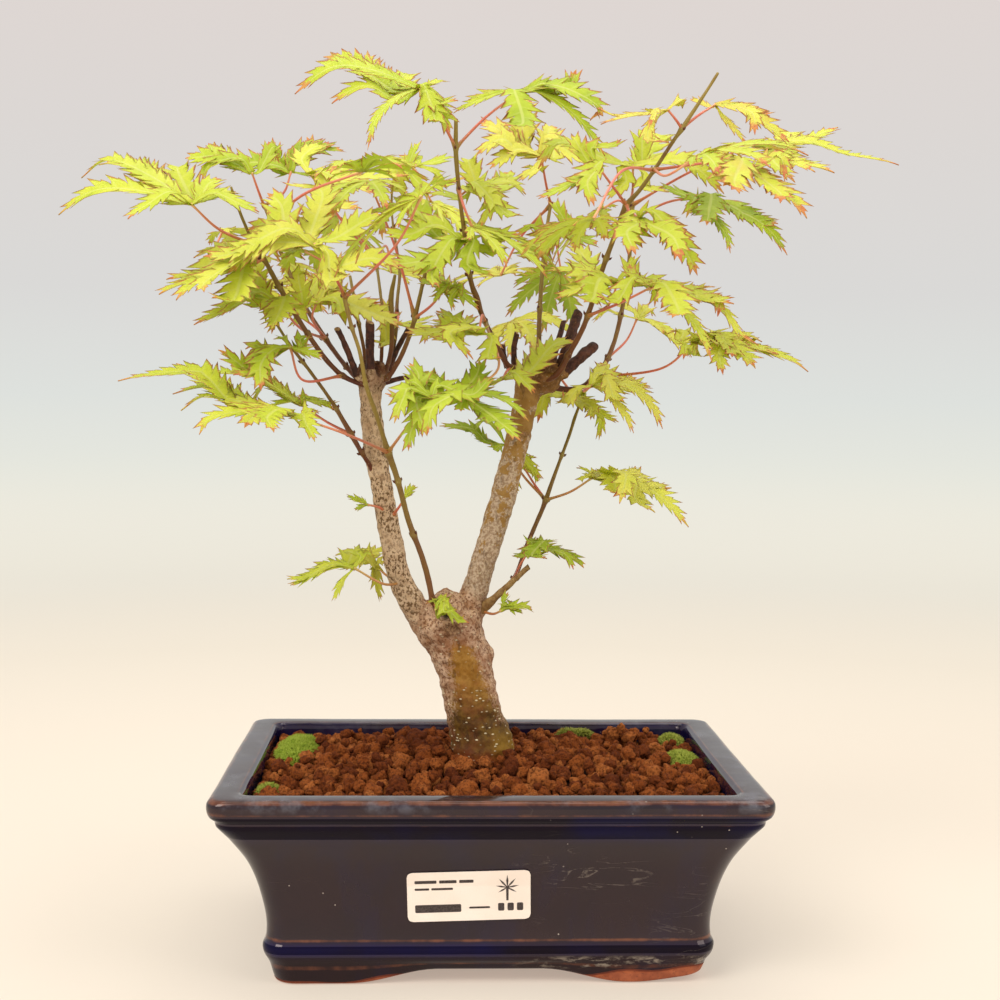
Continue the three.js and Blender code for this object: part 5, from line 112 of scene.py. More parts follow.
     "l":[[[81.6,-16.0,248.6],[93.6,-15.8,245.5],[100.8,-15.7,251.6],[109.5,-15.5,250.1]],[[81.6,-16.0,248.6],[92.8,-0.1,246.9],[97.5,14.8,253.4],[100.9,29.2,254.6]],[[81.6,-16.0,248.6],[88.4,-26.7,251.2],[96.3,-37.2,243.6],[100.5,-47.5,238.9]],[[81.6,-16.0,248.6],[82.5,-26.8,251.3],[92.1,-36.6,245.5],[91.6,-46.2,242.3]],[[81.6,-16.0,248.6],[90.3,-28.2,249.8],[87.4,-40.2,243.1],[87.1,-51.7,235.3]],[[81.6,-16.0,248.6],[94.3,-17.9,246.7],[102.4,-19.7,247.0],[115.1,-21.5,244.6]],[[81.6,-16.0,248.6],[103.4,-18.2,247.0],[117.9,-20.0,243.0],[127.4,-21.3,238.8]],[[81.6,-16.0,248.6],[76.9,-9.4,248.5],[79.1,-3.1,253.5],[73.7,3.1,254.0]],[[81.6,-16.0,248.6],[80.4,-22.8,242.9],[76.8,-29.5,247.0],[74.2,-36.4,241.8]]]},
    {"i":"RD","c":"r4_d","b":[66.8,50.0,261.5],"n":[0.147,-0.603,0.784],"w":[3.72,3.27,3.19,2.79,3.25,2.46,1.67],"p":[[52.1,33.0,243.4],[61.9,47.1,251.8],[66.8,50.0,261.5]],
     "l":[[[66.8,50.0,261.5],[66.0,52.8,264.6],[55.4,55.5,270.7],[58.7,57.9,272.4]],[[66.8,50.0,261.5],[68.0,54.9,262.6],[70.9,59.4,266.2],[72.1,63.8,269.5]],[[66.8,50.0,261.5],[68.1,53.9,262.0],[72.4,57.8,266.9],[75.6,61.6,264.3]],[[66.8,50.0,261.5],[71.9,48.6,260.7],[85.9,47.3,251.8],[93.2,45.9,256.2]],[[66.8,50.0,261.5],[78.3,47.2,257.9],[84.5,44.5,251.0],[90.7,42.2,245.5]],[[66.8,50.0,261.5],[71.1,45.7,260.5],[73.9,41.9,258.4],[77.8,38.5,255.2]],[[66.8,50.0,261.5],[57.2,46.9,263.5],[52.2,43.9,264.6],[46.6,41.1,259.8]]]},
    {"i":"UA","c":"r4_e","b":[42.7,5.8,230.8],"n":[0.096,-0.546,0.832],"w":[5.23,4.02,2.86,4.14,5.52,5.04,3.12],"p":[[44.1,27.1,233.0],[39.9,13.4,228.6],[42.7,5.8,230.8]],
     "l":[[[42.7,5.8,230.8],[48.7,6.0,229.6],[59.1,6.2,230.5],[67.4,6.3,231.6]],[[42.7,5.8,230.8],[55.1,-1.3,231.8],[64.8,-6.7,224.7],[70.4,-11.2,214.8]],[[42.7,5.8,230.8],[49.2,-1.1,227.7],[53.8,-7.4,221.1],[58.3,-12.9,212.5]],[[42.7,5.8,230.8],[47.9,-0.1,234.1],[50.6,-6.0,226.2],[54.3,-11.7,225.4]],[[42.7,5.8,230.8],[45.6,10.8,236.4],[56.3,15.6,233.0],[63.5,20.2,235.7]],[[42.7,5.8,230.8],[47.6,13.1,230.0],[49.5,19.8,238.3],[48.1,25.9,242.0]],[[42.7,5.8,230.8],[36.5,3.1,229.4],[31.3,0.4,223.6],[29.9,-2.3,228.7]]]},
    {"i":"UB","c":"d1_b","b":[42.5,38.9,227.8],"n":[-0.083,-0.612,0.786],"w":[2.7,3.47,4.52,5.6,3.76,3.85,3.6],"p":[[40.7,37.0,223.4],[41.5,38.3,225.6],[42.5,38.9,227.8]],
     "l":[[[42.5,38.9,227.8],[42.5,34.6,223.2],[48.9,30.2,219.0],[48.0,25.5,208.3]],[[42.5,38.9,227.8],[42.3,32.4,225.7],[48.1,25.6,219.1],[55.6,18.6,216.4]],[[42.5,38.9,227.8],[37.1,29.7,225.9],[44.0,20.4,222.2],[42.8,11.1,217.8]],[[42.5,38.9,227.8],[32.3,36.3,227.2],[25.6,34.6,227.6],[21.8,33.2,215.7]],[[42.5,38.9,227.8],[40.2,35.5,229.2],[34.3,32.1,224.0],[31.8,28.8,224.5]],[[42.5,38.9,227.8],[37.6,39.5,227.3],[34.3,39.9,226.4],[26.7,40.4,232.0]],[[42.5,38.9,227.8],[46.1,33.9,231.6],[51.8,29.3,229.7],[56.8,25.0,221.8]]]},
    {"i":"LR1","c":"d1_a","b":[44.1,15.0,191.9],"n":[0.159,-0.312,0.937],"w":[6.48,5.56,5.95,6.48,5.96,6.5,6.5,2.46,2.54],"p":[[25.3,25.2,181.8],[35.3,20.0,185.7],[44.1,15.0,191.9]],
     "l":[[[44.1,15.0,191.9],[63.9,5.5,189.1],[71.9,0.3,184.4],[82.8,-5.6,174.5]],[[44.1,15.0,191.9],[47.9,21.1,190.9],[62.3,26.5,191.3],[65.0,32.0,197.9]],[[44.1,15.0,191.9],[58.5,13.8,188.1],[59.7,12.8,194.1],[72.6,11.8,190.7]],[[44.1,15.0,191.9],[55.3,12.8,192.9],[67.0,10.8,186.9],[77.4,8.7,189.1]],[[44.1,15.0,191.9],[60.1,-0.3,191.9],[59.7,-10.3,184.3],[66.8,-18.9,181.0]],[[44.1,15.0,191.9],[49.9,-2.3,194.9],[50.1,-19.0,188.3],[47.5,-27.5,189.7]],[[44.1,15.0,191.9],[47.2,0.0,194.2],[54.7,-13.8,195.0],[51.2,-27.5,184.7]],[[44.1,15.0,191.9],[43.0,21.5,192.0],[45.6,27.9,193.1],[39.4,34.2,196.7]],[[44.1,15.0,191.9],[47.0,12.9,193.4],[39.8,10.8,191.9],[39.7,8.7,191.0]]]},
    {"i":"LR2","c":"d1_c","b":[17.2,0.0,162.9],"n":[0.138,-0.306,0.942],"w":[4.74,3.37,4.99,4.51,4.76,3.11,2.8],"p":[[11.3,15.7,148.5],[13.2,4.2,155.4],[17.2,0.0,162.9]],
     "l":[[[17.2,0.0,162.9],[23.4,-3.8,163.7],[35.5,-6.9,159.5],[39.0,-9.3,157.1]],[[17.2,0.0,162.9],[19.5,1.1,162.9],[26.9,2.1,162.4],[32.5,3.2,162.0]],[[17.2,0.0,162.9],[16.3,7.0,159.3],[22.9,13.9,163.9],[27.7,20.8,165.2]],[[17.2,0.0,162.9],[21.8,-5.2,163.8],[30.7,-10.3,161.9],[34.2,-15.4,156.8]],[[17.2,0.0,162.9],[22.0,-8.5,166.9],[16.9,-17.0,161.8],[22.6,-25.5,162.0]],[[17.2,0.0,162.9],[19.2,3.9,159.9],[18.2,7.6,165.4],[18.8,11.3,167.2]],[[17.2,0.0,162.9],[15.6,-3.7,160.8],[11.8,-7.0,160.1],[11.8,-9.5,160.4]]]},
    {"i":"LR3","c":"d1_a","b":[16.6,33.2,194.8],"n":[-0.255,-0.562,0.787],"w":[1.85,2.72,2.57,3.07],"p":[[25.3,25.2,181.8],[20.8,29.5,188.1],[16.6,33.2,194.8]],
     "l":[[[16.6,33.2,194.8],[20.2,31.4,194.8],[21.3,29.8,192.1],[22.0,28.2,189.4]],[[16.6,33.2,194.8],[13.3,29.0,202.1],[19.5,25.7,195.4],[22.5,23.5,191.0]],[[16.6,33.2,194.8],[20.0,34.9,192.9],[17.3,36.5,199.1],[21.7,37.6,200.3]],[[16.6,33.2,194.8],[10.5,30.5,197.1],[11.7,28.0,188.5],[13.1,25.5,184.8]]]},
    {"i":"LR4","c":"ds_a","b":[5.3,-2.7,137.3],"n":[0.166,-0.397,0.903],"w":[3.67,2.58,2.92,3.16],"p":[[-2.6,9.7,135.7],[2.0,3.6,135.2],[5.3,-2.7,137.3]],
     "l":[[[5.3,-2.7,137.3],[8.1,-2.7,138.6],[14.6,-2.7,139.4],[18.3,-2.7,138.3]],[[5.3,-2.7,137.3],[10.3,-1.9,139.1],[6.3,-1.1,140.4],[8.4,-0.3,145.2]],[[5.3,-2.7,137.3],[8.3,-3.0,138.9],[10.3,-3.2,138.0],[14.2,-3.5,137.0]],[[5.3,-2.7,137.3],[7.2,0.9,138.5],[10.9,4.4,138.5],[12.6,7.8,139.3]]]},
    {"i":"LL1","c":"ls_a","b":[-54.9,-14.0,156.0],"n":[-0.077,-0.454,0.888],"w":[4.22,3.17,3.89,5.21,1.71,2.85],"p":[[-36.2,7.4,147.7],[-43.5,-6.6,148.8],[-54.9,-14.0,156.0]],
     "l":[[[-54.9,-14.0,156.0],[-63.9,-15.4,156.8],[-74.4,-16.8,152.2],[-81.6,-18.2,152.5]],[[-54.9,-14.0,156.0],[-64.5,-15.8,157.4],[-75.5,-17.4,151.0],[-80.3,-18.4,150.2]],[[-54.9,-14.0,156.0],[-59.4,-11.3,156.9],[-63.2,-8.6,156.3],[-72.0,-6.0,156.2]],[[-54.9,-14.0,156.0],[-58.2,-6.2,155.7],[-56.8,1.3,160.9],[-64.0,8.6,159.5]],[[-54.9,-14.0,156.0],[-59.0,-19.4,151.8],[-60.6,-25.0,148.5],[-61.6,-30.9,145.4]],[[-54.9,-14.0,156.0],[-52.3,-10.8,159.9],[-54.1,-7.6,162.1],[-47.2,-4.5,160.7]]]},
    {"i":"LL2","c":"ls_b","b":[-49.8,17.0,157.5],"n":[0.293,-0.585,0.757],"w":[2.56,3.29,2.08,2.35,2.53,3.67,2.5],"p":[[-36.2,7.4,147.7],[-43.5,21.8,149.6],[-49.8,17.0,157.5]],
     "l":[[[-49.8,17.0,157.5],[-51.8,18.6,157.8],[-57.6,20.2,159.7],[-60.2,21.8,159.8]],[[-49.8,17.0,157.5],[-53.4,21.5,154.1],[-49.4,25.8,159.4],[-50.7,30.0,161.3]],[[-49.8,17.0,157.5],[-52.4,18.8,157.4],[-44.3,20.5,160.3],[-42.6,22.2,159.7]],[[-49.8,17.0,157.5],[-47.1,15.6,151.6],[-46.6,14.0,145.7],[-44.6,12.4,140.2]],[[-49.8,17.0,157.5],[-47.5,15.9,154.6],[-45.8,14.8,155.9],[-43.5,13.8,155.0]],[[-49.8,17.0,157.5],[-47.0,12.5,152.7],[-52.3,7.8,158.9],[-57.6,3.0,152.5]],[[-49.8,17.0,157.5],[-48.8,16.2,157.9],[-47.4,15.3,150.9],[-48.9,14.4,147.1]]]},
    {"i":"CR","c":"crotch","b":[-21.7,-12.0,138.8],"n":[0.041,-0.409,0.912],"w":[2.93,2.84,1.94,2.34],"p":[[-22.9,-4.3,142.2],[-21.9,-6.1,139.6],[-21.7,-12.0,138.8]],
     "l":[[[-21.7,-12.0,138.8],[-19.6,-12.3,142.0],[-12.4,-12.7,134.8],[-10.1,-13.0,137.5]],[[-21.7,-12.0,138.8],[-19.4,-10.1,136.8],[-19.4,-8.3,142.6],[-14.3,-6.6,139.0]],[[-21.7,-12.0,138.8],[-21.1,-10.9,135.6],[-19.6,-9.8,142.3],[-25.9,-8.8,141.3]],[[-21.7,-12.0,138.8],[-18.5,-13.4,143.0],[-18.3,-14.9,138.4],[-13.3,-16.5,140.1]]]},
    {"i":"E01","c":"r1_c","b":[-8.6,-27.0,292.0],"n":[0.299,-0.305,0.904],"w":[4.6,4.6,4.6,3.55,3.84,2.3,2.28],"p":[[-13.9,-25.2,306.7],[-11.9,-30.3,299.3],[-8.6,-27.0,292.0]],
     "l":[[[-8.6,-27.0,292.0],[4.9,-25.0,289.3],[17.7,-21.1,283.6],[27.9,-16.3,276.4]],[[-8.6,-27.0,292.0],[1.9,-22.1,291.1],[11.7,-16.2,287.5],[19.5,-10.4,282.3]],[[-8.6,-27.0,292.0],[2.0,-31.5,287.9],[12.3,-34.8,280.9],[21.0,-36.8,272.6]],[[-8.6,-27.0,292.0],[-4.0,-20.2,293.4],[1.0,-13.5,292.4],[5.4,-7.8,289.4]],[[-8.6,-27.0,292.0],[-4.2,-34.6,288.6],[0.6,-41.4,282.8],[4.9,-46.4,275.9]],[[-8.6,-27.0,292.0],[-9.5,-22.9,294.1],[-10.8,-18.7,294.9],[-12.2,-14.9,294.7]],[[-8.6,-27.0,292.0],[-9.1,-31.6,290.9],[-9.5,-36.1,288.5],[-9.9,-39.8,285.5]]]},
    {"i":"E02","c":"u2_a","b":[-66.0,55.3,304.9],"n":[0.436,0.199,0.878],"w":[4.6,4.16,4.42,3.86,3.71,2.06,2.17],"p":[[-48.5,30.0,284.1],[-57.2,40.8,296.5],[-66.0,55.3,304.9]],
     "l":[[[-66.0,55.3,304.9],[-62.3,65.9,301.4],[-60.6,76.6,295.3],[-60.8,85.9,287.9]],[[-66.0,55.3,304.9],[-69.1,64.8,304.9],[-72.5,74.2,302.0],[-75.5,82.1,297.0]],[[-66.0,55.3,304.9],[-59.3,63.0,300.5],[-53.6,70.8,293.2],[-49.5,77.4,284.6]],[[-66.0,55.3,304.9],[-72.0,61.6,307.0],[-79.0,67.0,307.0],[-85.8,70.9,305.2]],[[-66.0,55.3,304.9],[-57.9,56.8,301.1],[-50.2,57.4,294.9],[-44.0,57.1,287.8]],[[-66.0,55.3,304.9],[-69.4,55.7,306.8],[-73.1,55.4,307.6],[-76.4,54.6,307.5]],[[-66.0,55.3,304.9],[-62.2,53.2,303.7],[-58.6,51.0,301.3],[-55.7,49.1,298.3]]]},
    {"i":"E03","c":"r2_b","b":[35.1,81.4,285.5],"n":[0.063,0.605,0.794],"w":[4.6,4.6,4.53,3.38,3.73,2.21,2.31],"p":[[26.0,47.0,300.6],[31.1,66.0,297.3],[35.1,81.4,285.5]],
     "l":[[[35.1,81.4,285.5],[32.9,91.8,278.9],[30.5,101.2,269.1],[28.2,108.4,258.3]],[[35.1,81.4,285.5],[27.1,89.4,281.1],[18.4,96.0,274.1],[10.4,100.4,266.0]],[[35.1,81.4,285.5],[38.4,90.5,279.3],[41.1,98.8,270.2],[43.0,105.3,260.1]],[[35.1,81.4,285.5],[27.7,83.9,284.9],[20.0,85.4,282.6],[13.4,85.7,279.3]],[[35.1,81.4,285.5],[42.4,85.7,282.5],[49.5,89.5,277.0],[55.4,92.2,270.5]],[[35.1,81.4,285.5],[30.9,80.7,286.8],[26.7,79.5,287.1],[23.3,77.9,286.5]],[[35.1,81.4,285.5],[39.9,81.6,285.4],[44.7,81.8,283.8],[48.7,81.9,281.2]]]},
    {"i":"E04","c":"u3_a","b":[-25.2,105.7,319.0],"n":[0.323,-0.353,0.878],"w":[4.6,4.5,4.6,3.86,3.64,2.36,2.31],"p":[[-42.4,50.0,319.3],[-31.8,76.3,325.7],[-25.2,105.7,319.0]],
     "l":[[[-25.2,105.7,319.0],[-17.5,96.1,313.2],[-11.1,86.5,303.7],[-6.7,78.3,292.6]],[[-25.2,105.7,319.0],[-15.6,101.7,314.6],[-6.0,99.3,307.4],[2.2,98.4,298.9]],[[-25.2,105.7,319.0],[-22.5,95.3,314.6],[-19.8,85.6,306.9],[-17.6,77.9,297.7]],[[-25.2,105.7,319.0],[-16.3,107.8,317.2],[-7.8,110.1,312.7],[-0.8,112.2,306.6]],[[-25.2,105.7,319.0],[-28.5,97.8,317.6],[-31.8,90.2,313.6],[-34.6,83.9,308.1]],[[-25.2,105.7,319.0],[-21.9,109.3,319.5],[-19.0,113.2,318.8],[-16.7,116.8,317.1]],[[-25.2,105.7,319.0],[-29.0,102.8,319.6],[-32.9,100.1,318.7],[-36.4,97.9,316.9]]]},
    {"i":"E05","c":"d1_b","b":[11.2,63.4,260.4],"n":[-0.278,-0.247,0.928],"w":[4.6,4.6,4.6,3.73,3.68,2.28,2.07],"p":[[40.7,37.0,223.4],[29.6,61.0,240.1],[11.2,63.4,260.4]],
     "l":[[[11.2,63.4,260.4],[15.2,51.6,259.1],[18.8,39.9,253.5],[21.7,30.1,245.4]],[[11.2,63.4,260.4],[20.7,56.1,261.9],[30.5,49.1,259.6],[39.3,43.4,254.5]],[[11.2,63.4,260.4],[10.9,52.2,257.9],[10.5,41.5,251.7],[10.1,32.6,243.5]],[[11.2,63.4,260.4],[19.4,63.3,263.3],[27.9,63.4,263.4],[35.5,63.6,261.2]],[[11.2,63.4,260.4],[7.3,55.9,257.7],[3.8,48.6,252.2],[1.1,42.6,245.4]],[[11.2,63.4,260.4],[14.6,65.9,262.4],[18.2,68.4,262.8],[21.7,70.4,262.0]],[[11.2,63.4,260.4],[7.4,62.1,259.1],[3.5,61.2,256.6],[0.3,61.0,253.4]]]},
    {"i":"E07","c":"c1_a","b":[-27.7,-107.0,292.6],"n":[-0.562,-0.241,0.792],"w":[4.6,4.6,4.6,4.15,4.25,2.37,2.53],"p":[[-58.0,-30.0,263.8],[-37.2,-77.8,278.9],[-27.7,-107.0,292.6]],
     "l":[[[-27.7,-107.0,292.6],[-35.7,-93.9,292.3],[-41.1,-79.5,289.1],[-43.5,-66.4,284.1]],[[-27.7,-107.0,292.6],[-39.3,-101.3,287.3],[-50.1,-95.9,278.0],[-58.6,-91.6,266.9]],[[-27.7,-107.0,292.6],[-30.6,-93.4,296.0],[-32.5,-79.3,295.4],[-33.4,-66.8,291.7]],[[-27.7,-107.0,292.6],[-36.7,-106.0,287.4],[-44.9,-103.8,279.9],[-51.2,-100.9,271.5]],[[-27.7,-107.0,292.6],[-25.6,-98.7,297.6],[-22.4,-90.2,299.9],[-19.0,-82.7,299.8]],[[-27.7,-107.0,292.6],[-31.0,-109.9,289.8],[-33.7,-113.0,285.8],[-35.5,-115.7,281.4]],[[-27.7,-107.0,292.6],[-24.1,-105.7,296.1],[-20.0,-104.4,298.0],[-16.2,-103.1,298.6]]]},
    {"i":"E08","c":"r3_c","b":[32.5,-93.7,287.5],"n":[-0.214,0.067,0.974],"w":[4.55,4.15,4.04,3.45,3.6,2.02,2.09],"p":[[63.3,-23.9,315.8],[45.6,-64.0,308.8],[32.5,-93.7,287.5]],
     "l":[[[32.5,-93.7,287.5],[25.6,-85.1,286.2],[19.3,-76.4,282.1],[14.5,-68.7,276.5]],[[32.5,-93.7,287.5],[23.2,-90.5,285.9],[14.6,-86.6,281.9],[7.6,-82.7,276.4]],[[32.5,-93.7,287.5],[31.0,-84.1,287.2],[29.4,-74.7,284.4],[28.0,-66.7,280.0]],[[32.5,-93.7,287.5],[24.8,-95.3,286.5],[17.3,-96.9,283.4],[11.0,-98.2,279.2]],[[32.5,-93.7,287.5],[35.0,-85.7,288.1],[37.2,-77.6,286.5],[38.8,-70.5,283.2]],[[32.5,-93.7,287.5],[29.9,-96.7,287.4],[27.2,-99.5,286.2],[24.7,-101.8,284.4]],[[32.5,-93.7,287.5],[35.8,-91.5,288.4],[39.1,-89.1,288.2],[42.0,-87.0,287.1]]]},
    {"i":"E09","c":"u4_a","b":[-49.8,-6.3,312.1],"n":[-0.11,-0.319,0.941],"w":[4.6,4.23,4.21,3.03,3.1,1.85,2.07],"p":[[-31.0,-12.9,257.0],[-39.1,-10.1,285.2],[-49.8,-6.3,312.1]],
     "l":[[[-49.8,-6.3,312.1],[-54.7,-16.4,308.9],[-59.6,-25.9,302.7],[-63.7,-33.6,294.9]],[[-49.8,-6.3,312.1],[-47.6,-16.2,309.8],[-44.7,-25.5,304.7],[-41.5,-33.0,298.4]],[[-49.8,-6.3,312.1],[-58.0,-12.3,309.9],[-65.9,-18.0,304.8],[-72.4,-22.6,298.3]],[[-49.8,-6.3,312.1],[-44.9,-11.2,311.5],[-39.2,-15.1,309.4],[-33.7,-17.5,306.4]],[[-49.8,-6.3,312.1],[-56.7,-8.0,311.3],[-63.5,-9.4,308.5],[-69.3,-10.3,304.6]],[[-49.8,-6.3,312.1],[-46.3,-7.0,312.6],[-42.8,-7.7,312.0],[-39.8,-8.1,310.8]],[[-49.8,-6.3,312.1],[-53.4,-4.3,312.7],[-56.6,-1.7,312.3],[-59.1,0.9,311.2]]]},
    {"i":"E10","c":"r4_b","b":[49.9,39.7,308.7],"n":[-0.623,0.138,0.77],"w":[4.35,4.37,3.66,3.47,3.1,2.31,1.92],"p":[[64.0,50.9,305.3],[57.5,40.0,312.1],[49.9,39.7,308.7]],
     "l":[[[49.9,39.7,308.7],[42.2,44.8,302.8],[35.2,49.0,294.3],[29.7,52.0,285.1]],[[49.9,39.7,308.7],[40.8,39.7,302.5],[32.6,38.7,294.0],[26.3,37.3,285.0]],[[49.9,39.7,308.7],[45.8,46.7,305.1],[42.8,53.8,299.8],[41.0,59.8,293.8]],[[49.9,39.7,308.7],[43.8,35.2,305.5],[38.3,30.6,300.3],[34.1,26.6,294.4]],[[49.9,39.7,308.7],[50.7,46.7,308.9],[52.4,53.5,307.7],[54.7,59.2,305.7]],[[49.9,39.7,308.7],[48.6,35.1,309.0],[47.9,30.4,308.4],[47.7,26.3,307.1]],[[49.9,39.7,308.7],[51.6,42.6,310.1],[53.9,45.3,310.7],[56.2,47.4,310.6]]]},
    {"i":"E11","c":"u2_a","b":[-43.5,81.8,283.4],"n":[0.19,-0.303,0.934],"w":[4.6,4.6,4.6,3.4,3.51,2.08,2.18],"p":[[-48.5,30.0,284.1],[-45.1,59.3,293.1],[-43.5,81.8,283.4]],
     "l":[[[-43.5,81.8,283.4],[-34.3,89.5,285.3],[-25.2,97.5,284.8],[-17.4,104.5,282.4]],[[-43.5,81.8,283.4],[-40.6,92.0,287.3],[-37.6,102.7,289.0],[-34.8,112.1,288.6]],[[-43.5,81.8,283.4],[-32.6,85.4,283.5],[-21.9,88.9,281.4],[-12.8,92.0,277.6]],[[-43.5,81.8,283.4],[-45.9,88.4,286.8],[-48.3,95.3,288.8],[-50.4,101.6,289.2]],[[-43.5,81.8,283.4],[-35.5,79.9,282.0],[-27.7,78.8,279.2],[-21.1,78.5,275.7]],[[-43.5,81.8,283.4],[-47.1,83.0,284.9],[-50.8,84.4,285.7],[-54.1,85.7,285.8]],[[-43.5,81.8,283.4],[-40.2,78.9,282.2],[-37.2,76.1,280.3],[-34.8,73.7,277.9]]]},
    {"i":"E12","c":"l2_a","b":[-96.8,95.1,289.3],"n":[0.235,0.039,0.971],"w":[4.6,4.6,4.6,4.6,4.54,2.29,2.69],"p":[[-98.2,48.0,308.6],[-97.5,73.3,303.2],[-96.8,95.1,289.3]],
     "l":[[[-96.8,95.1,289.3],[-95.0,109.5,289.3],[-95.1,123.8,286.0],[-96.7,136.1,280.5]],[[-96.8,95.1,289.3],[-103.0,106.8,291.3],[-110.2,118.1,290.0],[-117.0,127.5,286.2]],[[-96.8,95.1,289.3],[-90.2,106.6,288.2],[-83.8,117.8,283.6],[-78.4,127.2,277.0]],[[-96.8,95.1,289.3],[-105.0,102.1,291.8],[-113.5,108.9,291.4],[-121.2,114.6,288.9]],[[-96.8,95.1,289.3],[-86.5,98.6,287.4],[-76.5,101.7,282.8],[-68.2,104.2,276.5]],[[-96.8,95.1,289.3],[-101.1,94.7,290.7],[-105.6,93.9,290.9],[-109.5,93.1,290.1]],[[-96.8,95.1,289.3],[-91.2,93.6,288.4],[-86.0,91.5,286.1],[-81.8,89.4,282.9]]]},
    {"i":"E13","c":"r2_a","b":[6.2,60.1,280.7],"n":[-0.165,-0.25,0.954],"w":[4.6,4.6,4.6,3.74,3.81,2.14,2.23],"p":[[27.7,49.8,311.2],[14.9,55.8,297.5],[6.2,60.1,280.7]],
     "l":[[[6.2,60.1,280.7],[3.1,71.7,284.2],[1.1,84.0,284.7],[0.3,94.9,282.8]],[[6.2,60.1,280.7],[-3.0,68.6,282.4],[-11.5,77.9,281.0],[-18.2,86.6,277.4]],[[6.2,60.1,280.7],[8.5,71.4,285.1],[11.5,83.0,286.3],[14.5,93.3,284.9]],[[6.2,60.1,280.7],[-2.4,62.0,280.4],[-10.9,63.5,277.7],[-18.2,64.5,273.5]],[[6.2,60.1,280.7],[11.7,66.2,284.0],[17.1,72.8,285.0],[21.8,78.9,284.1]],[[6.2,60.1,280.7],[2.5,57.9,279.9],[-1.1,56.0,277.9],[-4.2,54.5,275.4]],[[6.2,60.1,280.7],[10.4,61.1,282.1],[14.6,62.3,282.3],[18.4,63.5,281.6]]]},
    {"i":"E14","c":"l1_b","b":[-113.7,27.8,295.0],"n":[-0.021,0.06,0.998],"w":[4.6,4.6,4.6,3.86,3.81,2.34,2.41],"p":[[-89.8,-28.5,278.3],[-110.6,-11.4,280.1],[-113.7,27.8,295.0]],
     "l":[[[-113.7,27.8,295.0],[-102.0,33.4,295.6],[-90.1,38.5,292.3],[-79.7,42.5,286.5]],[[-113.7,27.8,295.0],[-106.4,37.4,295.2],[-98.6,46.7,291.8],[-91.5,54.2,286.1]],[[-113.7,27.8,295.0],[-101.1,26.6,296.0],[-88.4,25.4,293.2],[-77.5,24.5,287.8]],[[-113.7,27.8,295.0],[-113.0,37.0,294.9],[-112.9,46.1,292.1],[-113.1,53.9,287.6]],[[-113.7,27.8,295.0],[-106.3,22.9,295.9],[-98.5,18.4,294.1],[-91.6,14.8,290.5]],[[-113.7,27.8,295.0],[-116.4,31.9,294.9],[-118.9,36.1,293.4],[-120.9,39.7,291.0]],[[-113.7,27.8,295.0],[-112.3,23.0,295.6],[-110.6,18.2,294.6],[-109.0,14.2,292.7]]]},
    {"i":"E15","c":"r3_c","b":[67.0,-102.5,308.3],"n":[-0.235,-0.186,0.954],"w":[4.6,4.6,4.6,3.7,4.07,2.09,2.08],"p":[[63.3,-23.9,315.8],[59.1,-88.1,304.0],[67.0,-102.5,308.3]],
     "l":[[[67.0,-102.5,308.3],[79.1,-107.1,311.5],[91.9,-110.3,311.7],[103.4,-112.0,309.5]],[[67.0,-102.5,308.3],[77.8,-101.4,312.1],[88.9,-99.4,313.2],[98.6,-97.2,312.0]],[[67.0,-102.5,308.3],[73.4,-113.4,308.8],[80.1,-124.2,306.1],[85.9,-133.2,301.4]],[[67.0,-102.5,308.3],[73.2,-97.7,311.5],[79.7,-92.5,312.6],[85.5,-87.8,311.9]],[[67.0,-102.5,308.3],[68.0,-112.3,307.4],[69.0,-121.8,304.1],[70.0,-129.7,299.4]],[[67.0,-102.5,308.3],[67.3,-98.6,309.5],[67.5,-94.5,309.6],[67.5,-90.9,308.8]],[[67.0,-102.5,308.3],[65.2,-106.3,307.5],[64.2,-110.2,305.7],[64.0,-113.7,303.5]]]},
    {"i":"E16","c":"l1_a","b":[-49.4,-73.4,305.8],"n":[-0.078,0.083,0.993],"w":[4.6,4.5,4.6,3.56,3.7,2.24,2.14],"p":[[-93.5,-31.7,283.5],[-74.9,-42.4,300.4],[-49.4,-73.4,305.8]],
     "l":[[[-49.4,-73.4,305.8],[-45.8,-85.5,307.9],[-40.3,-97.2,306.7],[-34.2,-106.7,303.0]],[[-49.4,-73.4,305.8],[-42.7,-81.7,307.7],[-35.5,-89.8,306.7],[-28.9,-96.6,303.6]],[[-49.4,-73.4,305.8],[-52.2,-84.6,307.2],[-55.6,-95.7,305.6],[-58.9,-105.2,301.6]],[[-49.4,-73.4,305.8],[-41.4,-74.9,307.1],[-33.2,-75.7,306.1],[-26.0,-75.7,303.5]],[[-49.4,-73.4,305.8],[-55.4,-79.7,306.4],[-60.9,-86.5,304.8],[-65.1,-92.7,301.6]],[[-49.4,-73.4,305.8],[-45.2,-71.6,306.2],[-40.9,-70.0,305.5],[-37.2,-68.8,303.9]],[[-49.4,-73.4,305.8],[-53.8,-73.7,305.7],[-58.0,-74.7,304.6],[-61.4,-76.3,302.8]]]},
    {"i":"E17","c":"l2_b","b":[-100.7,44.0,272.2],"n":[-0.033,-0.343,0.939],"w":[4.6,4.48,4.6,3.97,3.69,2.29,2.2],"p":[[-69.0,17.8,249.6],[-77.3,37.6,257.2],[-100.7,44.0,272.2]],
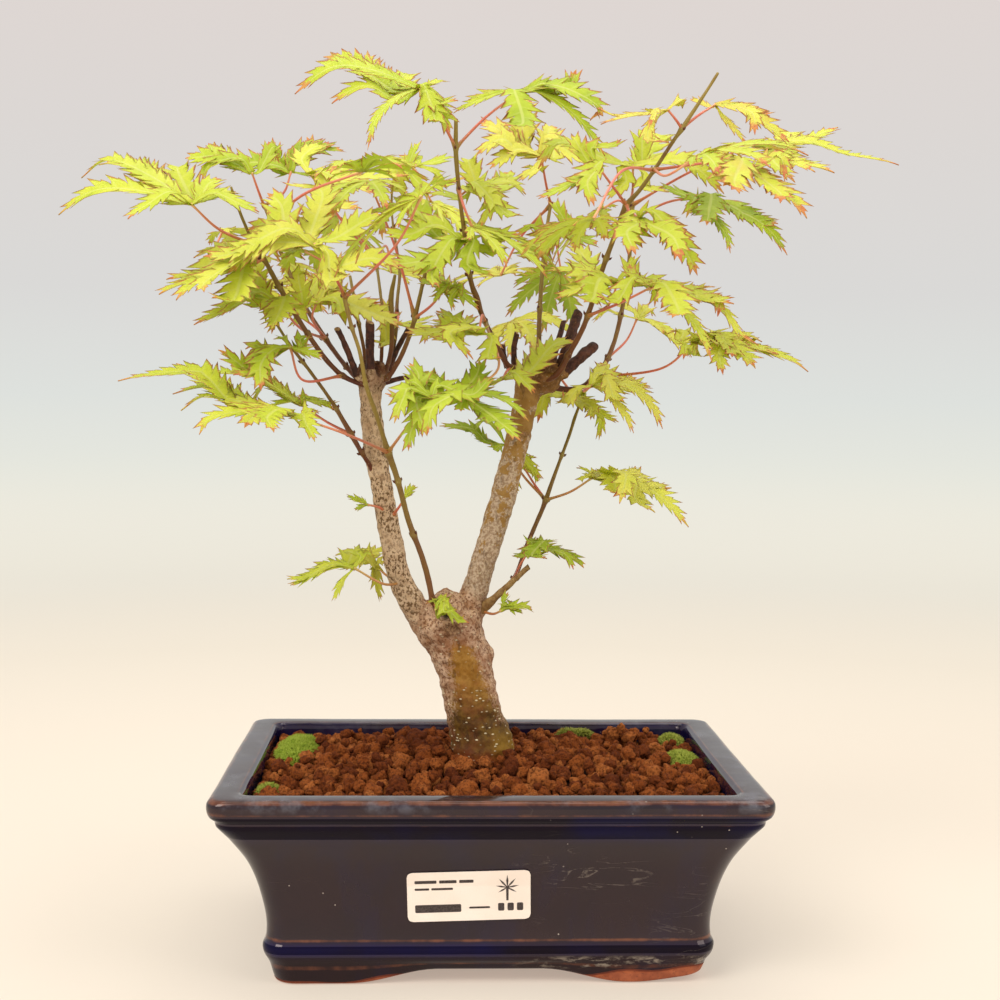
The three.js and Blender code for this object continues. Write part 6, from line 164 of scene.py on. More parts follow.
     "l":[[[-100.7,44.0,272.2],[-86.6,45.6,274.5],[-72.6,48.8,273.7],[-60.9,53.1,270.5]],[[-100.7,44.0,272.2],[-92.6,50.2,275.7],[-84.2,56.7,276.4],[-76.9,62.5,274.9]],[[-100.7,44.0,272.2],[-89.3,38.7,271.7],[-78.1,33.4,268.0],[-68.7,29.0,262.3]],[[-100.7,44.0,272.2],[-98.3,52.1,276.1],[-96.5,60.9,277.7],[-95.4,68.8,277.3]],[[-100.7,44.0,272.2],[-96.3,36.6,270.4],[-91.5,29.8,266.5],[-87.1,24.5,261.7]],[[-100.7,44.0,272.2],[-101.6,48.2,274.1],[-102.7,52.5,274.8],[-103.9,56.4,274.5]],[[-100.7,44.0,272.2],[-101.7,39.7,271.0],[-102.8,35.7,268.7],[-103.8,32.4,265.9]]]},
    {"i":"E18","c":"c1_a","b":[-73.2,-36.2,280.8],"n":[0.131,-0.073,0.989],"w":[4.6,4.35,4.6,3.75,3.84,2.4,2.34],"p":[[-58.0,-30.0,263.8],[-64.3,-32.4,275.3],[-73.2,-36.2,280.8]],
     "l":[[[-73.2,-36.2,280.8],[-82.6,-27.7,283.3],[-92.8,-19.7,281.5],[-102.1,-13.2,276.8]],[[-73.2,-36.2,280.8],[-83.3,-35.7,282.6],[-93.7,-36.4,281.0],[-102.7,-38.0,276.9]],[[-73.2,-36.2,280.8],[-76.9,-24.6,282.7],[-81.1,-13.0,280.7],[-85.2,-3.0,275.8]],[[-73.2,-36.2,280.8],[-81.2,-39.1,282.1],[-89.5,-42.1,280.5],[-96.6,-44.6,276.9]],[[-73.2,-36.2,280.8],[-71.9,-27.3,281.7],[-70.9,-18.3,279.7],[-70.4,-10.4,275.7]],[[-73.2,-36.2,280.8],[-75.1,-40.8,281.0],[-77.3,-45.4,279.5],[-79.2,-49.2,277.0]],[[-73.2,-36.2,280.8],[-69.3,-33.2,280.7],[-65.7,-29.9,279.2],[-62.9,-26.9,276.6]]]},
    {"i":"X1","c":"ls_b","b":[-49.9,-4.0,181.0],"n":[0.1,-0.75,0.65],"w":[1.6,1.5,1.4],"p":[[-43.1,3.0,178.1],[-45.9,-1.0,180.0],[-49.9,-4.0,181.0]],"l":[[[-49.9,-4.0,181.0],[-54.2,-4.0,183.2],[-58.5,-4.0,184.6]],[[-49.9,-4.0,181.0],[-52.5,-4.0,180.3],[-55.2,-4.0,178.9]],[[-49.9,-4.0,181.0],[-52.1,-4.0,182.6],[-54.4,-4.0,183.4]]]},
    {"i":"X2","c":"ls_b","b":[-35.1,-4.0,183.5],"n":[-0.3,-0.8,0.5],"w":[2.6],"p":[[-39.4,3.0,176.8],[-37.2,-1.0,180.0],[-35.1,-4.0,183.5]],"l":[[[-35.1,-4.0,183.5],[-33.1,-4.0,186.4],[-30.6,-4.0,189.3]]]},
]
# shoots and cut stubs: centre points and radii
SHOOTS = {
    "C1": [[-22.5,-4.0,140.63,1.27],[-25.03,-6.0,151.2,1.23],[-27.95,-8.0,161.27,1.14],[-32.9,-10.0,174.51,1.14],[-37.78,-14.0,192.58,1.13],[-40.96,-17.0,201.93,1.41],[-43.33,-19.0,209.57,0.96],[-46.05,-22.0,218.34,0.96],[-49.88,-26.0,229.73,0.87],[-52.2,-28.0,242.2,0.79],[-55.31,-29.0,251.88,0.75],[-57.63,-30.0,260.74,0.87],[-58.03,-30.0,263.84,0.79]],
    "C2": [[-49.24,-1.0,196.86,0.93],[-53.13,-6.0,203.55,0.92],[-56.71,-8.0,210.07,1.1],[-64.31,-10.0,222.97,0.77],[-73.44,-12.0,235.73,0.69],[-80.88,-14.0,245.58,0.65],[-85.87,-16.0,253.39,0.52],[-91.21,-18.0,259.94,0.44]],
    "L1": [[-52.99,-3.0,230.47,1.03],[-60.16,-6.0,233.59,1.02],[-65.24,-9.0,238.31,1.02],[-69.86,-12.0,244.19,1.01],[-76.74,-16.0,254.69,1.01],[-83.7,-22.0,266.83,1.0],[-89.32,-28.0,277.55,0.91],[-92.85,-31.0,282.22,0.83],[-94.54,-33.0,286.59,0.63],[-96.98,-35.0,292.45,0.59],[-99.02,-37.0,298.25,0.55],[-101.03,-39.0,304.39,0.47]],
    "L2": [[-53.86,6.0,231.85,1.04],[-58.24,10.0,236.03,0.97],[-63.92,14.0,242.76,0.97],[-69.25,18.0,249.98,1.06],[-76.49,24.0,260.74,0.94],[-81.7,30.0,269.57,0.87],[-86.03,35.0,278.89,0.87],[-89.01,39.0,285.22,0.79],[-92.46,43.0,294.21,0.66],[-95.39,46.0,302.3,0.8],[-98.23,48.0,308.58,0.58]],
    "U1": [[-43.83,3.0,234.78,1.04],[-41.03,4.0,244.72,0.96],[-40.72,5.0,257.13,0.96],[-41.22,6.0,266.24,1.13],[-39.56,4.0,275.54,0.62]],
    "U2": [[-45.71,9.0,235.73,0.84],[-45.12,14.0,247.15,0.76],[-44.9,18.0,257.82,0.72],[-46.45,24.0,270.84,0.64],[-48.45,30.0,284.05,0.56]],
    "U3": [[-42.45,11.0,236.64,0.84],[-40.15,16.0,247.29,0.8],[-39.11,22.0,258.12,0.86],[-39.23,25.0,265.08,0.73],[-38.21,32.0,280.11,0.65],[-39.71,38.0,289.24,0.57],[-42.14,44.0,305.0,0.49],[-42.4,50.0,319.27,0.49]],
    "U4": [[-42.39,-3.0,233.03,1.03],[-37.86,-6.0,239.51,1.02],[-34.59,-9.0,246.32,0.94],[-31.76,-12.0,254.25,0.93],[-29.37,-15.0,264.09,0.81],[-27.4,-18.0,272.62,0.72],[-26.24,-19.0,277.29,0.6]],
    "U5": [[-51.48,8.0,235.64,0.84],[-52.55,12.0,244.9,0.76],[-54.88,16.0,255.5,0.76],[-56.81,20.0,264.94,0.72],[-59.25,25.0,276.67,0.6]],
    "R1": [[8.8,6.0,237.9,1.25],[3.99,2.0,244.33,1.12],[-0.36,-2.0,252.31,1.03],[-3.81,-6.0,258.97,1.02],[-5.98,-9.0,265.21,1.3],[-8.98,-13.0,273.68,0.93],[-11.66,-20.0,291.58,0.84],[-13.83,-25.0,306.18,0.79],[-15.18,-30.0,320.1,0.91],[-15.32,-33.0,332.62,0.78]],
    "R2": [[21.73,26.0,243.28,1.29],[21.88,30.0,252.88,1.08],[22.5,35.0,265.66,1.0],[24.01,41.0,283.92,0.88],[25.99,47.0,300.7,0.8],[27.85,50.0,312.05,0.67]],
    "R3": [[27.76,8.0,235.24,1.34],[33.08,3.0,244.7,1.16],[37.8,-3.0,254.35,1.07],[41.66,-8.0,266.69,1.06],[45.14,-12.0,279.3,1.01],[49.75,-16.0,292.93,1.01],[52.88,-19.0,302.12,1.12],[57.74,-21.0,307.84,0.84],[63.58,-24.0,316.12,0.76],[70.34,-28.0,326.88,0.75],[72.88,-29.0,330.62,0.87],[81.97,-32.0,344.87,0.63],[86.18,-34.0,351.81,0.59]],
    "R4": [[29.32,22.0,230.03,1.28],[37.22,24.0,229.71,1.16],[43.93,27.0,232.83,1.12],[48.94,30.0,237.68,1.08],[54.89,36.0,249.64,1.0],[58.78,41.0,263.89,1.01],[62.02,46.0,280.95,0.89],[63.58,50.0,299.39,0.94],[64.06,51.0,305.68,1.12],[64.16,53.0,316.08,0.81]],
    "D1": [[6.73,14.0,144.06,1.06],[11.88,16.0,149.42,0.97],[17.09,20.0,162.78,0.94],[23.63,24.0,177.59,0.99],[24.95,25.0,181.0,1.07],[29.86,29.0,194.25,0.78],[35.74,34.0,209.37,0.7],[38.44,36.0,217.67,0.74],[40.65,37.0,223.36,0.52]],
}
STUBS = {
    "Ls1": [[-54.48,-6.0,233.65,1.23],[-57.18,-9.0,241.22,1.22],[-59.85,-12.0,247.91,1.09],[-62.14,-14.0,252.18,1.09]],
    "Ls2": [[-49.29,-4.0,233.75,1.85],[-49.31,-5.0,246.32,1.72],[-49.31,-6.0,255.58,1.72]],
    "Ls3": [[-43.78,2.0,231.06,1.12],[-38.0,1.0,232.74,0.95],[-32.64,0.0,233.6,0.87]],
    "Ls4": [[-42.0,10.0,235.79,1.05],[-38.82,14.0,245.13,1.06],[-33.13,20.0,256.39,0.98]],
    "Rs1": [[10.87,14.0,237.3,1.37],[10.36,14.0,245.69,1.14],[11.5,13.0,252.78,1.05]],
    "Rs2": [[29.87,14.0,238.34,1.9],[34.12,16.0,251.09,2.12],[37.56,18.0,261.77,2.0]],
    "Rs3": [[26.78,24.0,239.86,1.5],[29.49,27.0,248.54,1.29],[32.62,30.0,259.02,1.08]],
    "Rs4": [[31.23,20.0,235.97,2.13],[39.02,22.0,242.91,2.35],[45.15,24.0,248.17,2.14]],
    "Rs5": [[7.66,18.0,238.21,1.06],[6.34,18.0,243.26,1.06],[5.91,19.0,248.36,0.85]],
    "Ds1": [[-3.08,10.0,135.14,1.89],[0.2,8.0,138.8,1.88],[4.68,5.0,143.42,1.37],[16.72,-2.0,155.78,1.03]],
}
LSTEM = [[-24.13,9.0,128.39,7.13],[-28.37,8.5,134.38,6.07],[-32.18,8.0,140.34,5.55],[-35.77,7.5,146.72,5.02],[-38.53,7.0,155.18,4.81],[-40.46,6.5,165.71,4.7],[-42.15,6.0,174.12,4.59],[-43.62,5.0,182.53,4.48],[-45.08,4.0,190.9,4.47],[-46.54,3.0,199.22,4.67],[-47.8,2.5,207.51,4.67],[-48.64,2.0,215.76,4.56],[-49.28,1.5,224.0,4.56],[-49.1,1.5,228.94,5.18],[-47.91,2.0,233.48,5.6],[-47.12,2.5,236.38,4.15]]
RSTEM = [[-10.2,11.0,130.72,7.99],[-8.12,11.5,135.77,6.52],[-6.67,12.0,139.97,5.9],[-4.59,12.5,146.31,5.58],[-2.32,13.0,154.78,5.27],[1.21,14.0,165.34,5.39],[3.5,15.0,173.79,5.5],[6.2,15.5,182.28,5.4],[8.05,16.0,190.77,5.3],[10.33,16.5,199.26,5.19],[12.39,17.0,207.76,5.2],[14.11,17.5,216.25,5.1],[15.88,18.0,224.75,5.31],[17.09,18.0,230.69,5.95],[19.16,18.0,235.79,7.22],[20.82,18.0,239.62,5.52]]
TRUNK = [[-1.4,9,67,12.78],[-1.5,9.5,73.3,12.79],[-1.8,10,79.6,12.91],[-4.7,10,89.5,11.65],[-6.4,10,97.6,11.65],[-8.3,10,105.7,11.52],[-9.7,10,113.4,12.13],[-11.3,10,118.5,12.49],[-13.1,10,123.2,12.17],[-15.1,10,128.3,13.6],[-16.4,10,132.5,14.48]]
BALLS = [(-17,7,135.5,9.5),(-49,2.4,233.5,6.4),(22.5,19.5,236.5,9.2),(-1.2,9,117.6,4.2)]
ROOTS = {"L":[-48.6,2.2,230.5],"U":[-48.2,3.5,231],"R":[20.5,18.8,233],"C1":[-17,6,133],"C2":[-47.6,3,193],"D":[-6,10.5,132],"L1":[-48.6,2.2,230.5],"L2":[-48.6,2.2,230.5],"U1":[-48.2,3.5,231],"U2":[-48.2,3.5,231],"U3":[-48.2,3.5,231],"U4":[-48.2,3.5,231],"U5":[-48.2,3.5,231],"R1":[20.5,18.8,233],"R2":[20.5,18.8,233],"R3":[20.5,18.8,233],"R4":[20.5,18.8,233],"D1":[-6,10.5,132]}
ATT = {"l1_a":["L1",[-93.47,-31.68,283.52,0.77]],"l1_b":["L1",[-89.81,-28.46,278.32,0.9]],"l1_c":["L1",[-60.37,-6.1,233.73,1.02]],"l2_a":["L2",[-98.23,48.0,308.58,0.58]],"l2_b":["L2",[-68.99,17.8,249.61,1.06]],"u2_a":["U2",[-48.45,30.0,284.05,0.56]],"c1_a":["C1",[-58.03,-30.0,263.84,0.79]],"c1_b":["C1",[-41.31,-17.3,203.01,1.38]],"crotch":["C1",[-22.88,-4.3,142.23,1.27]],"r1_a":["R1",[-15.27,-30.58,322.14,0.9]],"r1_b":["R1",[-11.64,-19.96,291.48,0.84]],"r1_c":["R1",[-13.9,-25.2,306.74,0.8]],"r1_d":["R1",[-2.74,-4.68,256.72,1.0]],"r1_e":["R1",[8.8,6.0,237.9,1.25]],"r2_a":["R2",[27.7,49.77,311.18,0.68]],"r2_b":["R2",[25.97,46.96,300.57,0.8]],"r3_a":["R3",[53.07,-19.12,302.46,1.12]],"r3_b":["R3",[73.23,-29.12,331.16,0.86]],"r3_c":["R3",[63.33,-23.86,315.75,0.76]],"r3_d":["R3",[39.44,-5.14,259.12,1.06]],"r4_a":["R4",[64.14,52.18,311.86,0.95]],"r4_b":["R4",[64.04,50.93,305.26,1.12]],"r4_c":["R4",[46.83,28.51,235.02,1.1]],"r4_d":["R4",[52.15,33.04,243.4,1.04]],"r4_e":["R4",[44.13,27.1,232.96,1.12]],"u3_a":["U3",[-42.4,50.0,319.27,0.49]],"u3_b":["U3",[-39.16,23.38,261.19,0.8]],"u4_a":["U4",[-31.01,-12.88,257.04,0.9]],"d1_a":["D1",[25.26,25.24,181.81,1.06]],"d1_b":["D1",[40.65,37.0,223.36,0.52]],"d1_c":["D1",[11.29,15.68,148.45,0.98]],"ds_a":["Ds1",[-2.6,9.71,135.67,1.89]],"ls_a":["LS",[-36.18,7.43,147.7,4.97]],"ls_b":["LS",[-36.18,7.43,147.7,4.97]],"c2_a":["C2",[-56.69,-7.99,210.05,1.1]]}
YOUNG = ["K","L","N","E08","E15"]
WORLD = 0.55
LIGHTS = [
    ("key", (-1.0, -1.1, 1.5), (0, 0, 0.15), 1.1, 26, (1.0, 0.985, 0.95)),
    ("fill", (1.3, -0.8, 0.9), (0, 0, 0.15), 1.0, 9, (1.0, 0.98, 0.96)),
    ("top", (0.1, 0.2, 1.7), (0, 0, 0.1), 1.3, 14, (1.0, 0.99, 0.97)),
]

# ---------------------------------------------------------------- helpers
R = random.Random(20260)
NR = np.random.RandomState(417)
MM = 0.001


def lin(r, g, b):
    f = lambda c: (c / 255 / 12.92) if c / 255 <= 0.04045 else ((c / 255 + 0.055) / 1.055) ** 2.4
    return (f(r), f(g), f(b), 1.0)


def unit(v):
    v = np.asarray(v, float)
    return v / (np.linalg.norm(v, axis=-1, keepdims=True) + 1e-12)


def curve(P, n):
    P = np.asarray(P, float)
    if len(P) == 2:
        return P[0] + (P[1] - P[0]) * np.linspace(0, 1, n)[:, None]
    Q = np.vstack([2 * P[0] - P[1], P, 2 * P[-1] - P[-2]])
    seg = np.linalg.norm(np.diff(P[:, :3], axis=0), axis=1)
    cum = np.concatenate([[0], np.cumsum(seg)])
    out = []
    for t in np.linspace(0, cum[-1], n) if np.isscalar(n) else np.asarray(n) * cum[-1]:
        i = min(int(np.searchsorted(cum, t, side="right")) - 1, len(P) - 2)
        i = max(i, 0)
        u = (t - cum[i]) / max(seg[i], 1e-9)
        a, b, c, d = Q[i], Q[i + 1], Q[i + 2], Q[i + 3]
        out.append(0.5 * (2 * b + (c - a) * u + (2 * a - 5 * b + 4 * c - d) * u * u + (3 * b - a - 3 * c + d) * u ** 3))
    return np.array(out)


def length(P):
    return float(np.linalg.norm(np.diff(np.asarray(P, float)[:, :3], axis=0), axis=1).sum())


class Acc:
    """Gathers several closed bodies into one mesh, with float attributes on its points and a material index on its faces."""

    def __init__(self, names):
        self.V, self.F, self.M, self.n = [], [], [], 0
        self.A = {k: [] for k in names}

    def add(self, V, F, mat=0, **attr):
        V = np.asarray(V, float)
        self.V.append(V)
        o = self.n
        self.F.extend([tuple(int(i) + o for i in f) for f in F])
        self.M.extend([mat] * len(F))
        for k in self.A:
            a = attr.get(k, 0.0)
            self.A[k].append(np.full(len(V), a, float) if np.isscalar(a) else np.asarray(a, float))
        self.n += len(V)

    def make(self, name, mats, nodes=(), smooth=True, sharp=None):
        me = bpy.data.meshes.new(name)
        V = np.vstack(self.V) * MM
        me.from_pydata(V.tolist(), [], self.F)
        for m in mats:
            me.materials.append(m)
        me.polygons.foreach_set("material_index", np.array(self.M, np.int32))
        me.polygons.foreach_set("use_smooth", np.full(len(self.F), bool(smooth)))
        for k, a in self.A.items():
            at = me.attributes.new(k, "FLOAT", "POINT")
            at.data.foreach_set("value", np.concatenate(a).astype(np.float32))
        me.update()
        me.validate()
        bm = bmesh.new()
        bm.from_mesh(me)
        bmesh.ops.recalc_face_normals(bm, faces=bm.faces)
        bm.to_mesh(me)
        bm.free()
        if sharp:
            me.set_sharp_from_angle(angle=math.radians(sharp))
        ob = bpy.data.objects.new(name, me)
        bpy.context.scene.collection.objects.link(ob)
        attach(ob, "root")
        if nodes:
            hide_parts(*nodes)
        return ob


def frames(C):
    """Tangents and two side directions along a line, carried along it without twisting."""
    T = unit(np.gradient(C, axis=0))
    a = np.array([0, 1.0, 0]) if abs(T[0][1]) < 0.9 else np.array([1.0, 0, 0])
    X = [unit(np.cross(T[0], a))]
    for i in range(1, len(C)):
        x = X[-1] - T[i] * np.dot(X[-1], T[i])
        X.append(unit(x))
    X = np.array(X)
    return T, X, np.cross(T, X)


def tube(C, r, sides=12, rough=0.0, seed=0, flat_end=False):
    """A closed tube along C with radii r. Returns points, faces and the share of the way along at each point."""
    C = np.asarray(C, float)
    n = len(C)
    T, X, Y = frames(C)
    a = np.linspace(0, 2 * math.pi, sides, endpoint=False)
    V, S = [], []
    cum = np.concatenate([[0], np.cumsum(np.linalg.norm(np.diff(C, axis=0), axis=1))])
    for i in range(n):
        ring = C[i] + (np.cos(a)[:, None] * X[i] + np.sin(a)[:, None] * Y[i]) * r[i]
        if rough:
            for k in range(sides):
                d = ring[k] - C[i]
                ring[k] += d * rough * noise.noise(Vector(ring[k] * 0.35 + seed))
        V.extend(ring)
        S.extend([cum[i] / cum[-1]] * sides)
    F = []
    for i in range(n - 1):
        for k in range(sides):
            k2 = (k + 1) % sides
            F.append((i * sides + k, i * sides + k2, (i + 1) * sides + k2, (i + 1) * sides + k))
    V.append(C[0] - T[0] * (0 if flat_end else 0.3 * r[0]))
    V.append(C[-1] + T[-1] * (0 if flat_end else 0.5 * r[-1]))
    S += [0.0, 1.0]
    b, e = n * sides, n * sides + 1
    for k in range(sides):
        k2 = (k + 1) % sides
        F.append((b, k2, k))
        F.append((e, (n - 1) * sides + k, (n - 1) * sides + k2))
    return np.array(V), F, np.array(S)


# ---------------------------------------------------------------- node material helpers
class Mat:
    def __init__(self, name):
        self.m = bpy.data.materials.new(name)
        self.m.use_nodes = True
        self.t = self.m.node_tree
        self.t.nodes.clear()
        self.out = self.t.nodes.new("ShaderNodeOutputMaterial")

    def n(self, kind, **kw):
        x = self.t.nodes.new("ShaderNode" + kind)
        for k, v in kw.items():
            setattr(x, k, v)
        return x

    def link(self, a, b):
        self.t.links.new(a, b)

    def val(self, sock, v):
        if hasattr(v, "is_linked") or isinstance(v, bpy.types.NodeSocket):
            self.link(v, sock)
        else:
            sock.default_value = v

    def attr(self, name):
        return self.n("Attribute", attribute_name=name).outputs["Fac"]

    def coord(self, scale=(1, 1, 1)):
        c = self.n("TexCoord").outputs["Object"]
        mp = self.n("Mapping")
        mp.inputs["Scale"].default_value = scale
        self.link(c, mp.inputs["Vector"])
        return mp.outputs[0]

    def math(self, op, a, b=0.0, c=None, clamp=False):
        x = self.n("Math", operation=op, use_clamp=clamp)
        self.val(x.inputs[0], a)
        self.val(x.inputs[1], b)
        if c is not None:
            self.val(x.inputs[2], c)
        return x.outputs[0]

    def rng(self, v, a, b, lo=0.0, hi=1.0):
        x = self.n("MapRange", interpolation_type="SMOOTHSTEP")
        self.val(x.inputs["Value"], v)
        self.val(x.inputs["From Min"], a)
        self.val(x.inputs["From Max"], b)
        self.val(x.inputs["To Min"], lo)
        self.val(x.inputs["To Max"], hi)
        return x.outputs["Result"]

    def mix(self, f, a, b, mode="MIX"):
        x = self.n("Mix", data_type="RGBA", blend_type=mode)
        x.clamp_factor = True
        self.val(x.inputs[0], f)
        self.val(x.inputs[6], a)
        self.val(x.inputs[7], b)
        return x.outputs[2]

    def noise(self, scale, detail=3, rough=0.55, vec=None, dist=0.0, out="Fac"):
        x = self.n("TexNoise")
        x.inputs["Scale"].default_value = scale
        x.inputs["Detail"].default_value = detail
        x.inputs["Roughness"].default_value = rough
        x.inputs["Distortion"].default_value = dist
        self.link(vec if vec is not None else self.coord(), x.inputs["Vector"])
        return x.outputs[out]

    def voro(self, scale, out="Distance", feature="F1", vec=None, rand=1.0):
        x = self.n("TexVoronoi", feature=feature)
        x.inputs["Scale"].default_value = scale
        x.inputs["Randomness"].default_value = rand
        self.link(vec if vec is not None else self.coord(), x.inputs["Vector"])
        return x.outputs[out]

    def ramp(self, f, stops):
        x = self.n("ValToRGB")
        e = x.color_ramp.elements
        while len(e) > 1:
            e.remove(e[-1])
        e[0].position, e[0].color = stops[0]
        for p, c in stops[1:]:
            k = e.new(p)
            k.color = c
        self.val(x.inputs[0], f)
        return x.outputs[0]

    def z(self):
        s = self.n("SeparateXYZ")
        self.link(self.n("TexCoord").outputs["Object"], s.inputs[0])
        return s.outputs

    def bump(self, h, strength=0.3, dist=0.0005, normal=None):
        x = self.n("Bump")
        x.inputs["Strength"].default_value = strength
        x.inputs["Distance"].default_value = dist
        self.link(h, x.inputs["Height"])
        if normal is not None:
            self.link(normal, x.inputs["Normal"])
        return x.outputs[0]

    def surface(self, color, rough, bump=None, spec=0.5, coat=0.0, coat_rough=0.03, sheen=0.0, ior=None, translucent=None, tcolor=None):
        p = self.n("BsdfPrincipled")
        self.val(p.inputs["Base Color"], color)
        self.val(p.inputs["Roughness"], rough)
        p.inputs["Specular IOR Level"].default_value = spec
        p.inputs["Coat Weight"].default_value = coat
        p.inputs["Coat Roughness"].default_value = coat_rough
        p.inputs["Sheen Weight"].default_value = sheen
        if ior:
            p.inputs["IOR"].default_value = ior
        if bump is not None:
            self.link(bump, p.inputs["Normal"])
        last = p.outputs[0]
        if translucent:
            tr = self.n("BsdfTranslucent")
            self.val(tr.inputs["Color"], tcolor if tcolor is not None else color)
            ms = self.n("MixShader")
            ms.inputs[0].default_value = translucent
            self.link(last, ms.inputs[1])
            self.link(tr.outputs[0], ms.inputs[2])
            last = ms.outputs[0]
        self.link(last, self.out.inputs["Surface"])
        return self.m


# ---------------------------------------------------------------- materials
def leaf_material():
    m = Mat("maple_leaf")
    s, u, ph, lr, rd, und = [m.attr(k) for k in ("s", "u", "ph", "lr", "rd", "und")]
    big = m.noise(90, 2, 0.5)
    fine = m.noise(1400, 3, 0.6)
    tone = m.math("ADD", m.math("MULTIPLY", big, 0.55), m.math("MULTIPLY", lr, 0.62))
    green = m.ramp(tone, [(0.12, lin(152, 178, 44)), (0.42, lin(208, 222, 64)), (0.68, lin(232, 234, 86)), (0.95, lin(246, 236, 116))])
    green = m.mix(m.math("MULTIPLY", m.rng(fine, 0.35, 0.7), 0.16), green, lin(150, 158, 42))
    # side veins run from the midrib to the point of each tooth
    fr = m.math("FRACT", ph)
    d = m.math("ABSOLUTE", m.math("SUBTRACT", fr, 0.5))
    vein = m.math("MULTIPLY", m.rng(d, 0.10, 0.03), m.rng(u, 1.02, 0.6))
    rib = m.rng(u, 0.15, 0.05)
    vein = m.math("MAXIMUM", m.math("MULTIPLY", vein, 0.20), m.math("MULTIPLY", rib, 0.50))
    col = m.mix(vein, green, lin(236, 236, 150))
    # orange-red margins and tips, stronger on young leaves
    e = m.math("ADD", m.rng(u, 0.66, 1.0), m.math("MULTIPLY", m.rng(s, 0.74, 0.97), 0.95))
    e = m.math("ADD", e, m.math("MULTIPLY", m.math("SUBTRACT", m.noise(420, 2, 0.6), 0.5), 1.5))
    e = m.math("ADD", e, m.math("MULTIPLY", m.math("SUBTRACT", rd, 0.40), 0.55))
    edge = m.rng(e, 0.50, 0.98)
    red = m.mix(m.rng(m.noise(260, 2), 0.35, 0.65), lin(238, 166, 104), lin(222, 108, 88))
    col = m.mix(m.math("MULTIPLY", edge, 0.9), col, red)
    # a warm flush in patches on the youngest
    flush = m.math("MULTIPLY", m.rng(rd, 0.62, 1.0), m.rng(m.noise(150, 2), 0.42, 0.66))
    col = m.mix(m.math("MULTIPLY", flush, 0.28), col, lin(238, 186, 104))
    under = m.mix(0.35, col, lin(160, 184, 100))
    col = m.mix(m.math("MULTIPLY", und, 0.8), col, under)
    h = m.math("ADD", m.math("MULTIPLY", vein, -0.8), m.math("MULTIPLY", fine, 0.5))
    nb = m.bump(h, 0.35, 0.0004)
    tcol = m.mix(0.30, col, lin(222, 238, 60))
    return m.surface(col, 0.46, nb, spec=0.32, translucent=0.42, tcolor=tcol)


def petiole_material():
    m = Mat("leaf_stalk")
    s, rd = m.attr("s"), m.attr("rd")
    nz = m.noise(300, 2)
    f = m.math("ADD", m.math("MULTIPLY", s, 0.9), m.math("MULTIPLY", m.math("SUBTRACT", nz, 0.5), 0.35))
    red = m.ramp(f, [(0.0, lin(150, 118, 48)), (0.10, lin(188, 108, 66)), (0.40, lin(206, 104, 86)), (0.78, lin(218, 134, 104)), (1.0, lin(216, 186, 112))])
    grn = m.ramp(f, [(0.0, lin(140, 124, 46)), (0.15, lin(176, 128, 66)), (0.5, lin(200, 140, 88)), (0.8, lin(204, 164, 96)), (1.0, lin(204, 196, 98))])
    col = m.mix(m.rng(rd, 0.25, 0.6), grn, red)
    col = m.mix(m.math("MULTIPLY", m.rng(m.noise(1800, 2), 0.5, 0.75), 0.35), col, lin(240, 150, 120))
    return m.surface(col, 0.38, m.bump(m.noise(900, 3), 0.2, 0.0002), spec=0.45)


def twig_material():
    m = Mat("young_wood")
    s, bn, nd = m.attr("s"), m.attr("bn"), m.attr("nd")
    nz = m.noise(160, 3)
    f = m.math("ADD", m.math("SUBTRACT", m.math("ADD", s, m.math("MULTIPLY", m.math("SUBTRACT", nz, 0.5), 0.35)), bn), 0.0)
    col = m.ramp(f, [(0.0, lin(90, 44, 24)), (0.22, lin(112, 66, 28)), (0.5, lin(124, 96, 34)), (0.8, lin(134, 112, 42)), (1.0, lin(150, 126, 56))])
    # patches of redder brown, placed by noise
    col = m.mix(m.math("MULTIPLY", m.rng(m.noise(70, 2), 0.5, 0.7), 0.5), col, lin(104, 52, 30))
    col = m.mix(m.math("MULTIPLY", nd, 0.75), col, lin(150, 132, 64))
    st = m.coord((1, 1, 0.22))
    dots = m.rng(m.voro(900, vec=st), 0.16, 0.08)
    col = m.mix(m.math("MULTIPLY", dots, 0.5), col, lin(176, 160, 108))
    h = m.math("ADD", m.noise(1200, 4, vec=m.coord((1, 1, 0.25))), m.math("MULTIPLY", dots, 0.5))
    return m.surface(col, 0.5, m.bump(h, 0.35, 0.0003), spec=0.4)


